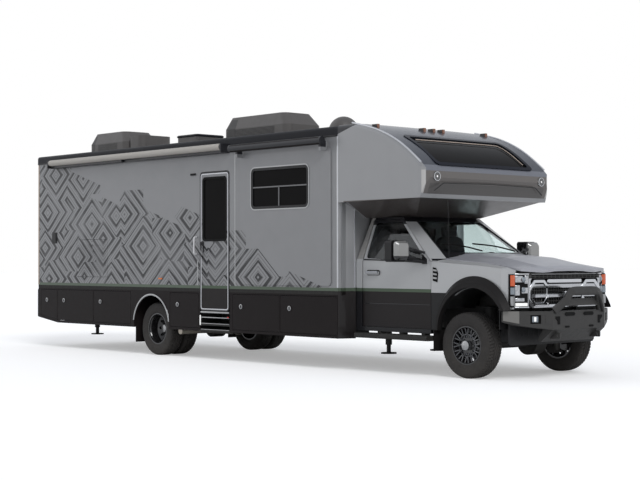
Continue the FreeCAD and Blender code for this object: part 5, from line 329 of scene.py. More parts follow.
# Colours and painted regions that several finishes share
BLACK_BROWN = (0.0110, 0.0085, 0.0088)
NIGHT = (0.016, 0.0165, 0.020)
LAMP_BLACK = (0.010, 0.010, 0.0105)
CAB_SILVER = (0.39, 0.395, 0.40)
SHADE = (0.028, 0.026, 0.026)
STRIPE = Zone(1.080, 1.124, (0.070, 0.098, 0.066))
LOWER = Zone(-1.0, 1.080, BLACK_BROWN)
ROOF_LINE = Zone(3.217, 4.0, NIGHT)
SLIDE_TOP = Zone(3.06, 3.216, NIGHT, inner=1.300)
GRAB_HANDLE = Zone(1.50, 1.95, (0.55, 0.55, 0.56), inner=1.279, rear=-0.86, front=-0.715)
BROW = Zone(2.655, 4.0, (0.042, 0.048, 0.064), outer=1.222)
# Dark paint over the cap's brow; its blue cast is a painted sky reflection.
BROW_FOOT_HIGHLIGHT = Zone(2.655, 2.735, (0.150, 0.158, 0.185), outer=1.222)
# Painted highlight: a lighter blue-grey band where the brow rolls over under the window.
NOSE = Zone(2.360, 2.655, (0.120, 0.110, 0.104), outer=1.222, rear=3.930)
NOSE_PANEL = Zone(2.360, 2.500, (0.082, 0.077, 0.074), outer=1.150, rear=3.930)
# Painted highlight: bright silver down the cap's front corners.
NOSE_CORNER_HIGHLIGHT = Zone(2.360, 2.664, (0.44, 0.43, 0.42), inner=1.225, rear=3.955)
UNDERSIDE = Zone(2.000, 2.306, (0.080, 0.070, 0.066), rear=2.500)
CAP_ROOF_LINE = Zone(3.225, 4.0, NIGHT, inner=1.222, rear=2.390, slope=0.30)
FENDER_REAR = Zone(-1.0, 1.080, LAMP_BLACK, front=4.30)
FENDER_NOSE = Zone(-1.0, 0.885, LAMP_BLACK, rear=4.90)
WHEEL_BAY = Zone(-1.0, 1.170, LAMP_BLACK, outer=0.985, front=5.05)
CAB_SIDE = Zone(1.124, 1.520, CAB_SILVER, inner=0.990)
CAB_STRIPE = Zone(1.080, 1.124, STRIPE.colour, inner=0.990)
CAB_PILLAR = Zone(1.520, 2.020, CAB_SILVER, inner=0.835, rear=3.20, front=4.00, lean=0.36)
CAB_BACK = Zone(1.520, 2.300, (0.250, 0.245, 0.235), inner=0.700, front=2.625)
DOOR_TOP = Zone(1.985, 3.0, (0.012, 0.012, 0.014))
DOOR_HEAD = Zone(1.40, 3.0, (0.013, 0.013, 0.014), inner=1.030)
MIRROR_FOOT = Zone(0.0, 1.555, (0.014, 0.014, 0.015))
# Painted shade: every grille part set back behind its front face is painted near black.
GRILLE_DEPTH_SHADE = Zone(0.0, 3.0, (0.012, 0.012, 0.012), front=5.245)
TAIL_LAMPS = Zone(0.0, 3.0, (0.36, 0.010, 0.010), front=-5.3)
CAP_LAMPS = Zone(2.3, 2.9, (0.050, 0.050, 0.052), rear=3.5)
ROOF_LAMPS = Zone(3.0, 4.0, (0.200, 0.060, 0.018))
REAR_ROOF_LAMPS = Zone(3.0, 4.0, (0.020, 0.017, 0.015), front=2.990)
COOLER_REAR = Zone(3.40, 3.74, SHADE, rear=-5.30, front=-4.985)
COOLER_FRONT = Zone(3.40, 3.74, SHADE, rear=-1.35, front=-0.975)

# Finishes: name, colour, roughness, metal, coat, mottle and its scale, then weave, its scale and its relief
GRAIN, CLOTH, MESH = Weave.GRAIN, Weave.CLOTH, Weave.MESH
COACH_SKIN = Finish("coach_skin", (0.222, 0.224, 0.230), 0.42, 0.2, 0.1, 0.05, 3.0, GRAIN, 900.0, 0.04,
                    zones=(STRIPE, ROOF_LINE, SLIDE_TOP, GRAB_HANDLE), graphic=True)
DOOR_SKIN = Finish("entry_door_skin", (0.232, 0.234, 0.240), 0.42, 0.1, 0.0, 0.05, 3.0, specular=0.2,
                   zones=(STRIPE, LOWER), graphic=True)
ROOF_BAND = Finish("roof_band", NIGHT, 0.42, 0.0, 0.0, 0.12, 4.0, specular=0.12)
LOWER_SKIN = Finish("lower_skin", BLACK_BROWN, 0.42, 0.0, 0.0, 0.12, 5.0, dust=0.02, specular=0.10)
CAP_SKIN = Finish("cap_skin", (0.270, 0.273, 0.280), 0.30, 0.30, 0.25, 0.04, 3.0, GRAIN, 1200.0, 0.03, zones=(
    BROW, BROW_FOOT_HIGHLIGHT, NOSE, NOSE_PANEL, UNDERSIDE, NOSE_CORNER_HIGHLIGHT, CAP_ROOF_LINE, LOWER, STRIPE))
FENDER_PAINT = Finish("fender_paint", (0.43, 0.435, 0.44), 0.34, 0.25, 0.15, 0.03, 3.0, specular=0.25,
                      zones=(FENDER_REAR, FENDER_NOSE, WHEEL_BAY))
CAB_SHELL = Finish("cab_shell", (0.010, 0.010, 0.012), 0.30, 0.15, 0.2, 0.04, 3.0, specular=0.25,
                   zones=(CAB_SIDE, CAB_STRIPE, CAB_PILLAR, CAB_BACK))
CAB_PAINT = Finish("cab_paint", (0.385, 0.39, 0.395), 0.34, 0.25, 0.15, 0.03, 3.0, specular=0.2,
                   zones=(LOWER, STRIPE, DOOR_TOP, DOOR_HEAD))
MIRROR_SHELL = Finish("mirror_shell", (0.25, 0.25, 0.245), 0.22, 0.4, 0.8, 0.06, 5.0, zones=(MIRROR_FOOT,))
CAB_BLACK = Finish("cab_black", (0.010, 0.010, 0.012), 0.2, 0.0, 0.3, 0.2, 3.0, specular=0.3)
HOOD_PAINT = Finish("hood_paint", (0.355, 0.36, 0.39), 0.40, 0.30, 0.2, 0.03, 3.0, specular=0.4)
CHASSIS = Finish("chassis_black", (0.012, 0.012, 0.012), 0.6, 0.0, 0.0, 0.3, 9.0, GRAIN, 300.0, 0.25,
                 dust=0.12, specular=0.3)
IRON = Finish("raw_iron", (0.06, 0.058, 0.055), 0.6, 0.5, 0.0, 0.3, 12.0, GRAIN, 220.0, 0.4, dust=0.15)
DULL_STEEL = Finish("dull_steel", (0.46, 0.42, 0.36), 0.42, 0.7, 0.0, 0.2, 8.0, dust=0.1)
POWDER = Finish("powder_coat", (0.036, 0.035, 0.034), 0.5, 0.1, 0.0, 0.12, 8.0, GRAIN, 900.0, 0.35,
                specular=0.4)
WING_GREY = Finish("wing_grey", (0.17, 0.165, 0.155), 0.42, 0.3, 0.2, 0.1, 8.0, GRAIN, 900.0, 0.2)
LINER = Finish("bay_liner", (0.020, 0.019, 0.018), 0.75, 0.0, 0.0, 0.25, 6.0, GRAIN, 350.0, 0.4,
               dust=0.12, specular=0.3)
CHROME = Finish("bright_chrome", (0.70, 0.71, 0.73), 0.07, 1.0, 0.0, 0.05, 5.0)
CHROME_FRAME = Finish("grille_chrome", (0.56, 0.57, 0.59), 0.10, 0.9, 0.0, 0.05, 5.0, zones=(GRILLE_DEPTH_SHADE,))
SATIN_METAL = Finish("satin_metal", (0.40, 0.405, 0.41), 0.3, 1.0, 0.0, 0.08, 20.0)
BAR_METAL = Finish("bar_metal", (0.15, 0.15, 0.155), 0.35, 0.5, 0.0, 0.08, 20.0)
# Bright metal of real trims and seams, also worn by the beads that paint the cap's edge highlights.
BRIGHT_EDGE_AND_HIGHLIGHT = Finish("bright_edge_and_highlight", (0.58, 0.59, 0.62), 0.3, 0.6, 0.3, 0.05, 6.0)
# Beige of the real corner strips, also used for the painted reflection line in the cap window.
BEIGE_TRIM_AND_REFLECTION = Finish("beige_trim_and_reflection", (0.40, 0.32, 0.26), 0.35, 0.2, 0.2, 0.05, 10.0)
TRIM_BLACK = Finish("trim_black", (0.012, 0.012, 0.013), 0.45, 0.0, 0.0, 0.15, 10.0, GRAIN, 700.0, 0.25,
                    specular=0.35)
FLARE = Finish("flare_plastic", (0.0125, 0.0115, 0.0115), 0.42, 0.0, 0.0, 0.1, 6.0, GRAIN, 800.0, 0.2,
               specular=0.15)
GAP_BLACK = Finish("gap_black", (0.005, 0.005, 0.005), 0.8, mottle=0.3, specular=0.2)
DARK_GLASS = Finish("dark_glass", (0.0078, 0.0074, 0.0076), 0.10, 0.0, 0.0, 0.25, 1.5, specular=0.03)
GLASS_RIM = Finish("glass_rim", (0.010, 0.0115, 0.018), 0.14, 0.0, 0.0, 0.2, 3.0, specular=0.05)
CLEAR_GLASS = Finish("clear_glass", (0.84, 0.93, 0.925), 0.015, 0.0, 0.0, 0.02, 2.0, see_through=1.0,
                     specular=0.3)
SIDE_GLASS = Finish("side_glass", (0.16, 0.185, 0.19), 0.015, 0.0, 0.0, 0.05, 2.0, see_through=1.0,
                    specular=0.3)
# White glow of the lamps; the step's reflector wears it too, so there the glow is painted light.
WHITE_LAMP_AND_PAINTED_GLOW = Finish("white_lamp_and_painted_glow", (0.82, 0.82, 0.80), 0.15, 0.0, 1.0, 0.05, 60.0, glow=0.35)
AMBER = Finish("amber_lens", (0.58, 0.085, 0.012), 0.14, 0.0, 0.8, 0.25, 90.0, MESH, 160.0, 0.5)
LENSES = Finish("lamp_lenses", (0.58, 0.13, 0.012), 0.16, 0.0, 0.6, 0.2, 90.0, MESH, 160.0, 0.4,
                zones=(TAIL_LAMPS, CAP_LAMPS, ROOF_LAMPS, REAR_ROOF_LAMPS))
RED_LENS = Finish("red_lens", (0.42, 0.012, 0.010), 0.14, 0.0, 1.0, 0.25, 90.0, MESH, 160.0, 0.5)
LENS_GLASS = Finish("lens_glass", (0.20, 0.23, 0.26), 0.06, 0.2, 1.0, 0.2, 30.0)
LAMP_CHROME = Finish("lamp_chrome", (0.50, 0.51, 0.53), 0.12, 1.0, 0.0, 0.5, 45.0)
WHEEL_BLACK = Finish("wheel_black", (0.012, 0.012, 0.013), 0.2, 0.1, 0.8, 0.15, 20.0, dust=0.03)
SPOKE_GLOSS = Finish("spoke_gloss", (0.070, 0.071, 0.076), 0.16, 0.7, 0.6, 0.2, 20.0)
NUT_STEEL = Finish("nut_steel", (0.30, 0.31, 0.33), 0.22, 1.0, 0.0, 0.08, 20.0)
TYRE_BLACK = Finish("tyre_rubber", (0.024, 0.0225, 0.022), 0.75, 0.0, 0.0, 0.18, 14.0, GRAIN, 260.0, 0.35,
                    dust=0.14, specular=0.3)
CABIN = Finish("cabin_plastic", (0.014, 0.014, 0.016), 0.6, 0.0, 0.0, 0.12, 8.0, GRAIN, 500.0, 0.3,
               specular=0.3)
SEAT_CLOTH = Finish("seat_cloth", (0.024, 0.026, 0.034), 0.9, 0.0, 0.0, 0.15, 40.0, CLOTH, 330.0, 0.5,
                    specular=0.2)
SHROUD = Finish("roof_shroud", (0.085, 0.079, 0.076), 0.5, 0.0, 0.1, 0.1, 4.0, GRAIN, 600.0, 0.25,
                zones=(COOLER_REAR, COOLER_FRONT))
AWNING_METAL = Finish("awning_metal", (0.020, 0.020, 0.023), 0.36, 0.2, 0.1, 0.1, 6.0)
AWNING_CLOTH = Finish("awning_cloth", (0.36, 0.34, 0.31), 0.55, 0.0, 0.1, 0.08, 30.0, CLOTH, 260.0, 0.3)
TOPPER_CLOTH = Finish("topper_cloth", (0.017, 0.0150, 0.0145), 0.6, 0.0, 0.0, 0.12, 30.0, CLOTH, 260.0, 0.3,
                      specular=0.12)

# Finishes of the nodes that the frame brings, by the node's name or by how it starts
NODE_FINISHES: dict[str, Finish] = {
    "chassis_frame": CHASSIS, "engine": IRON, "front_axle": CHASSIS, "rear_axle": CHASSIS,
    "exhaust": DULL_STEEL, "coach_floor": LINER, "side_walls": COACH_SKIN, "rear_wall": COACH_SKIN,
    "roof": ROOF_BAND,
    "front_cap": CAP_SKIN, "skirts": LOWER_SKIN, "rear_bumper": LOWER_SKIN, "cab_shell": CAB_SHELL,
    "windshield": CLEAR_GLASS, "fenders": FENDER_PAINT, "fender_flares": FLARE, "grille": CHROME_FRAME,
    "headlamps": CHROME, "small_lamps": LENSES, "front_bumper": POWDER, "dashboard": CABIN,
    "seats": SEAT_CLOTH, "side_steps": CHASSIS, "awning": AWNING_METAL, "roof_equipment": SHROUD,
    "coach_glass": DARK_GLASS,
    "levelling_jacks": CHASSIS, "hood": HOOD_PAINT, "entry_door": DOOR_SKIN, "entry_glass": DARK_GLASS,
    "slide_room": COACH_SKIN, "slide_glass": DARK_GLASS, "hatch_door": COACH_SKIN, "knuckle": IRON,
    "rim_front": WHEEL_BLACK, "rims_rear": WHEEL_BLACK, "tyre_front": TYRE_BLACK, "tyres_rear": TYRE_BLACK,
    "cab_door": CAB_PAINT, "cab_door_glass": SIDE_GLASS, "cab_door_glass_left": CLEAR_GLASS,
    "bay_door": LOWER_SKIN,
}


def node_finish(node: str) -> Finish:
    """Return the finish of a carried-over node: the one of the longest key that starts its name."""
    return NODE_FINISHES[max((key for key in NODE_FINISHES if node.startswith(key)), key=len)]


def grid_faces(rows: int, columns: int, close_rows: bool) -> Array:
    """Return the four-cornered faces between neighbouring points of a grid whose columns close on themselves.

    Args:
        rows: Points along the first parameter.
        columns: Points along the second parameter.
        close_rows: Whether the last row joins the first.

    Returns:
        Point numbers, one row of four to a face.
    """
    first, second = np.meshgrid(np.arange(rows - (not close_rows)), np.arange(columns), indexing="ij")
    below, beside = (first + 1) % rows, (second + 1) % columns
    corners = (first * columns + second, below * columns + second, below * columns + beside,
               first * columns + beside)
    return np.stack(corners, axis=-1).reshape(-1, 4)


def smooth_path(corners: Sequence[Sequence[float]], steps: int = 8) -> Array:
    """Return points along a smooth curve through the corners.

    Between two corners each coordinate is the Catmull-Rom cubic of its four neighbours.

    Args:
        corners: Points that the curve passes.
        steps: Points to a span.

    Returns:
        The curve's points.
    """
    points = np.asarray(corners, float)
    padded = np.vstack([points[:1] * 2 - points[1:2], points, points[-1:] * 2 - points[-2:-1]])
    before, here, ahead, beyond = padded[:-3, None], padded[1:-2, None], padded[2:-1, None], padded[3:, None]
    share = np.linspace(0.0, 1.0, steps, endpoint=False)[None, :, None]
    cubic = 2 * here + (ahead - before) * share + (2 * before - 5 * here + 4 * ahead - beyond) * share ** 2
    curve = (cubic + (3 * here - before - 3 * ahead + beyond) * share ** 3) / 2
    return np.vstack([curve.reshape(-1, points.shape[1]), points[-1:]])


def circle(radius: float, sides: int) -> Array:
    """Return the points of a circle, as pairs."""
    turn = np.linspace(0.0, math.tau, sides, endpoint=False)
    return np.stack([np.cos(turn), np.sin(turn)], axis=-1) * radius


def rounded_outline(low: Sequence[float], high: Sequence[float], radius: float, steps: int = 6) -> Array:
    """Return the outline of a flat rectangle with round corners.

    Each corner is a quarter circle about its own centre.

    Args:
        low: Lower pair.
        high: Upper pair.
        radius: Corner radius.
        steps: Points to a corner.

    Returns:
        The outline's points, as pairs.
    """
    centres = np.array([(high[0], high[1]), (low[0], high[1]), (low[0], low[1]), (high[0], low[1])], float)
    centres += np.array([(-radius, -radius), (radius, -radius), (radius, radius), (-radius, radius)])
    turn = (np.arange(4)[:, None] + np.linspace(0.0, 1.0, steps)[None, :]) * math.pi / 2
    ring = centres[:, None, :] + radius * np.stack([np.cos(turn), np.sin(turn)], axis=-1)
    return ring.reshape(-1, 2)


def grown(corners: Corners, amount: float, radius: float) -> Array:
    """Return the rounded outline of a rectangle that is grown by an amount all round."""
    low, high = np.array(corners)
    return rounded_outline(low - amount, high + amount, radius, 8)


def octagon(middle: float, half: float, low: float, high: float, cut: float) -> Array:
    """Return a rectangle's outline with cut corners, from its middle, half its width and its levels."""
    start, end = middle - half, middle + half
    return np.array([(start + cut, low), (end - cut, low), (end, low + cut), (end, high - cut),
                     (end - cut, high), (start + cut, high), (start, high - cut), (start, low + cut)])


class Shape:
    """Points and faces gathered from several forms, to become one piece."""

    def __init__(self) -> None:
        """Start empty."""
        self.points: list[Array] = []
        self.faces: list[list[int]] = []
        self.count = 0

    def add(self, points: Array, faces: Iterable[Sequence[int]]) -> "Shape":
        """Add one form's points and faces, and return the shape."""
        flat = np.asarray(points, float).reshape(-1, 3)
        self.faces += [[int(corner) + self.count for corner in face] for face in faces]
        self.points.append(flat)
        self.count += len(flat)
        return self

    def join(self, other: "Shape") -> "Shape":
        """Add all that another shape holds, and return the shape."""
        return self.add(np.vstack(other.points), other.faces)

    def tube_grid(self, rings: Array, closed: bool = False) -> "Shape":
        """Add a skin over a row of rings.

        The row's ends are closed with a face each, unless the row is a ring itself.

        Args:
            rings: Points, ring by ring, of shape (rings, ring points, 3).
            closed: Whether the last ring joins the first.

        Returns:
            The shape.
        """
        count, around = rings.shape[:2]
        faces = [list(face) for face in grid_faces(count, around, closed)]
        if not closed:
            faces += [list(range(around))[::-1], list(range((count - 1) * around, count * around))]
        return self.add(rings, faces)

    def prism(self, outline: Sequence[Sequence[float]], normal: Sequence[float]) -> "Shape":
        """Add the solid between a flat outline and its copy, moved by a vector."""
        ring = np.asarray(outline, float)
        return self.tube_grid(np.stack([ring, ring + np.asarray(normal, float)]))

    def slab(self, axis: int, outline: Array, low: float, high: float, round_share: float = 0.3) -> "Shape":
        """Add a plate with softened faces across one axis.

        Four rings run from one face to the other, and the outer two are drawn in towards the middle.

        Args:
            axis: Number of the axis across the plate.
            outline: Pairs of the other two axes, in order.
            low: Where the plate starts.
            high: Where it ends.
            round_share: How far the edge is drawn in, as a share of the thickness.

        Returns:
            The shape.
        """
        outline = np.asarray(outline, float)
        middle = outline.mean(axis=0)
        reach = np.linalg.norm(outline - middle, axis=1, keepdims=True)
        inset = min(abs(high - low) * round_share, float(reach.min()) * 0.5)
        small = middle + (outline - middle) * (1.0 - inset / reach)
        step = (high - low) * min(round_share, 0.45)
        pairs = [(small, low), (outline, low + step), (outline, high - step), (small, high)]
        return self.tube_grid(np.stack([np.insert(flat, axis, level, axis=1) for flat, level in pairs]))

    def plate(self, axis: int, corners: Corners, radius: float, low: float, high: float,
              round_share: float = 0.3, steps: int = 5) -> "Shape":
        """Add a slab with a rounded outline.

        Args:
            axis: Number of the axis across the plate.
            corners: Its lower and upper pair on the other two axes.
            radius: Corner radius.
            low: Where the plate starts.
            high: Where it ends.
            round_share: How far the edge is drawn in, as a share of the thickness.
            steps: Points to a corner.

        Returns:
            The shape.
        """
        return self.slab(axis, rounded_outline(*corners, radius, steps), low, high, round_share)

    def block(self, low: Sequence[float], high: Sequence[float], radius: float = 0.004) -> "Shape":
        """Add a box whose outline across its thinnest way and whose faces are softened."""
        size = np.asarray(high, float) - np.asarray(low, float)
        axis = int(np.argmin(np.abs(size)))
        others = [number for number in range(3) if number != axis]
        radius = min(radius, float(np.abs(size[others]).min()) * 0.49)
        corners = tuple([pick(low[number], high[number]) for number in others] for pick in (min, max))
        share = min(radius / abs(float(size[axis])), 0.3)
        return self.plate(axis, corners, radius, low[axis], high[axis], share, 4)

    def frame(self, axis: int, outer: Array, inner: Array, low: float, high: float) -> "Shape":
        """Add a flat ring between two outlines with the same number of points, across one axis."""
        pairs = ((outer, low), (outer, high), (inner, high), (inner, low))
        rings = [np.insert(np.asarray(flat, float), axis, level, axis=1) for flat, level in pairs]
        return self.tube_grid(np.stack(rings), closed=True)

    def lathe(self, profile: Sequence[Pair], centre: Sequence[float], axis: int, steps: int,
              closed: bool = False) -> "Shape":
        """Add a form turned about an axis.

        A point at (offset, radius) of the profile runs round the circle of that radius.

        Args:
            profile: Pairs of offset along the axis and radius.
            centre: A point on the axis.
            axis: Number of the axis.
            steps: Points round.
            closed: Whether the profile is a closed ring.

        Returns:
            The shape.
        """
        rings = [np.insert(circle(radius, steps), axis, offset, axis=1) for offset, radius in profile]
        return self.tube_grid(np.stack(rings) + np.asarray(centre, float), closed=closed)

    def sweep(self, section: Array, path: Sequence[Sequence[float]], up: Sequence[float]) -> "Shape":
        """Add a section carried along a path.

        At each point the section's first number runs across the path and its second along the given up line.

        Args:
            section: Pairs of the section's outline.
            path: Points of the path.
            up: Direction that the section keeps as its second axis, as near as the path allows.

        Returns:
            The shape.
        """
        path = np.asarray(path, float)
        ahead = np.gradient(path, axis=0)
        ahead /= np.linalg.norm(ahead, axis=1, keepdims=True)
        side = np.cross(ahead, np.asarray(up, float))
        side /= np.linalg.norm(side, axis=1, keepdims=True)
        lift = np.cross(side, ahead)
        section = np.asarray(section, float)
        rings = path[:, None] + side[:, None] * section[None, :, :1] + lift[:, None] * section[None, :, 1:]
        return self.tube_grid(rings)

    def pipe(self, corners: Sequence[Sequence[float]], radius: float, sides: int = 8) -> "Shape":
        """Add a round bar along a smooth path through three or more corners."""
        path = smooth_path(corners, 6)
        run = path[-1] - path[0]
        up = (0.0, 0.0, 1.0) if abs(run[2]) < 0.7 * float(np.linalg.norm(run)) else (1.0, 0.0, 0.0)
        return self.sweep(circle(radius, sides), path, up)

    def mirrored(self) -> "Shape":
        """Add the mirror image of all that the shape holds, and return the shape."""
        points = np.vstack(self.points) * (1.0, -1.0, 1.0)
        return self.add(points, [list(face)[::-1] for face in self.faces])

    def side(self, side: Side) -> "Shape":
        """Turn a shape made for the left side into the named side's, and return it."""
        if side.sign < 0:
            self.points = [points * (1.0, -1.0, 1.0) for points in self.points]
            self.faces = [face[::-1] for face in self.faces]
        return self

    def piece(self, name: str, finish: Finish, slot: str, body: str = ROOT,
              bevel: float = 0.0) -> bpy.types.Object:
        """Make the object, point its faces outwards, dress it and let it ride.

        Args:
            name: The piece's name.
            finish: Its finish.
            slot: The record's material slot that it stands for; not used.
            body: Body that carries it.
            bevel: Width of the softened edges.

        Returns:
            The new object.
        """
        mesh = bpy.data.meshes.new(name)
        mesh.from_pydata(np.vstack(self.points).tolist(), [], self.faces)
        work = bmesh.new()
        work.from_mesh(mesh)
        bmesh.ops.remove_doubles(work, verts=work.verts, dist=1e-6)
        bmesh.ops.recalc_face_normals(work, faces=work.faces)
        work.to_mesh(mesh)
        work.free()
        mesh.shade_smooth()
        mesh.set_sharp_from_angle(angle=math.radians(34.0))
        made = bpy.data.objects.new(name, mesh)
        bpy.context.scene.collection.objects.link(made)
        if bevel:
            soft = made.modifiers.new("soft_edges", "BEVEL")
            soft.width, soft.segments, soft.limit_method = bevel, 2, "ANGLE"
        mesh.materials.append(finish.material())
        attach(made, body)
        LOG.info("piece %s on %s: %d faces", name, body, len(mesh.polygons))
        return made

    def fit(self, side: Side, name: str, finish: Finish, slot: str, body: str = ROOT,
            bevel: float = 0.0) -> bpy.types.Object:
        """Turn a shape made for the left side to the named side, and make its piece with the side's name."""
        return self.side(side).piece(f"{name}_{side.label}", finish, slot, body, bevel)


@dataclass
class CoachShell:
    """Trim of the coach box: window frames, strips, arch trims, door seals and the right wall's fittings."""

    wall: float = 1.270
    slide_face: float = 1.285
    slide_window: Corners = ((0.553, 2.253), (1.798, 2.833))
    left_windows: tuple[Pair, ...] = ((-4.500, 0.900), (-2.100, 1.100), (-0.250, 1.245))
    rim_edges: Triple = (0.024, 0.008, -0.030)
    rim_corner: float = 0.072
    rim_reach: float = 0.007
    frame_depth: float = 0.014
    frame_reach: float = 0.005
    bar_place: float = 1.164
    bar_level: float = 2.560
    bar_half: float = 0.009
    bar_reach: float = 0.002
    strip_plane: float = 1.272
    rear_strip: Triple = (-5.388, 1.085, 3.215)
    joint_strips: tuple[Triple, ...] = ((2.372, 1.125, 3.21), (0.150, 1.125, 3.21), (-0.765, 1.125, 1.50))
    arch_centre: Pair = (-1.985, 0.480)
    arch_radius: float = 0.482
    arch_turn: Pair = (8.0, 172.0)
    porch_lamp: Corners = ((-0.935, 2.805), (-0.800, 2.838))
    porch_lens: Corners = ((-0.925, 2.810), (-0.810, 2.824))
    outlet: Corners = ((-4.935, 1.805), (-4.785, 1.995))
    outlet_lid: Corners = ((-4.915, 1.825), (-4.805, 1.975))
    louvre_span: Pair = (-4.09, -3.29)
    louvre_levels: Triple = (1.31, 1.80, 0.035)
    louvre_height: float = 0.014
    drip_rail: tuple[Triple, Triple] = ((-5.40, 1.2705, 3.206), (2.385, 1.2705, 3.206))
    seal_spans: tuple[Pair, ...] = ((-4.620, -2.550), (-1.420, -0.740), (0.070, 2.380))
    seal_section: Corners = ((1.220, 0.440), (1.229, 0.525))

    def build(self) -> None:
        """Make every piece of the shell's trim."""
        (_, low), (_, high) = self.slide_window
        self.window_trim("slide_window_trim", "slide_room", -self.slide_face, self.slide_window)
        for number, (rear, width) in enumerate(self.left_windows):
            window = ((rear, low), (rear + width, high))
            self.window_trim(f"left_window_trim_{number + 1}", ROOT, self.wall, window)
        self.strips()
        self.arch_trims()
        self.wall_fittings()
        section = rounded_outline((-0.010, -0.002), (0.010, 0.016), 0.005, 4)
        rails = Shape().sweep(section, self.drip_rail, (0.0, 1.0, 0.0)).mirrored()
        rails.piece("drip_rails", TRIM_BLACK, "trim_plastic")
        self.door_seals()

    def window_trim(self, name: str, body: str, plane: float, window: Corners) -> None:
        """Frame one window: a thin bright rim round a black frame, and glazing bars.

        Args:
            name: The rim's name.
            body: Body that carries it.
            plane: Y of the wall's outer face, below zero on the right.
            window: Lower and upper corners, as X and Z.
        """
        out = math.copysign(1.0, plane)
        depth = plane - out * self.frame_depth
        rims = [grown(window, edge, self.rim_corner + edge) for edge in self.rim_edges]
        rim = Shape().frame(1, rims[0], rims[1], plane, plane + out * self.rim_reach)
        rim.piece(name, SATIN_METAL, "awning_metal", body)
        black = Shape().frame(1, rims[1], rims[2], depth, plane + out * self.frame_reach)
        black.piece(name + "_frame", TRIM_BLACK, "trim_plastic", body)
        (rear, low), (front, _) = window
        (first, _), (last, _) = self.slide_window
        middle = rear + (front - rear) * (self.bar_place - first) / (last - first)
        bars = Shape()
        for corners in (((rear, self.bar_level - self.bar_half), (front, self.bar_level + self.bar_half)),
                        ((middle - self.bar_half, low), (middle + self.bar_half, self.bar_level))):
            bars.plate(1, corners, 0.004, depth, plane + out * self.bar_reach, 0.2, 3)
        bars.piece(name + "_bars", BAR_METAL, "awning_metal", body)

    def strips(self) -> None:
        """Run the beige strip up each rear corner, and the slim strips beside the cap and the awning."""
        section = rounded_outline((-0.016, -0.016), (0.016, 0.004), 0.005, 4)
        place, low, high = self.rear_strip
        path = ((place, self.strip_plane, low), (place, self.strip_plane, high))
        beige = Shape().sweep(section, path, (0.0, 1.0, 0.0)).mirrored()
        beige.piece("rear_corner_strips", BEIGE_TRIM_AND_REFLECTION, "coach_silver")
        slim = Shape()
        plane = -self.wall - 0.001
        for place, low, high in self.joint_strips:
            slim.sweep(section * 0.5, ((place, plane, low), (place, plane, high)), (0.0, -1.0, 0.0))
        slim.piece("wall_joint_strips", SATIN_METAL, "coach_silver")

    def arch_trims(self) -> None:
        """Lay a silver arc round each rear arch, carried along the arch's circle from sill to sill."""
        turn = np.radians(np.linspace(*self.arch_turn, 40))
        x = self.arch_centre[0] + self.arch_radius * np.cos(turn)
        z = self.arch_centre[1] + self.arch_radius * np.sin(turn)
        path = np.stack([x, np.full_like(x, self.strip_plane), z], axis=-1)
        section = rounded_outline((-0.014, -0.004), (0.014, 0.006), 0.004, 4)
        arcs = Shape().sweep(section, path, (0.0, 1.0, 0.0)).mirrored()
        arcs.piece("rear_arch_trims", SATIN_METAL, "bright_trim")

    def wall_fittings(self) -> None:
        """Fit the porch lamp, the outlet's cover and the hatch's louvres to the right wall."""
        plane = -self.wall
        cover = Shape().plate(1, self.porch_lamp, 0.012, plane, plane - 0.018)
        cover.piece("porch_lamp_body", TRIM_BLACK, "trim_plastic")
        lens = Shape().plate(1, self.porch_lens, 0.006, plane - 0.016, plane - 0.021)
        lens.piece("porch_lamp_lens", DARK_GLASS, "lamp_lens")
        outlet = Shape().plate(1, self.outlet, 0.020, plane, plane - 0.012)
        outlet.plate(1, self.outlet_lid, 0.012, plane - 0.011, plane - 0.019)
        outlet.piece("outlet_cover", TRIM_BLACK, "coach_silver")
        louvres = Shape()
        rear, front = self.louvre_span
        for level in np.arange(*self.louvre_levels):
            corners = ((rear, level), (front, level + self.louvre_height))
            louvres.plate(1, corners, 0.006, plane + 0.001, plane - 0.008, steps=4)
        louvres.piece("hatch_louvres", COACH_SKIN, "coach_silver", "hatch_door")

    def door_seals(self) -> None:
        """Run the black seals behind the foot of the baggage doors."""
        seals = Shape()
        inner, outer = self.seal_section
        for rear, front in self.seal_spans:
            seals.block((rear, *inner), (front, *outer), 0.003)
        seals.mirrored().piece("door_seals", GAP_BLACK, "trim_plastic")


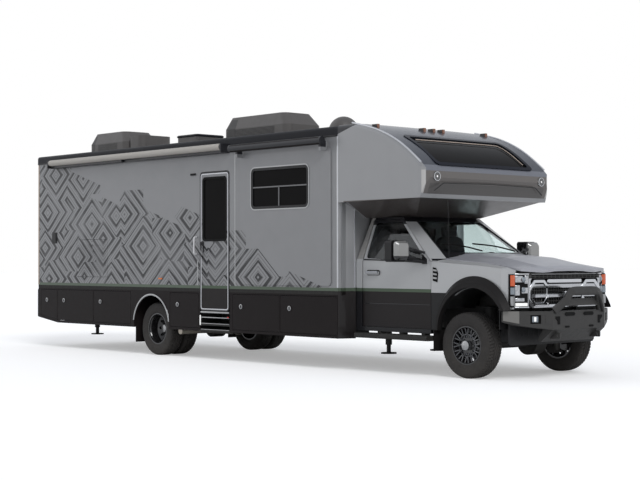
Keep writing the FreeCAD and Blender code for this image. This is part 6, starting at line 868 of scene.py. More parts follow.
@dataclass
class EntryDoor:
    """Trim of the entry door and its step: outlines, glass frame, latch, sill, treads, a small lamp and a
    white reflector whose glow is painted light.
    """

    plane: float = -1.270
    door: Corners = ((-0.701, 0.737), (0.015, 2.842))
    glass: Corners = ((-0.617, 1.814), (-0.069, 2.744))
    latch_plate: Corners = ((-0.672, 1.620), (-0.602, 1.795))
    pull_place: float = -0.637
    pull_path: tuple[Pair, ...] = ((0.010, 1.645), (0.034, 1.665), (0.036, 1.71), (0.034, 1.745),
                                   (0.010, 1.765))
    step_span: Pair = (-0.690, 0.004)
    sill_across: Pair = (-1.276, -1.235)
    sill_levels: Pair = (0.7315, 0.709)
    tread_levels: Pair = (0.456, 0.546)
    tread_rows: int = 6
    tread_start: float = -1.262
    tread_spacing: float = 0.040
    nose_levels: Triple = (0.455, 0.545, 0.640)
    nose_inset: float = 0.002
    nose_across: Pair = (-1.266, -1.252)
    marker: tuple[Triple, Triple] = ((-0.704, -1.277, 0.520), (-0.682, -1.268, 0.672))
    lamp: tuple[Triple, Triple] = ((-0.040, -1.277, 0.640), (0.000, -1.268, 0.662))

    def build(self) -> None:
        """Make the door's trim, then the step's."""
        for name, corners, outer, inner, depth, reach, finish, slot in (
                ("entry_door_rim", self.door, (-0.002, 0.060), (-0.022, 0.042), 0.001, 0.006, TRIM_BLACK,
                 "trim_plastic"),
                ("entry_door_bead", self.door, (-0.022, 0.044), (-0.038, 0.030), 0.001, 0.005, BRIGHT_EDGE_AND_HIGHLIGHT,
                 "bright_trim"),
                ("entry_glass_frame", self.glass, (0.022, 0.062), (-0.012, 0.040), 0.012, 0.005, GAP_BLACK,
                 "trim_plastic")):
            ring = Shape().frame(1, grown(corners, *outer), grown(corners, *inner), self.plane + depth,
                                 self.plane - reach)
            ring.piece(name, finish, slot, "entry_door")
        latch = Shape().plate(1, self.latch_plate, 0.018, self.plane, self.plane - 0.012, steps=6)
        latch.pipe([(self.pull_place, self.plane - out, level) for out, level in self.pull_path], 0.008, 12)
        latch.piece("entry_latch", TRIM_BLACK, "trim_plastic", "entry_door")
        self.step()

    def step(self) -> None:
        """Fit the bright sill, the tread strips, the noses, the small lamp and the white reflector of the
        step well, whose glow is painted light.
        """
        rear, front = self.step_span
        inner, outer = self.sill_across
        sill = Shape().plate(2, ((rear, inner), (front, outer)), 0.010, *self.sill_levels, 0.25)
        sill.piece("step_sill", SATIN_METAL, "bright_trim")
        strips = Shape()
        for level in self.tread_levels:
            for row in range(self.tread_rows):
                y = self.tread_start + row * self.tread_spacing
                strips.block((rear, y, level - 0.001), (front, y + 0.012, level + 0.004), 0.002)
        strips.piece("step_tread_strips", TRIM_BLACK, "trim_plastic")
        noses = Shape()
        inner, outer = self.nose_across
        rear, front = rear + self.nose_inset, front - self.nose_inset
        for level in self.nose_levels:
            noses.block((rear, inner, level - 0.006), (front, outer, level + 0.007), 0.003)
        noses.piece("step_noses", SATIN_METAL, "bright_trim")
        # Painted light: the white reflector takes the glowing lamp finish, though it is no lamp.
        Shape().block(*self.marker).piece("step_marker", WHITE_LAMP_AND_PAINTED_GLOW, "lamp_lens")
        Shape().block(*self.lamp).piece("step_lamp", RED_LENS, "amber_lens")


@dataclass
class BaggageDoors:
    """Round thumb latches of the baggage doors."""

    plane: float = 1.276
    rear: float = -5.400
    latch_height: float = 0.822
    latch_radius: float = 0.026
    inset: float = 0.200
    paddle_half: Pair = (0.007, 0.020)
    right: tuple[Pair, ...] = ((0.095, 0.516), (0.641, 1.101), (1.772, 1.071), (3.926, 0.730), (5.492, 1.059),
                               (6.581, 1.194))
    left: tuple[Pair, ...] = ((0.641, 1.101), (1.772, 1.071), (5.492, 1.059))

    def build(self) -> None:
        """Make each door's latch."""
        for side, doors in zip(SIDES, (self.right, self.left)):
            for number, (offset, width) in enumerate(doors):
                door = f"bay_door_{side.label}_{number + 1}"
                self.latch(side, door, self.rear + offset + min(self.inset, width / 2))

    def latch(self, side: Side, door: str, place: float) -> None:
        """Turn a bright bezel and set a thumb paddle in it.

        Args:
            side: The door's side.
            door: Name of the door's body.
            place: X of the latch.
        """
        radius, level = self.latch_radius, self.latch_height
        profile = [(0.0, radius + 0.010), (0.004, radius + 0.009), (0.006, radius), (0.002, radius - 0.005)]
        bezel = Shape().lathe(profile, (place, self.plane, level), 1, 28).side(side)
        bezel.piece(door + "_bezel", SATIN_METAL, "bright_trim", door)
        wide, tall = self.paddle_half
        corners = ((place - wide, level - tall), (place + wide, level + tall))
        paddle = Shape().plate(1, corners, 0.006, self.plane + 0.001, self.plane + 0.010, steps=4).side(side)
        paddle.piece(door + "_paddle", TRIM_BLACK, "trim_plastic", door)


@dataclass
class Awnings:
    """Rolled cloth of the patio awning and of the slide-out room's topper."""

    lap: float = 0.0035
    first_turn: float = 2.2
    patio: tuple[float, ...] = (-4.786, -0.020, -1.400, 3.190, 0.0525)
    topper: tuple[float, ...] = (0.225, 2.182, -1.3952, 3.148, 0.0585)

    def build(self) -> None:
        """Make both rolls."""
        self.roll(*self.patio).piece("patio_roll", AWNING_CLOTH, "awning_metal")
        self.roll(*self.topper).piece("topper_roll", TOPPER_CLOTH, "awning_metal", "slide_room")

    def roll(self, rear: float, front: float, y: float, z: float, radius: float) -> Shape:
        """Wind the cloth as a spiral: the radius shrinks by the cloth's lap once round.

        Args:
            rear: Rear end.
            front: Front end.
            y: Centre across.
            z: Centre height.
            radius: Outer radius.

        Returns:
            The roll's shape.
        """
        turn = np.linspace(0.0, math.tau, 48, endpoint=False)
        reach = radius - self.lap * (turn / math.tau)
        around = turn + self.first_turn
        ring = np.stack([0.0 * turn, y + reach * np.cos(around), z + reach * np.sin(around)], axis=-1)
        rings = [ring + (place, 0.0, 0.0) for place in np.linspace(rear, front, 24)]
        return Shape().tube_grid(np.stack(rings))


@dataclass
class RoofGear:
    """Louvres of the air conditioners and the roof vent's lid."""

    top: float = 3.400
    coolers: tuple[Pair, ...] = ((-5.190, 1.200), (-1.293, 1.574))
    louvre_rows: int = 7
    louvre_low: float = 0.045
    louvre_spacing: float = 0.019
    louvre_inset: float = 0.30
    louvre_across: Pair = (0.356, 0.362)
    lid: Corners = ((-2.655, -0.295), (-2.065, 0.295))
    lid_levels: Pair = (0.150, 0.186)

    def build(self) -> None:
        """Make the roof's small pieces."""
        louvres = Shape()
        inner, outer = self.louvre_across
        for rear, length in self.coolers:
            for row in range(self.louvre_rows):
                z = self.top + self.louvre_low + row * self.louvre_spacing
                ends = (rear + self.louvre_inset, rear + length - self.louvre_inset)
                louvres.block((ends[0], inner, z), (ends[1], outer, z + 0.009), 0.003)
        louvres.mirrored().piece("cooler_louvres", TRIM_BLACK, "roof_plastic")
        low, high = self.lid_levels
        lid = Shape().plate(2, self.lid, 0.060, self.top + low, self.top + high, steps=8)
        lid.piece("vent_lid", ROOF_BAND, "roof_plastic")


@dataclass
class FrontCap:
    """Skin details of the cap over the cab: window rim, painted reflection line, lamps, crease, bright edges,
    some of them painted highlights, and infills.
    """

    coach_front: float = 2.390
    half: float = 1.270
    brow_corners: tuple[Pair, ...] = ((0.0, 3.400), (0.300, 3.352), (0.760, 3.232), (1.150, 3.052),
                                      (1.505, 2.795), (1.636, 2.662))
    window_size: Triple = (0.939, 0.992, 1.704)
    rim_growth: float = 0.038
    rim_inset: float = 0.024
    rim_corners: Pair = (0.085, 0.066)
    rim_lifts: Pair = (0.001, 0.010)
    arch_way: Pair = (0.26, 1.70)
    arch_inset: float = 0.030
    bead_radius: float = 0.013
    lamp_centre: Triple = (4.032, 1.052, 2.583)
    lamp_ring: tuple[Pair, ...] = ((0.002, 0.062), (0.013, 0.060), (0.014, 0.053), (0.004, 0.050))
    lamp_dish: tuple[Pair, ...] = ((0.006, 0.051), (0.009, 0.046), (0.006, 0.024), (0.004, 0.0))
    lamp_lens: tuple[Pair, ...] = ((0.004, 0.021), (0.010, 0.019), (0.013, 0.010), (0.014, 0.0))
    crease_path: tuple[Triple, ...] = ((4.022, -1.085, 2.400), (4.034, -0.925, 2.500), (4.036, 0.0, 2.512),
                                       (4.034, 0.925, 2.500), (4.022, 1.085, 2.400))

    def brow(self, way: Array, lift: float) -> tuple[Array, Array]:
        """Return X and Z over the brow's curve.

        The curve passes the cap's corners from the roof to the nose, and a point lies at its way down the
        curve, moved along the curve's normal by the lift.

        Args:
            way: Distances down the curve from the roof.
            lift: Height over the surface.

        Returns:
            The points' X and their Z.
        """
        x, z = smooth_path(self.brow_corners, 16).T
        run = np.concatenate([[0.0], np.cumsum(np.hypot(np.diff(x), np.diff(z)))])
        ahead, fall = np.gradient(x, run), np.gradient(z, run)
        place_x = np.interp(way, run, x) - np.interp(way, run, fall) * lift + self.coach_front
        return place_x, np.interp(way, run, z) + np.interp(way, run, ahead) * lift

    def on_brow(self, corners: Corners, radius: float, lift: float) -> Array:
        """Return a rounded outline laid on the brow; its pairs are Y and the way down the curve."""
        ring = rounded_outline(*corners, radius, 8)
        ring = np.vstack([ring, ring[:1]])
        run = np.concatenate([[0.0], np.cumsum(np.hypot(*np.diff(ring, axis=0).T))])
        place = np.linspace(0.0, run[-1], 200, endpoint=False)
        across, way = np.interp(place, run, ring[:, 0]), np.interp(place, run, ring[:, 1])
        x, z = self.brow(way, lift)
        return np.stack([x, across, z], axis=-1)

    def build(self) -> None:
        """Make the cap's pieces."""
        self.window()
        self.lamps()
        section = rounded_outline((-0.005, -0.006), (0.005, 0.006), 0.003, 3)
        crease = Shape().sweep(section, self.crease_path, (1.0, 0.0, 0.0))
        crease.piece("cap_crease", TRIM_BLACK, "cap_silver")
        self.edges()

    def window(self) -> None:
        """Edge the front window with a dark rim, and paint a beige reflection line inside its glass."""
        half, top, foot = self.window_size
        rings = []
        for grow, radius, lifts in ((self.rim_growth, self.rim_corners[0], self.rim_lifts),
                                    (-self.rim_inset, self.rim_corners[1], self.rim_lifts[::-1])):
            corners = ((-half - grow, top - grow), (half + grow, foot + grow))
            rings += [self.on_brow(corners, radius, lift) for lift in lifts]
        Shape().tube_grid(np.stack(rings), closed=True).piece("cap_window_rim", GLASS_RIM, "dark_glass")
        # Painted reflection: a beige line across the top of the glass and down its left side.
        corners = [(-half + 0.10, top + 0.110), (0.0, top + 0.104), (half - 0.22, top + 0.110),
                   (half - 0.13, top + 0.160), (half - 0.10, top + 0.26), (half - 0.08, foot - 0.09)]
        across, way = smooth_path(corners, 10).T
        x, z = self.brow(way, 0.003)
        section = rounded_outline((-0.009, -0.003), (0.009, 0.003), 0.002, 3)
        line = Shape().sweep(section, np.stack([x, across, z], axis=-1), (0.6, 0.0, 0.8))
        line.piece("cap_window_line", BEIGE_TRIM_AND_REFLECTION, "cap_silver")

    def lamps(self) -> None:
        """Sink each round cap lamp in a thin bright ring, with a dark dish and a small lens."""
        for side in SIDES:
            ring = Shape().lathe(self.lamp_ring, self.lamp_centre, 0, 32, closed=True)
            ring.fit(side, "cap_lamp_ring", CHROME, "bright_trim")
            dish = Shape().lathe(self.lamp_dish, self.lamp_centre, 0, 32)
            dish.fit(side, "cap_lamp_dish", TRIM_BLACK, "trim_plastic")
            lens = Shape().lathe(self.lamp_lens, self.lamp_centre, 0, 24)
            lens.fit(side, "cap_lamp_lens", WHITE_LAMP_AND_PAINTED_GLOW, "lamp_lens")

    def edges(self) -> None:
        """Lay bright beads along the brow's arch and beside the corner panels, which paint the highlights on
        those edges, and one up the coach's seam.
        """
        # Painted highlight: a bright bead along each arch's rounded edge.
        x, z = self.brow(np.linspace(*self.arch_way, 40), self.rim_lifts[0])
        arch = np.stack([x, np.full_like(x, self.half - self.arch_inset), z], axis=-1)
        beads = Shape().sweep(circle(self.bead_radius, 10), arch, (0.0, 1.0, 0.0)).mirrored()
        beads.piece("cap_arch_beads", BRIGHT_EDGE_AND_HIGHLIGHT, "cap_silver")
        for name, finish, low, high, radius in (
                ("cap_seams", BRIGHT_EDGE_AND_HIGHLIGHT, (2.378, 1.266, 1.126), (2.396, 1.273, 3.21), 0.004),
                # Next row: bright strips that paint the highlight on the corner panels' edges.
                ("corner_panel_edges", BRIGHT_EDGE_AND_HIGHLIGHT, (2.470, 1.030, 1.126), (2.484, 1.046, 2.30), 0.004),
                ("corner_panel_infills", CAP_SKIN, (2.474, 0.760, 1.126), (2.482, 1.034, 2.255), 0.003)):
            Shape().block(low, high, radius).mirrored().piece(name, finish, "cap_silver")


@dataclass
class Cab:
    """Dressing of the cab: aerial, wipers, mirrors, weather strips, handles and cabin mirror."""

    half: float = 1.016
    aerial: tuple[Triple, ...] = ((4.057, -0.850, 1.500), (4.050, -0.850, 1.9), (4.036, -0.850, 2.272))
    aerial_foot: Triple = (4.057, -0.850, 1.492)
    foot_profile: tuple[Pair, ...] = ((0.0, 0.020), (0.016, 0.016), (0.030, 0.007), (0.036, 0.0))
    wiper_ends: tuple[tuple[Triple, Triple], ...] = (((3.905, 0.62, 1.612), (3.775, -0.10, 1.702)),
                                                     ((3.908, -0.05, 1.612), (3.790, -0.70, 1.690)))
    wiper_lift: float = 0.022
    mirror_shell: Corners = ((1.206, 1.500), (1.446, 1.752))
    mirror_glass: Corners = ((1.205, 1.560), (1.440, 1.748))
    arm_places: tuple[Pair, ...] = ((3.690, 1.010), (3.680, 1.080), (3.650, 1.225))
    arm_levels: tuple[Triple, ...] = ((1.500, 1.512, 1.560), (1.600, 1.612, 1.655))
    arm_radius: float = 0.026
    strip_path: tuple[Pair, ...] = ((2.640, 1.512), (3.300, 1.492), (3.790, 1.466))
    crease_path: tuple[Pair, ...] = ((2.640, 0.918), (3.200, 0.918), (3.870, 0.918))
    recess: Corners = ((2.688, 1.296), (2.950, 1.372))
    pull: Corners = ((2.700, 1.322), (2.940, 1.356))
    pull_feet: Pair = (2.712, 2.900)
    cabin_mirror: Corners = ((-0.115, 1.905), (0.115, 1.972))
    cabin_mirror_stalk: tuple[Triple, ...] = ((3.322, 0.0, 1.955), (3.345, 0.0, 1.968), (3.36, 0.0, 1.972))

    def build(self) -> None:
        """Make the cab's pieces."""
        mast = Shape().pipe(self.aerial, 0.0035).lathe(self.foot_profile, self.aerial_foot, 2, 20)
        mast.piece("aerial", TRIM_BLACK, "trim_plastic")
        wipers = Shape()
        for start, end in np.array(self.wiper_ends):
            lift = np.array((self.wiper_lift, 0.0, self.wiper_lift))
            wipers.pipe([start + lift * 0.6, (start + end) / 2 + lift * 1.5, end + lift * 0.9], 0.010)
        wipers.piece("wipers", GAP_BLACK, "trim_plastic")
        for side in SIDES:
            self.mirror(side)
            self.door(side)
        hanging = Shape().plate(0, self.cabin_mirror, 0.022, 3.300, 3.322, steps=6)
        hanging.pipe(self.cabin_mirror_stalk, 0.008).piece("cabin_mirror", CABIN, "cabin_plastic")

    def mirror(self, side: Side) -> None:
        """Dress one door mirror: bright cap, glass and the arms' boots."""
        body = "cab_door_" + side.label
        cap = Shape().plate(0, self.mirror_shell, 0.055, 3.600, 3.700, 0.35, 8)
        cap.fit(side, "mirror_cap", MIRROR_SHELL, "bright_trim", body)
        glass = Shape().plate(0, self.mirror_glass, 0.035, 3.549, 3.556, 0.2, 8)
        glass.fit(side, "mirror_glass", CHROME, "bright_trim", body)
        arms = Shape()
        for levels in self.arm_levels:
            corners = [(x, y, z) for (x, y), z in zip(self.arm_places, levels)]
            arms.pipe(corners, self.arm_radius, 12)
        arms.fit(side, "mirror_arms", TRIM_BLACK, "trim_plastic", body)

    def door(self, side: Side) -> None:
        """Fit the window's weather strip, the crease, the handle and its recess to one cab door."""
        body = "cab_door_" + side.label
        strip = Shape().pipe([(x, self.half + 0.001, z) for x, z in self.strip_path], 0.009, 10)
        strip.fit(side, "door_weather_strip", TRIM_BLACK, "trim_plastic", body)
        crease = Shape().pipe([(x, self.half - 0.002, z) for x, z in self.crease_path], 0.006)
        crease.fit(side, "door_crease", CAB_BLACK, "cab_black", body)
        recess = Shape().plate(1, self.recess, 0.030, self.half - 0.002, self.half + 0.002, 0.2, 6)
        recess.fit(side, "door_recess", CAB_BLACK, "cab_black", body)
        pull = Shape().plate(1, self.pull, 0.012, self.half + 0.028, self.half + 0.048)
        for place in self.pull_feet:
            pull.block((place, self.half, 1.326), (place + 0.028, self.half + 0.034, 1.352), 0.005)
        pull.fit(side, "door_pull", NUT_STEEL, "bright_trim", body, 0.003)


@dataclass(frozen=True)
class SlantPart:
    """One piece made of plates on a slanting face, lifted off it, with their thickness.

    Each plate's limits are two shares of the way along the face and two heights.
    """

    name: str
    finish: Finish
    slot: str
    lift: float
    thick: float
    plates: tuple[Plate, ...]
    bevel: float = 0.0


@dataclass(frozen=True)
class Slant:
    """A slanting upright face on the left: its ends as X and Y, and which way parts lift and thicken."""

    start: Pair
    end: Pair
    lift: Pair
    thick: Pair

    def place(self, share: float, lift: float) -> Pair:
        """Return X and Y a share of the way along the face, lifted off it."""
        pairs = zip(self.start, self.end, self.lift)
        x, y = [first + (last - first) * share + way * lift for first, last, way in pairs]
        return x, y

    def fit(self, part: SlantPart, side: Side) -> None:
        """Make a part's plates on the face of one side."""
        shape = Shape()
        for first, last, low, high in part.plates:
            near, far = self.place(first, part.lift), self.place(last, part.lift)
            corners = [(*near, low), (*far, low), (*far, high), (*near, high)]
            shape.prism(corners, (self.thick[0] * part.thick, self.thick[1] * part.thick, 0.0))
        shape.fit(side, part.name, part.finish, part.slot, bevel=part.bevel)


# The headlamp's raked face, and the bumper wing's face with its normal outwards
LAMP_FACE = Slant((5.264, 0.715), (5.180, 0.892), (1.0, 0.0), (-1.0, -0.4))
WING_NORMAL = (0.359 / math.hypot(0.359, 0.222), 0.222 / math.hypot(0.359, 0.222))
WING_FACE = Slant((5.492, 0.521), (5.270, 0.880), WING_NORMAL, WING_NORMAL)


@dataclass
class FrontEnd:
    """Grille, headlamp insides, fender vents and the steel bumper's plates, lamps and hooks."""

    face: float = 5.270
    mesh: Corners = ((-0.690, 0.925), (0.690, 1.315))
    top_bar: Corners = ((-0.712, 1.270), (0.712, 1.322))
    slot_levels: Pair = (1.277, 1.300)
    slot_spacing: float = 0.080
    slot_half: float = 0.032
    surround: Triple = (0.5175, 0.925, 1.255)
    surround_half: float = 0.1875
    surround_wall: float = 0.042
    bar_half: float = 0.345
    bar_levels: tuple[Pair, ...] = ((1.215, 1.258), (1.075, 1.105), (0.925, 0.965))
    rib_spacing: float = 0.048
    rib_levels: Triple = (0.985, 1.22, 0.045)
    fender: float = 1.017
    vent: tuple[Pair, ...] = ((3.925, 1.235), (4.005, 1.215), (4.020, 1.330), (3.985, 1.400), (3.925, 1.410))
    blade: tuple[Pair, ...] = ((3.934, 0.0), (3.998, -0.008), (4.000, 0.014), (3.934, 0.022))
    blade_levels: Triple = (1.262, 1.312, 1.362)
    lens_levels: Pair = (1.256, 1.130)
    lens_profile: tuple[Pair, ...] = ((-0.010, 0.034), (0.0, 0.033), (0.008, 0.024), (0.012, 0.0))
    wrap: tuple[Pair, ...] = ((5.182, 0.893), (5.196, 0.906), (5.197, 0.938), (5.175, 0.949), (5.150, 0.960))
    insert: tuple[Triple, ...] = ((5.262, 0.890, 0.715), (5.124, 1.036, 0.752), (5.124, 1.036, 0.868),
                                  (5.262, 0.890, 0.868))
    insert_lift: Pair = (0.00219, 0.00207)
    hook: tuple[Pair, ...] = ((0.385, 0.800), (0.470, 0.800), (0.470, 0.772), (0.430, 0.742), (0.430, 0.700),
                              (0.385, 0.700))
    hook_faces: Pair = (5.486, 5.4985)
    slot_faces: Pair = (5.4965, 5.5005)
    slot_outlines: tuple[tuple[float, ...], ...] = ((0.1875, 0.1025, 0.802, 0.848, 0.020),
                                                    (0.245, 0.045, 0.655, 0.680, 0.010))
    dam: tuple[float, ...] = (0.0, 0.860, 0.430, 0.900, 0.030)
    dam_faces: Pair = (5.050, 5.075)
    guard: tuple[float, ...] = (0.0, 0.500, 0.445, 0.625, 0.040)
    guard_faces: Pair = (4.600, 4.620)
    hoop_half: tuple[Triple, ...] = ((5.490, -0.500, 0.872), (5.560, -0.375, 0.985), (5.588, -0.300, 1.080),
                                     (5.590, -0.225, 1.118))
    hoop_top: Triple = (5.590, 0.0, 1.122)
    hoop_limit: float = 5.575

    def build(self) -> None:
        """Make the front end's pieces."""
        self.grille()
        for side in SIDES:
            self.headlamp(side)
            self.fender_vent(side)
            self.bumper_side(side)
        self.bumper_middle()
        self.hoop()

    def grille(self) -> None:
        """Build the black mesh, the top bar, the two cut-corner surrounds, the middle bars and the ribs."""
        face = self.face
        mesh = Shape().plate(0, self.mesh, 0.030, face - 0.050, face - 0.038, 0.2)
        mesh.piece("grille_mesh", GAP_BLACK, "trim_plastic")
        top = Shape().plate(0, self.top_bar, 0.016, face - 0.030, face + 0.006)
        top.piece("grille_top_bar", POWDER, "bright_trim")
        slots = Shape()
        for number in range(-8, 9):
            middle = number * self.slot_spacing
            start, end = middle - self.slot_half, middle + self.slot_half
            for level in self.slot_levels:
                slots.block((face + 0.005, start, level), (face + 0.008, end, level + 0.015), 0.002)
        slots.piece("grille_top_slots", GAP_BLACK, "trim_plastic")
        middle, low, high = self.surround
        wall = self.surround_wall
        outer = octagon(middle, self.surround_half, low, high, 0.085)
        inner = octagon(middle, self.surround_half - wall, low + wall, high - wall, 0.070)
        rings = Shape().frame(0, outer, inner, face - 0.036, face + 0.010).mirrored()
        rings.piece("grille_surrounds", CHROME, "bright_trim", bevel=0.006)
        bars = Shape()
        for low, high in self.bar_levels:
            bars.plate(0, ((-self.bar_half, low), (self.bar_half, high)), 0.012, face - 0.032, face + 0.004)
        bars.piece("grille_bars", CHROME, "bright_trim")
        ribs = Shape()
        for place in np.arange(-13, 14) * self.rib_spacing:
            ribs.block((face - 0.037, place - 0.005, 0.935), (face - 0.026, place + 0.005, 1.250), 0.002)
        for level in np.arange(*self.rib_levels):
            ribs.block((face - 0.037, -0.680, level - 0.004), (face - 0.028, 0.680, level + 0.004), 0.002)
        ribs.piece("grille_ribs", POWDER, "trim_plastic")

    def fender_vent(self, side: Side) -> None:
        """Set a plain vent in the fender behind the wheel: bright blades over a dark base."""
        base = Shape().slab(1, np.array(self.vent), self.fender - 0.004, self.fender + 0.004, 0.2)
        base.fit(side, "fender_vent", GAP_BLACK, "trim_plastic")
        blades = Shape()
        for level in self.blade_levels:
            blades.slab(1, np.array(self.blade) + (0.0, level), self.fender + 0.002, self.fender + 0.010, 0.2)
        blades.fit(side, "fender_blades", SATIN_METAL, "bright_trim")

    def headlamp(self, side: Side) -> None:
        """Fill one headlamp: dark house, stacked reflectors, lenses, bright strip, corner and rims."""
        house, reflectors, strip, rims = (
            SlantPart("lamp_house", GAP_BLACK, "trim_plastic", 0.002, 0.02, ((0.04, 0.96, 0.915, 1.325),)),
            SlantPart("lamp_reflectors", LAMP_CHROME, "bright_trim", 0.010, 0.012, (
                (0.06, 0.30, 1.205, 1.310), (0.42, 0.96, 1.222, 1.306), (0.06, 0.50, 1.085, 1.160),
                (0.62, 0.96, 1.060, 1.190), (0.30, 0.96, 0.985, 1.030)), 0.005),
            SlantPart("lamp_strip", WHITE_LAMP_AND_PAINTED_GLOW, "lamp_lens", 0.012, 0.014, ((0.10, 0.94, 0.928, 0.968),),
                      0.004),
            SlantPart("lamp_rims", CHROME, "bright_trim", 0.014, 0.03, (
                (0.0, 1.0, 0.905, 0.922), (0.0, 1.0, 1.318, 1.335)), 0.004))
        LAMP_FACE.fit(house, side)
        LAMP_FACE.fit(reflectors, side)
        lenses = Shape()
        for level in self.lens_levels:
            lenses.lathe(self.lens_profile, (*LAMP_FACE.place(0.36, 0.012), level), 0, 28)
        lenses.fit(side, "lamp_lenses", LENS_GLASS, "lamp_lens")
        LAMP_FACE.fit(strip, side)
        self.headlamp_wrap(side)
        LAMP_FACE.fit(rims, side)

    def headlamp_wrap(self, side: Side) -> None:
        """Carry the lamp round the fender's corner: dark house, amber lens, bright and glassy lower parts."""
        corners = np.array(self.wrap)
        across = np.gradient(corners, axis=0)
        out = np.stack([across[:, 1], -across[:, 0]], axis=-1)
        out /= np.linalg.norm(out, axis=1, keepdims=True)
        for name, finish, slot, count, low, high, lift in (
                ("lamp_wrap_house", GAP_BLACK, "trim_plastic", 5, 0.915, 1.325, 0.003),
                ("lamp_wrap_amber", AMBER, "amber_lens", 4, 1.178, 1.312, 0.010),
                ("lamp_wrap_clear", LENS_GLASS, "lamp_lens", 4, 1.075, 1.160, 0.008),
                ("lamp_wrap_rim", SATIN_METAL, "bright_trim", 4, 0.935, 1.050, 0.008)):
            inner, outer = corners[:count] - out[:count] * 0.004, corners[:count] + out[:count] * lift
            ring = [(x, y, low) for x, y in np.vstack([inner, outer[::-1]])]
            Shape().prism(ring, (0.0, 0.0, high - low)).fit(side, name, finish, slot)

    def bumper_side(self, side: Side) -> None:
        """Fit one side's fog lamp pocket, pale wing insert and hook slot."""
        for part in (
                SlantPart("fog_pocket_plates", POWDER, "bumper_steel", -0.030, 0.028, (
                    (0.205, 0.360, 0.700, 0.832), (0.690, 0.875, 0.700, 0.832), (0.355, 0.695, 0.700, 0.712),
                    (0.355, 0.695, 0.820, 0.832))),
                SlantPart("fog_pocket", GAP_BLACK, "trim_plastic", -0.040, 0.008, (
                    (0.350, 0.700, 0.708, 0.824),)),
                SlantPart("fog_cup", LENS_GLASS, "bumper_steel", -0.033, 0.012, (
                    (0.430, 0.620, 0.728, 0.806),), 0.004),
                SlantPart("fog_lamp", WHITE_LAMP_AND_PAINTED_GLOW, "lamp_lens", -0.024, 0.010, (
                    (0.495, 0.565, 0.738, 0.796),), 0.004)):
            WING_FACE.fit(part, side)
        insert = Shape().prism(np.array(self.insert) + (*self.insert_lift, 0.0), (0.004, 0.004, 0.0))
        insert.fit(side, "wing_insert", WING_GREY, "bumper_steel")
        Shape().slab(0, self.hook, *self.hook_faces, 0.1).fit(side, "hook_slot", GAP_BLACK, "trim_plastic")

    def bumper_middle(self) -> None:
        """Fit the cross plate's slots, the air dam and the steering guard."""
        slots = Shape()
        for outline in self.slot_outlines:
            slots.slab(0, octagon(*outline), *self.slot_faces, 0.1)
        slots.mirrored().piece("bumper_slots", GAP_BLACK, "trim_plastic")
        dam = Shape().slab(0, octagon(*self.dam), *self.dam_faces, 0.2)
        for place in np.arange(-7, 8) * 0.100:
            dam.block((5.046, place - 0.006, 0.540), (5.078, place + 0.006, 0.860), 0.003)
        dam.piece("air_dam", TRIM_BLACK, "trim_plastic")
        guard = Shape().slab(0, octagon(*self.guard), *self.guard_faces, 0.2)
        guard.piece("steering_guard", TRIM_BLACK, "trim_plastic")

    def hoop(self) -> None:
        """Clad the hoop in a broad bent plate: a flat section carried over feet, bends and top."""
        left = [(x, -y, z) for x, y, z in self.hoop_half[::-1]]
        path = smooth_path([*self.hoop_half, self.hoop_top, *left], 6)
        path[:, 0] = np.minimum(path[:, 0], self.hoop_limit)
        section = rounded_outline((-0.046, -0.016), (0.046, 0.020), 0.008, 4)
        Shape().sweep(section, path, (0.93, 0.0, 0.36)).piece("hoop_plate", POWDER, "bumper_steel")


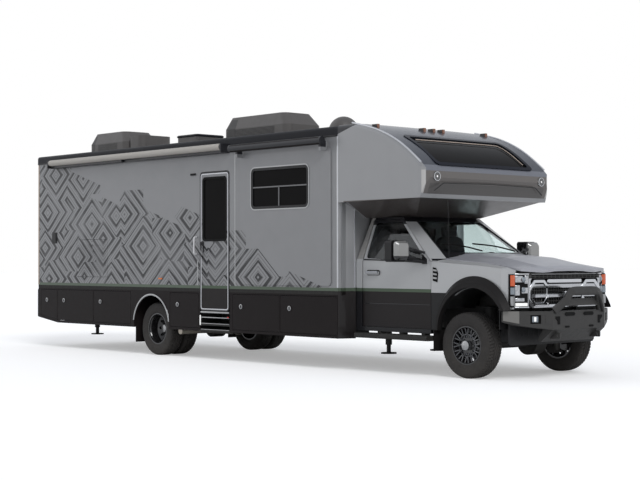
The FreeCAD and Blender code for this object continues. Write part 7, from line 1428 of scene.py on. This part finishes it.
@dataclass
class Wheels:
    """Treaded tyres, wheel nuts, hub caps and spokes."""

    axle: float = 0.420
    radius: float = 0.4195
    width: float = 0.245
    bead_radius: float = 0.2487
    bead_half: float = 0.100
    front: Pair = (4.500, 0.911)
    rear: Pair = (-1.930, 1.080)
    spacing: float = 0.285
    front_disc: Pair = (0.069, 0.060)
    rear_disc: Pair = (-0.1305, 0.110)
    carcass: tuple[Pair, ...] = ((-0.100, 0.2488), (-0.113, 0.262), (-0.1205, 0.300), (-0.1225, 0.335),
                                 (-0.119, 0.372), (-0.111, 0.397), (-0.100, 0.411), (-0.086, 0.4170),
                                 (-0.062, 0.4188), (-0.045, 0.4192), (-0.030, 0.4194), (-0.015, 0.4195))
    points_round: int = 288
    groove: float = 0.012
    tread_half: float = 0.108
    tread_low: float = 0.395
    zigzags: int = 36
    zigzag: float = 0.006
    ring_place: float = 0.040
    ring_half: float = 0.0055
    middle_half: float = 0.004
    bars: int = 60
    bar_slant: float = 46.0
    bar_edge: float = 0.72
    bar_start: float = 0.047
    ridge: Triple = (0.300, 0.312, 1.0012)
    nut_count: int = 10
    nut_circle: float = 0.1125
    nut: tuple[Pair, ...] = ((0.001, 0.0165), (0.005, 0.016), (0.006, 0.0135), (0.024, 0.0130),
                             (0.031, 0.008), (0.032, 0.0))
    cap: tuple[Pair, ...] = ((-0.050, 0.0625), (-0.004, 0.0622), (0.001, 0.052), (0.0005, 0.0))
    spoke_pairs: int = 12
    spoke_start: Triple = (0.138, 0.05, 0.012)
    spoke_end: Triple = (0.222, 0.13, 0.020)
    spoke_ring: tuple[Pair, ...] = ((0.001, 0.150), (0.016, 0.146), (0.020, 0.136), (0.012, 0.130),
                                    (0.001, 0.129))

    def build(self) -> None:
        """Dress all six tyres and four wheel faces."""
        for side in SIDES:
            label = side.label
            x, y = self.front
            tyre = self.tyre(x, side.sign * y)
            made = tyre.piece("tread_front_" + label, TYRE_BLACK, "tyre_rubber", "wheel_front_" + label)
            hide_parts("tyre_front_" + label)
            disc, reach = self.front_disc
            self.face(side, "front_", "wheel_front_" + label, (x, y + disc), reach)
            x, y = self.rear
            pair = self.tyre(x, side.sign * y).join(self.tyre(x, side.sign * (y - self.spacing)))
            made = pair.piece("treads_rear_" + label, TYRE_BLACK, "tyre_rubber", "wheels_rear_" + label)
            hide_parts("tyres_rear_" + label)
            disc, reach = self.rear_disc
            self.face(side, "rear_", "wheels_rear_" + label, (x, y + disc), reach)

    def tyre(self, x: float, y: float) -> Shape:
        """Return one tyre.

        The section runs from one bead over the tread to the other. Its radius is the carcass's, less the
        groove's depth wherever the zigzag rings or the slanting bars of the tread run.

        Args:
            x: Centre along the vehicle.
            y: Centre across.

        Returns:
            The tyre's shape.
        """
        half = np.array(self.carcass)
        section = smooth_path(np.vstack([half, (0.0, self.radius), half[::-1] * (-1, 1)]), 3)
        turn = np.linspace(0.0, math.tau, self.points_round, endpoint=False)
        offset, reach = section[:, :1], section[:, 1:]
        aside = np.abs(offset)
        tread = (aside < self.tread_half) & (reach > self.tread_low)
        place = np.abs(offset + self.zigzag * np.sign(np.sin(turn * self.zigzags))[None, :])
        rings = (np.abs(place - self.ring_place) < self.ring_half) | (place < self.middle_half)
        bars = np.sin(turn[None, :] * self.bars + aside * self.bar_slant) > self.bar_edge
        bars &= aside > self.bar_start
        radius = np.minimum(reach - np.where(tread & (rings | bars), self.groove, 0.0), self.radius)
        low, high, swell = self.ridge
        ridge = np.where((reach > low) & (reach < high), swell, 1.0)
        across = np.clip(y + offset * ridge, y - self.width / 2 + 1e-4, y + self.width / 2 - 1e-4)
        bead = np.full((2, 1), self.bead_radius)
        radius = np.vstack([radius, np.broadcast_to(bead, (2, len(turn)))])
        across = np.vstack([across, [[y + self.bead_half], [y - self.bead_half]]])
        points = np.stack([x + radius * np.cos(turn), np.broadcast_to(across, radius.shape),
                           self.axle + radius * np.sin(turn)], axis=-1)
        return Shape().tube_grid(points, closed=True)

    def face(self, side: Side, name: str, body: str, disc: Pair, reach: float) -> None:
        """Set the nuts, the raised spokes and the hub's bright cap on one wheel face.

        Args:
            side: The wheel's side.
            name: Middle of the pieces' names.
            body: Body that carries them.
            disc: X of the wheel's centre, and Y of the disc's outer face on the left.
            reach: How far the hub stands out.
        """
        x, y = disc
        nuts = Shape()
        for angle in np.arange(self.nut_count) * math.tau / self.nut_count:
            along, up = self.nut_circle * math.cos(angle), self.nut_circle * math.sin(angle)
            nuts.lathe(self.nut, (x + along, y, self.axle + up), 1, 6)
        nuts.fit(side, "nuts_" + name[:-1], NUT_STEEL, "bright_trim", body)
        self.spokes(x, y).fit(side, "spokes_" + name[:-1], SPOKE_GLOSS, "wheel_black", body)
        profile = [(reach + offset, radius) for offset, radius in self.cap]
        cap = Shape().lathe(profile, (x, y, self.axle), 1, 40)
        cap.fit(side, "hub_cap_" + name[:-1], SATIN_METAL, "bright_trim", body)

    def spokes(self, x: float, y: float) -> Shape:
        """Return pairs of slim spokes, each pair a narrow V from the hub to the rim, and the hub's ring.

        A spoke's section is carried on a straight line from the hub's radius to the rim's, turned about the
        axle.

        Args:
            x: Centre along the vehicle.
            y: The disc's outer face.

        Returns:
            The shape.
        """
        cast = Shape()
        section = rounded_outline((-0.0085, -0.008), (0.0085, 0.011), 0.005, 3)
        for number in range(self.spoke_pairs):
            for lean in (-1.0, 1.0):
                path = []
                for radius, spread, out in (self.spoke_start, self.spoke_end):
                    angle = number * math.tau / self.spoke_pairs + lean * spread
                    path.append((x + radius * math.cos(angle), y + out, self.axle + radius * math.sin(angle)))
                cast.sweep(section, path, (0.0, 1.0, 0.0))
        return cast.lathe(self.spoke_ring, (x, y, self.axle), 1, 48, closed=True)


@dataclass
class CabSeats:
    """Two padded cab seats that stand for the plain seat solids."""

    across: float = 0.440
    back_lean: float = -9.0
    squareness: float = 0.42
    channel_depth: float = 0.10
    channel_edge: float = 0.93
    pan: tuple[Triple, Triple] = ((3.160, 0.0, 1.215), (0.262, 0.268, 0.072))
    back: tuple[Triple, Triple] = ((2.905, 0.0, 1.540), (0.066, 0.262, 0.300))
    headrest: tuple[Triple, Triple] = ((2.862, 0.0, 1.905), (0.044, 0.132, 0.078))
    base: tuple[Triple, Triple] = ((2.965, -0.20, 0.981), (3.355, 0.20, 1.150))

    def build(self) -> None:
        """Make each seat's cushion, back and headrest, and its base."""
        for side in SIDES:
            shift = np.array((0.0, side.sign * self.across, 0.0))
            for name, (centre, half), lean, channels in (("seat_pan_", self.pan, 0.0, 3),
                                                         ("seat_back_", self.back, self.back_lean, 3),
                                                         ("headrest_", self.headrest, self.back_lean, 0)):
                self.pad(name + side.label, centre + shift, half, math.radians(lean), channels)
            low, high = np.array(self.base) + shift
            Shape().block(low, high, 0.02).piece("seat_base_" + side.label, CABIN, "cabin_plastic")
        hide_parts("seats")

    def pad(self, name: str, centre: Array, half: Triple, lean: float, channels: int) -> bpy.types.Object:
        """Make one crowned cushion with sewn channels.

        A point at latitude u and longitude v lies at signed powers of their sines and cosines times the half
        sizes, which squares the ball off. The channels lie where a cosine across the width is near its top.

        Args:
            name: The pad's name.
            centre: Its middle.
            half: Half its size each way.
            lean: Turn about the cross axis.
            channels: Number of channels across.

        Returns:
            The padded piece.
        """
        def power(value: Array) -> Array:
            """Return the signed power that squares the ball off."""
            return np.sign(value) * np.abs(value) ** self.squareness

        u = np.linspace(-math.pi / 2, math.pi / 2, 33)[1:-1, None]
        v = np.linspace(0.0, math.tau, 64, endpoint=False)[None, :]
        x = power(np.cos(u)) * power(np.cos(v))
        y = power(np.cos(u)) * power(np.sin(v))
        z = power(np.sin(u)) * np.ones_like(v)
        local = np.stack([x * half[0], y * half[1], z * half[2]], axis=-1)
        if channels:
            dips = np.cos(y * math.pi * channels) > self.channel_edge
            local[..., int(np.argmin(half))] *= 1.0 - self.channel_depth * dips
        turn = np.array(Matrix.Rotation(lean, 3, "Y"))
        made = Shape().tube_grid(local @ turn.T + centre).piece(name, SEAT_CLOTH, "seat_cloth")
        return made


@dataclass
class Studio:
    """Floor, lamps, world and camera."""

    place: Triple = (16.640, -14.484, 1.489)
    yaw: float = 42.119
    pitch: float = 0.853
    roll: float = -0.076
    lens: float = 80.14
    reach: float = 150.0
    floor_lift: float = 0.34
    suns: tuple[tuple[str, float, float, Triple], ...] = (("key", 1.25, 25.0, (48.0, 4.0, 62.0)),
                                                          ("fill", 0.35, 60.0, (60.0, 0.0, -70.0)))
    sky: tuple[tuple[float, Triple], ...] = ((0.0, (0.95, 0.95, 0.95)), (0.28, (0.74, 0.76, 0.80)),
                                             (0.75, (0.46, 0.48, 0.52)))

    def build(self) -> None:
        """Make the stage and set the render's colour view."""
        bpy.context.scene.view_settings.view_transform = "Standard"
        self.camera()
        self.floor()
        self.lamps()
        self.world()

    def add(self, name: str, data: bpy.types.ID) -> bpy.types.Object:
        """Return a new object of the scene that holds the data."""
        made = bpy.data.objects.new(name, data)
        bpy.context.scene.collection.objects.link(made)
        return made

    def camera(self) -> None:
        """Stand the camera where the photograph was taken."""
        yaw, pitch = math.radians(self.yaw), math.radians(self.pitch)
        ahead = Vector((-math.cos(yaw) * math.cos(pitch), math.sin(yaw) * math.cos(pitch), math.sin(pitch)))
        data = bpy.data.cameras.new("camera")
        data.lens, data.sensor_width, data.clip_end = self.lens, 36.0, 500.0
        turn = ahead.to_track_quat("-Z", "Y").to_matrix().to_4x4()
        turn @= Matrix.Rotation(math.radians(self.roll), 4, "Z")
        made = self.add("camera", data)
        made.matrix_world = Matrix.Translation(self.place) @ turn
        bpy.context.scene.camera = made

    def floor(self) -> None:
        """Lay a wide pale floor, which looks a little brighter to the camera than its light makes it."""
        mesh = bpy.data.meshes.new("floor")
        square = [(-1.0, -1.0), (1.0, -1.0), (1.0, 1.0), (-1.0, 1.0)]
        mesh.from_pydata([(x * self.reach, y * self.reach, 0.0) for x, y in square], [], [(0, 1, 2, 3)])
        pale = Finish("pale_floor", (0.80, 0.80, 0.80), 0.9, mottle=0.01, specular=0.1).material()
        tree = pale.node_tree
        seen = add_node(tree, "LightPath", {}).outputs["Is Camera Ray"]
        lift = add_node(tree, "Math", {0: seen, 1: self.floor_lift}, operation="MULTIPLY").outputs[0]
        white = (1.0, 1.0, 1.0, 1.0)
        set_inputs(tree.nodes["Principled BSDF"], {"Emission Strength": lift, "Emission Color": white})
        mesh.materials.append(pale)
        made = self.add("floor", mesh)

    def lamps(self) -> None:
        """Hang one broad sun from the front right and a softer one from behind."""
        for name, energy, angle, turn in self.suns:
            data = bpy.data.lights.new(name, "SUN")
            data.energy, data.angle = energy, math.radians(angle)
            self.add(name, data).rotation_euler = [math.radians(value) for value in turn]

    def world(self) -> None:
        """Light the scene evenly from a sky, with a white backdrop for the camera and through glass."""
        world = bpy.data.worlds.new("studio")
        bpy.context.scene.world = world
        world.use_nodes = True
        tree = world.node_tree
        path = add_node(tree, "LightPath", {}).outputs
        rays = {0: path["Is Camera Ray"], 1: path["Is Transmission Ray"]}
        seen = add_node(tree, "Math", rays, operation="MAXIMUM").outputs[0]
        split = add_node(tree, "SeparateXYZ", {0: add_node(tree, "TexCoord", {}).outputs["Generated"]})
        sky = add_node(tree, "ValToRGB", {0: split.outputs[2]})
        elements = sky.color_ramp.elements
        stops = (elements[0], elements.new(self.sky[1][0]), elements[len(elements) - 1])
        for stop, (level, colour) in zip(stops, self.sky):
            stop.position, stop.color = level, (*colour, 1.0)
        mix = add_node(tree, "MixRGB", {0: seen, 1: sky.outputs[0], 2: (1.0, 1.0, 1.0, 1.0)})
        set_inputs(tree.nodes["Background"], {0: mix.outputs[0], 1: 1.0})


def dress_nodes(frame: dict[str, Any]) -> None:
    """Give every carried-over node its finish.
    """
    for node, holder in frame["nodes"].items():
        material = node_finish(node).material()
        for item in [holder, *holder.children_recursive]:
            if item.type != "MESH":
                continue
            if not item.material_slots:
                item.data.materials.append(material)
            for place in item.material_slots:
                place.material = material
        LOG.info("node %s: %s", node, material.name)


def main() -> None:
    """Load the frame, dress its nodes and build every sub-assembly."""
    logging.basicConfig(level=logging.INFO, format="%(name)s: %(message)s")
    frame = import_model()
    Studio().build()
    dress_nodes(frame)
    for assembly in (CoachShell(), EntryDoor(), BaggageDoors(), Awnings(), RoofGear(), FrontCap(), Cab(),
                     FrontEnd(), Wheels(), CabSeats()):
        assembly.build()
        LOG.info("built %s", type(assembly).__name__)


if __name__ == "__main__":
    main()
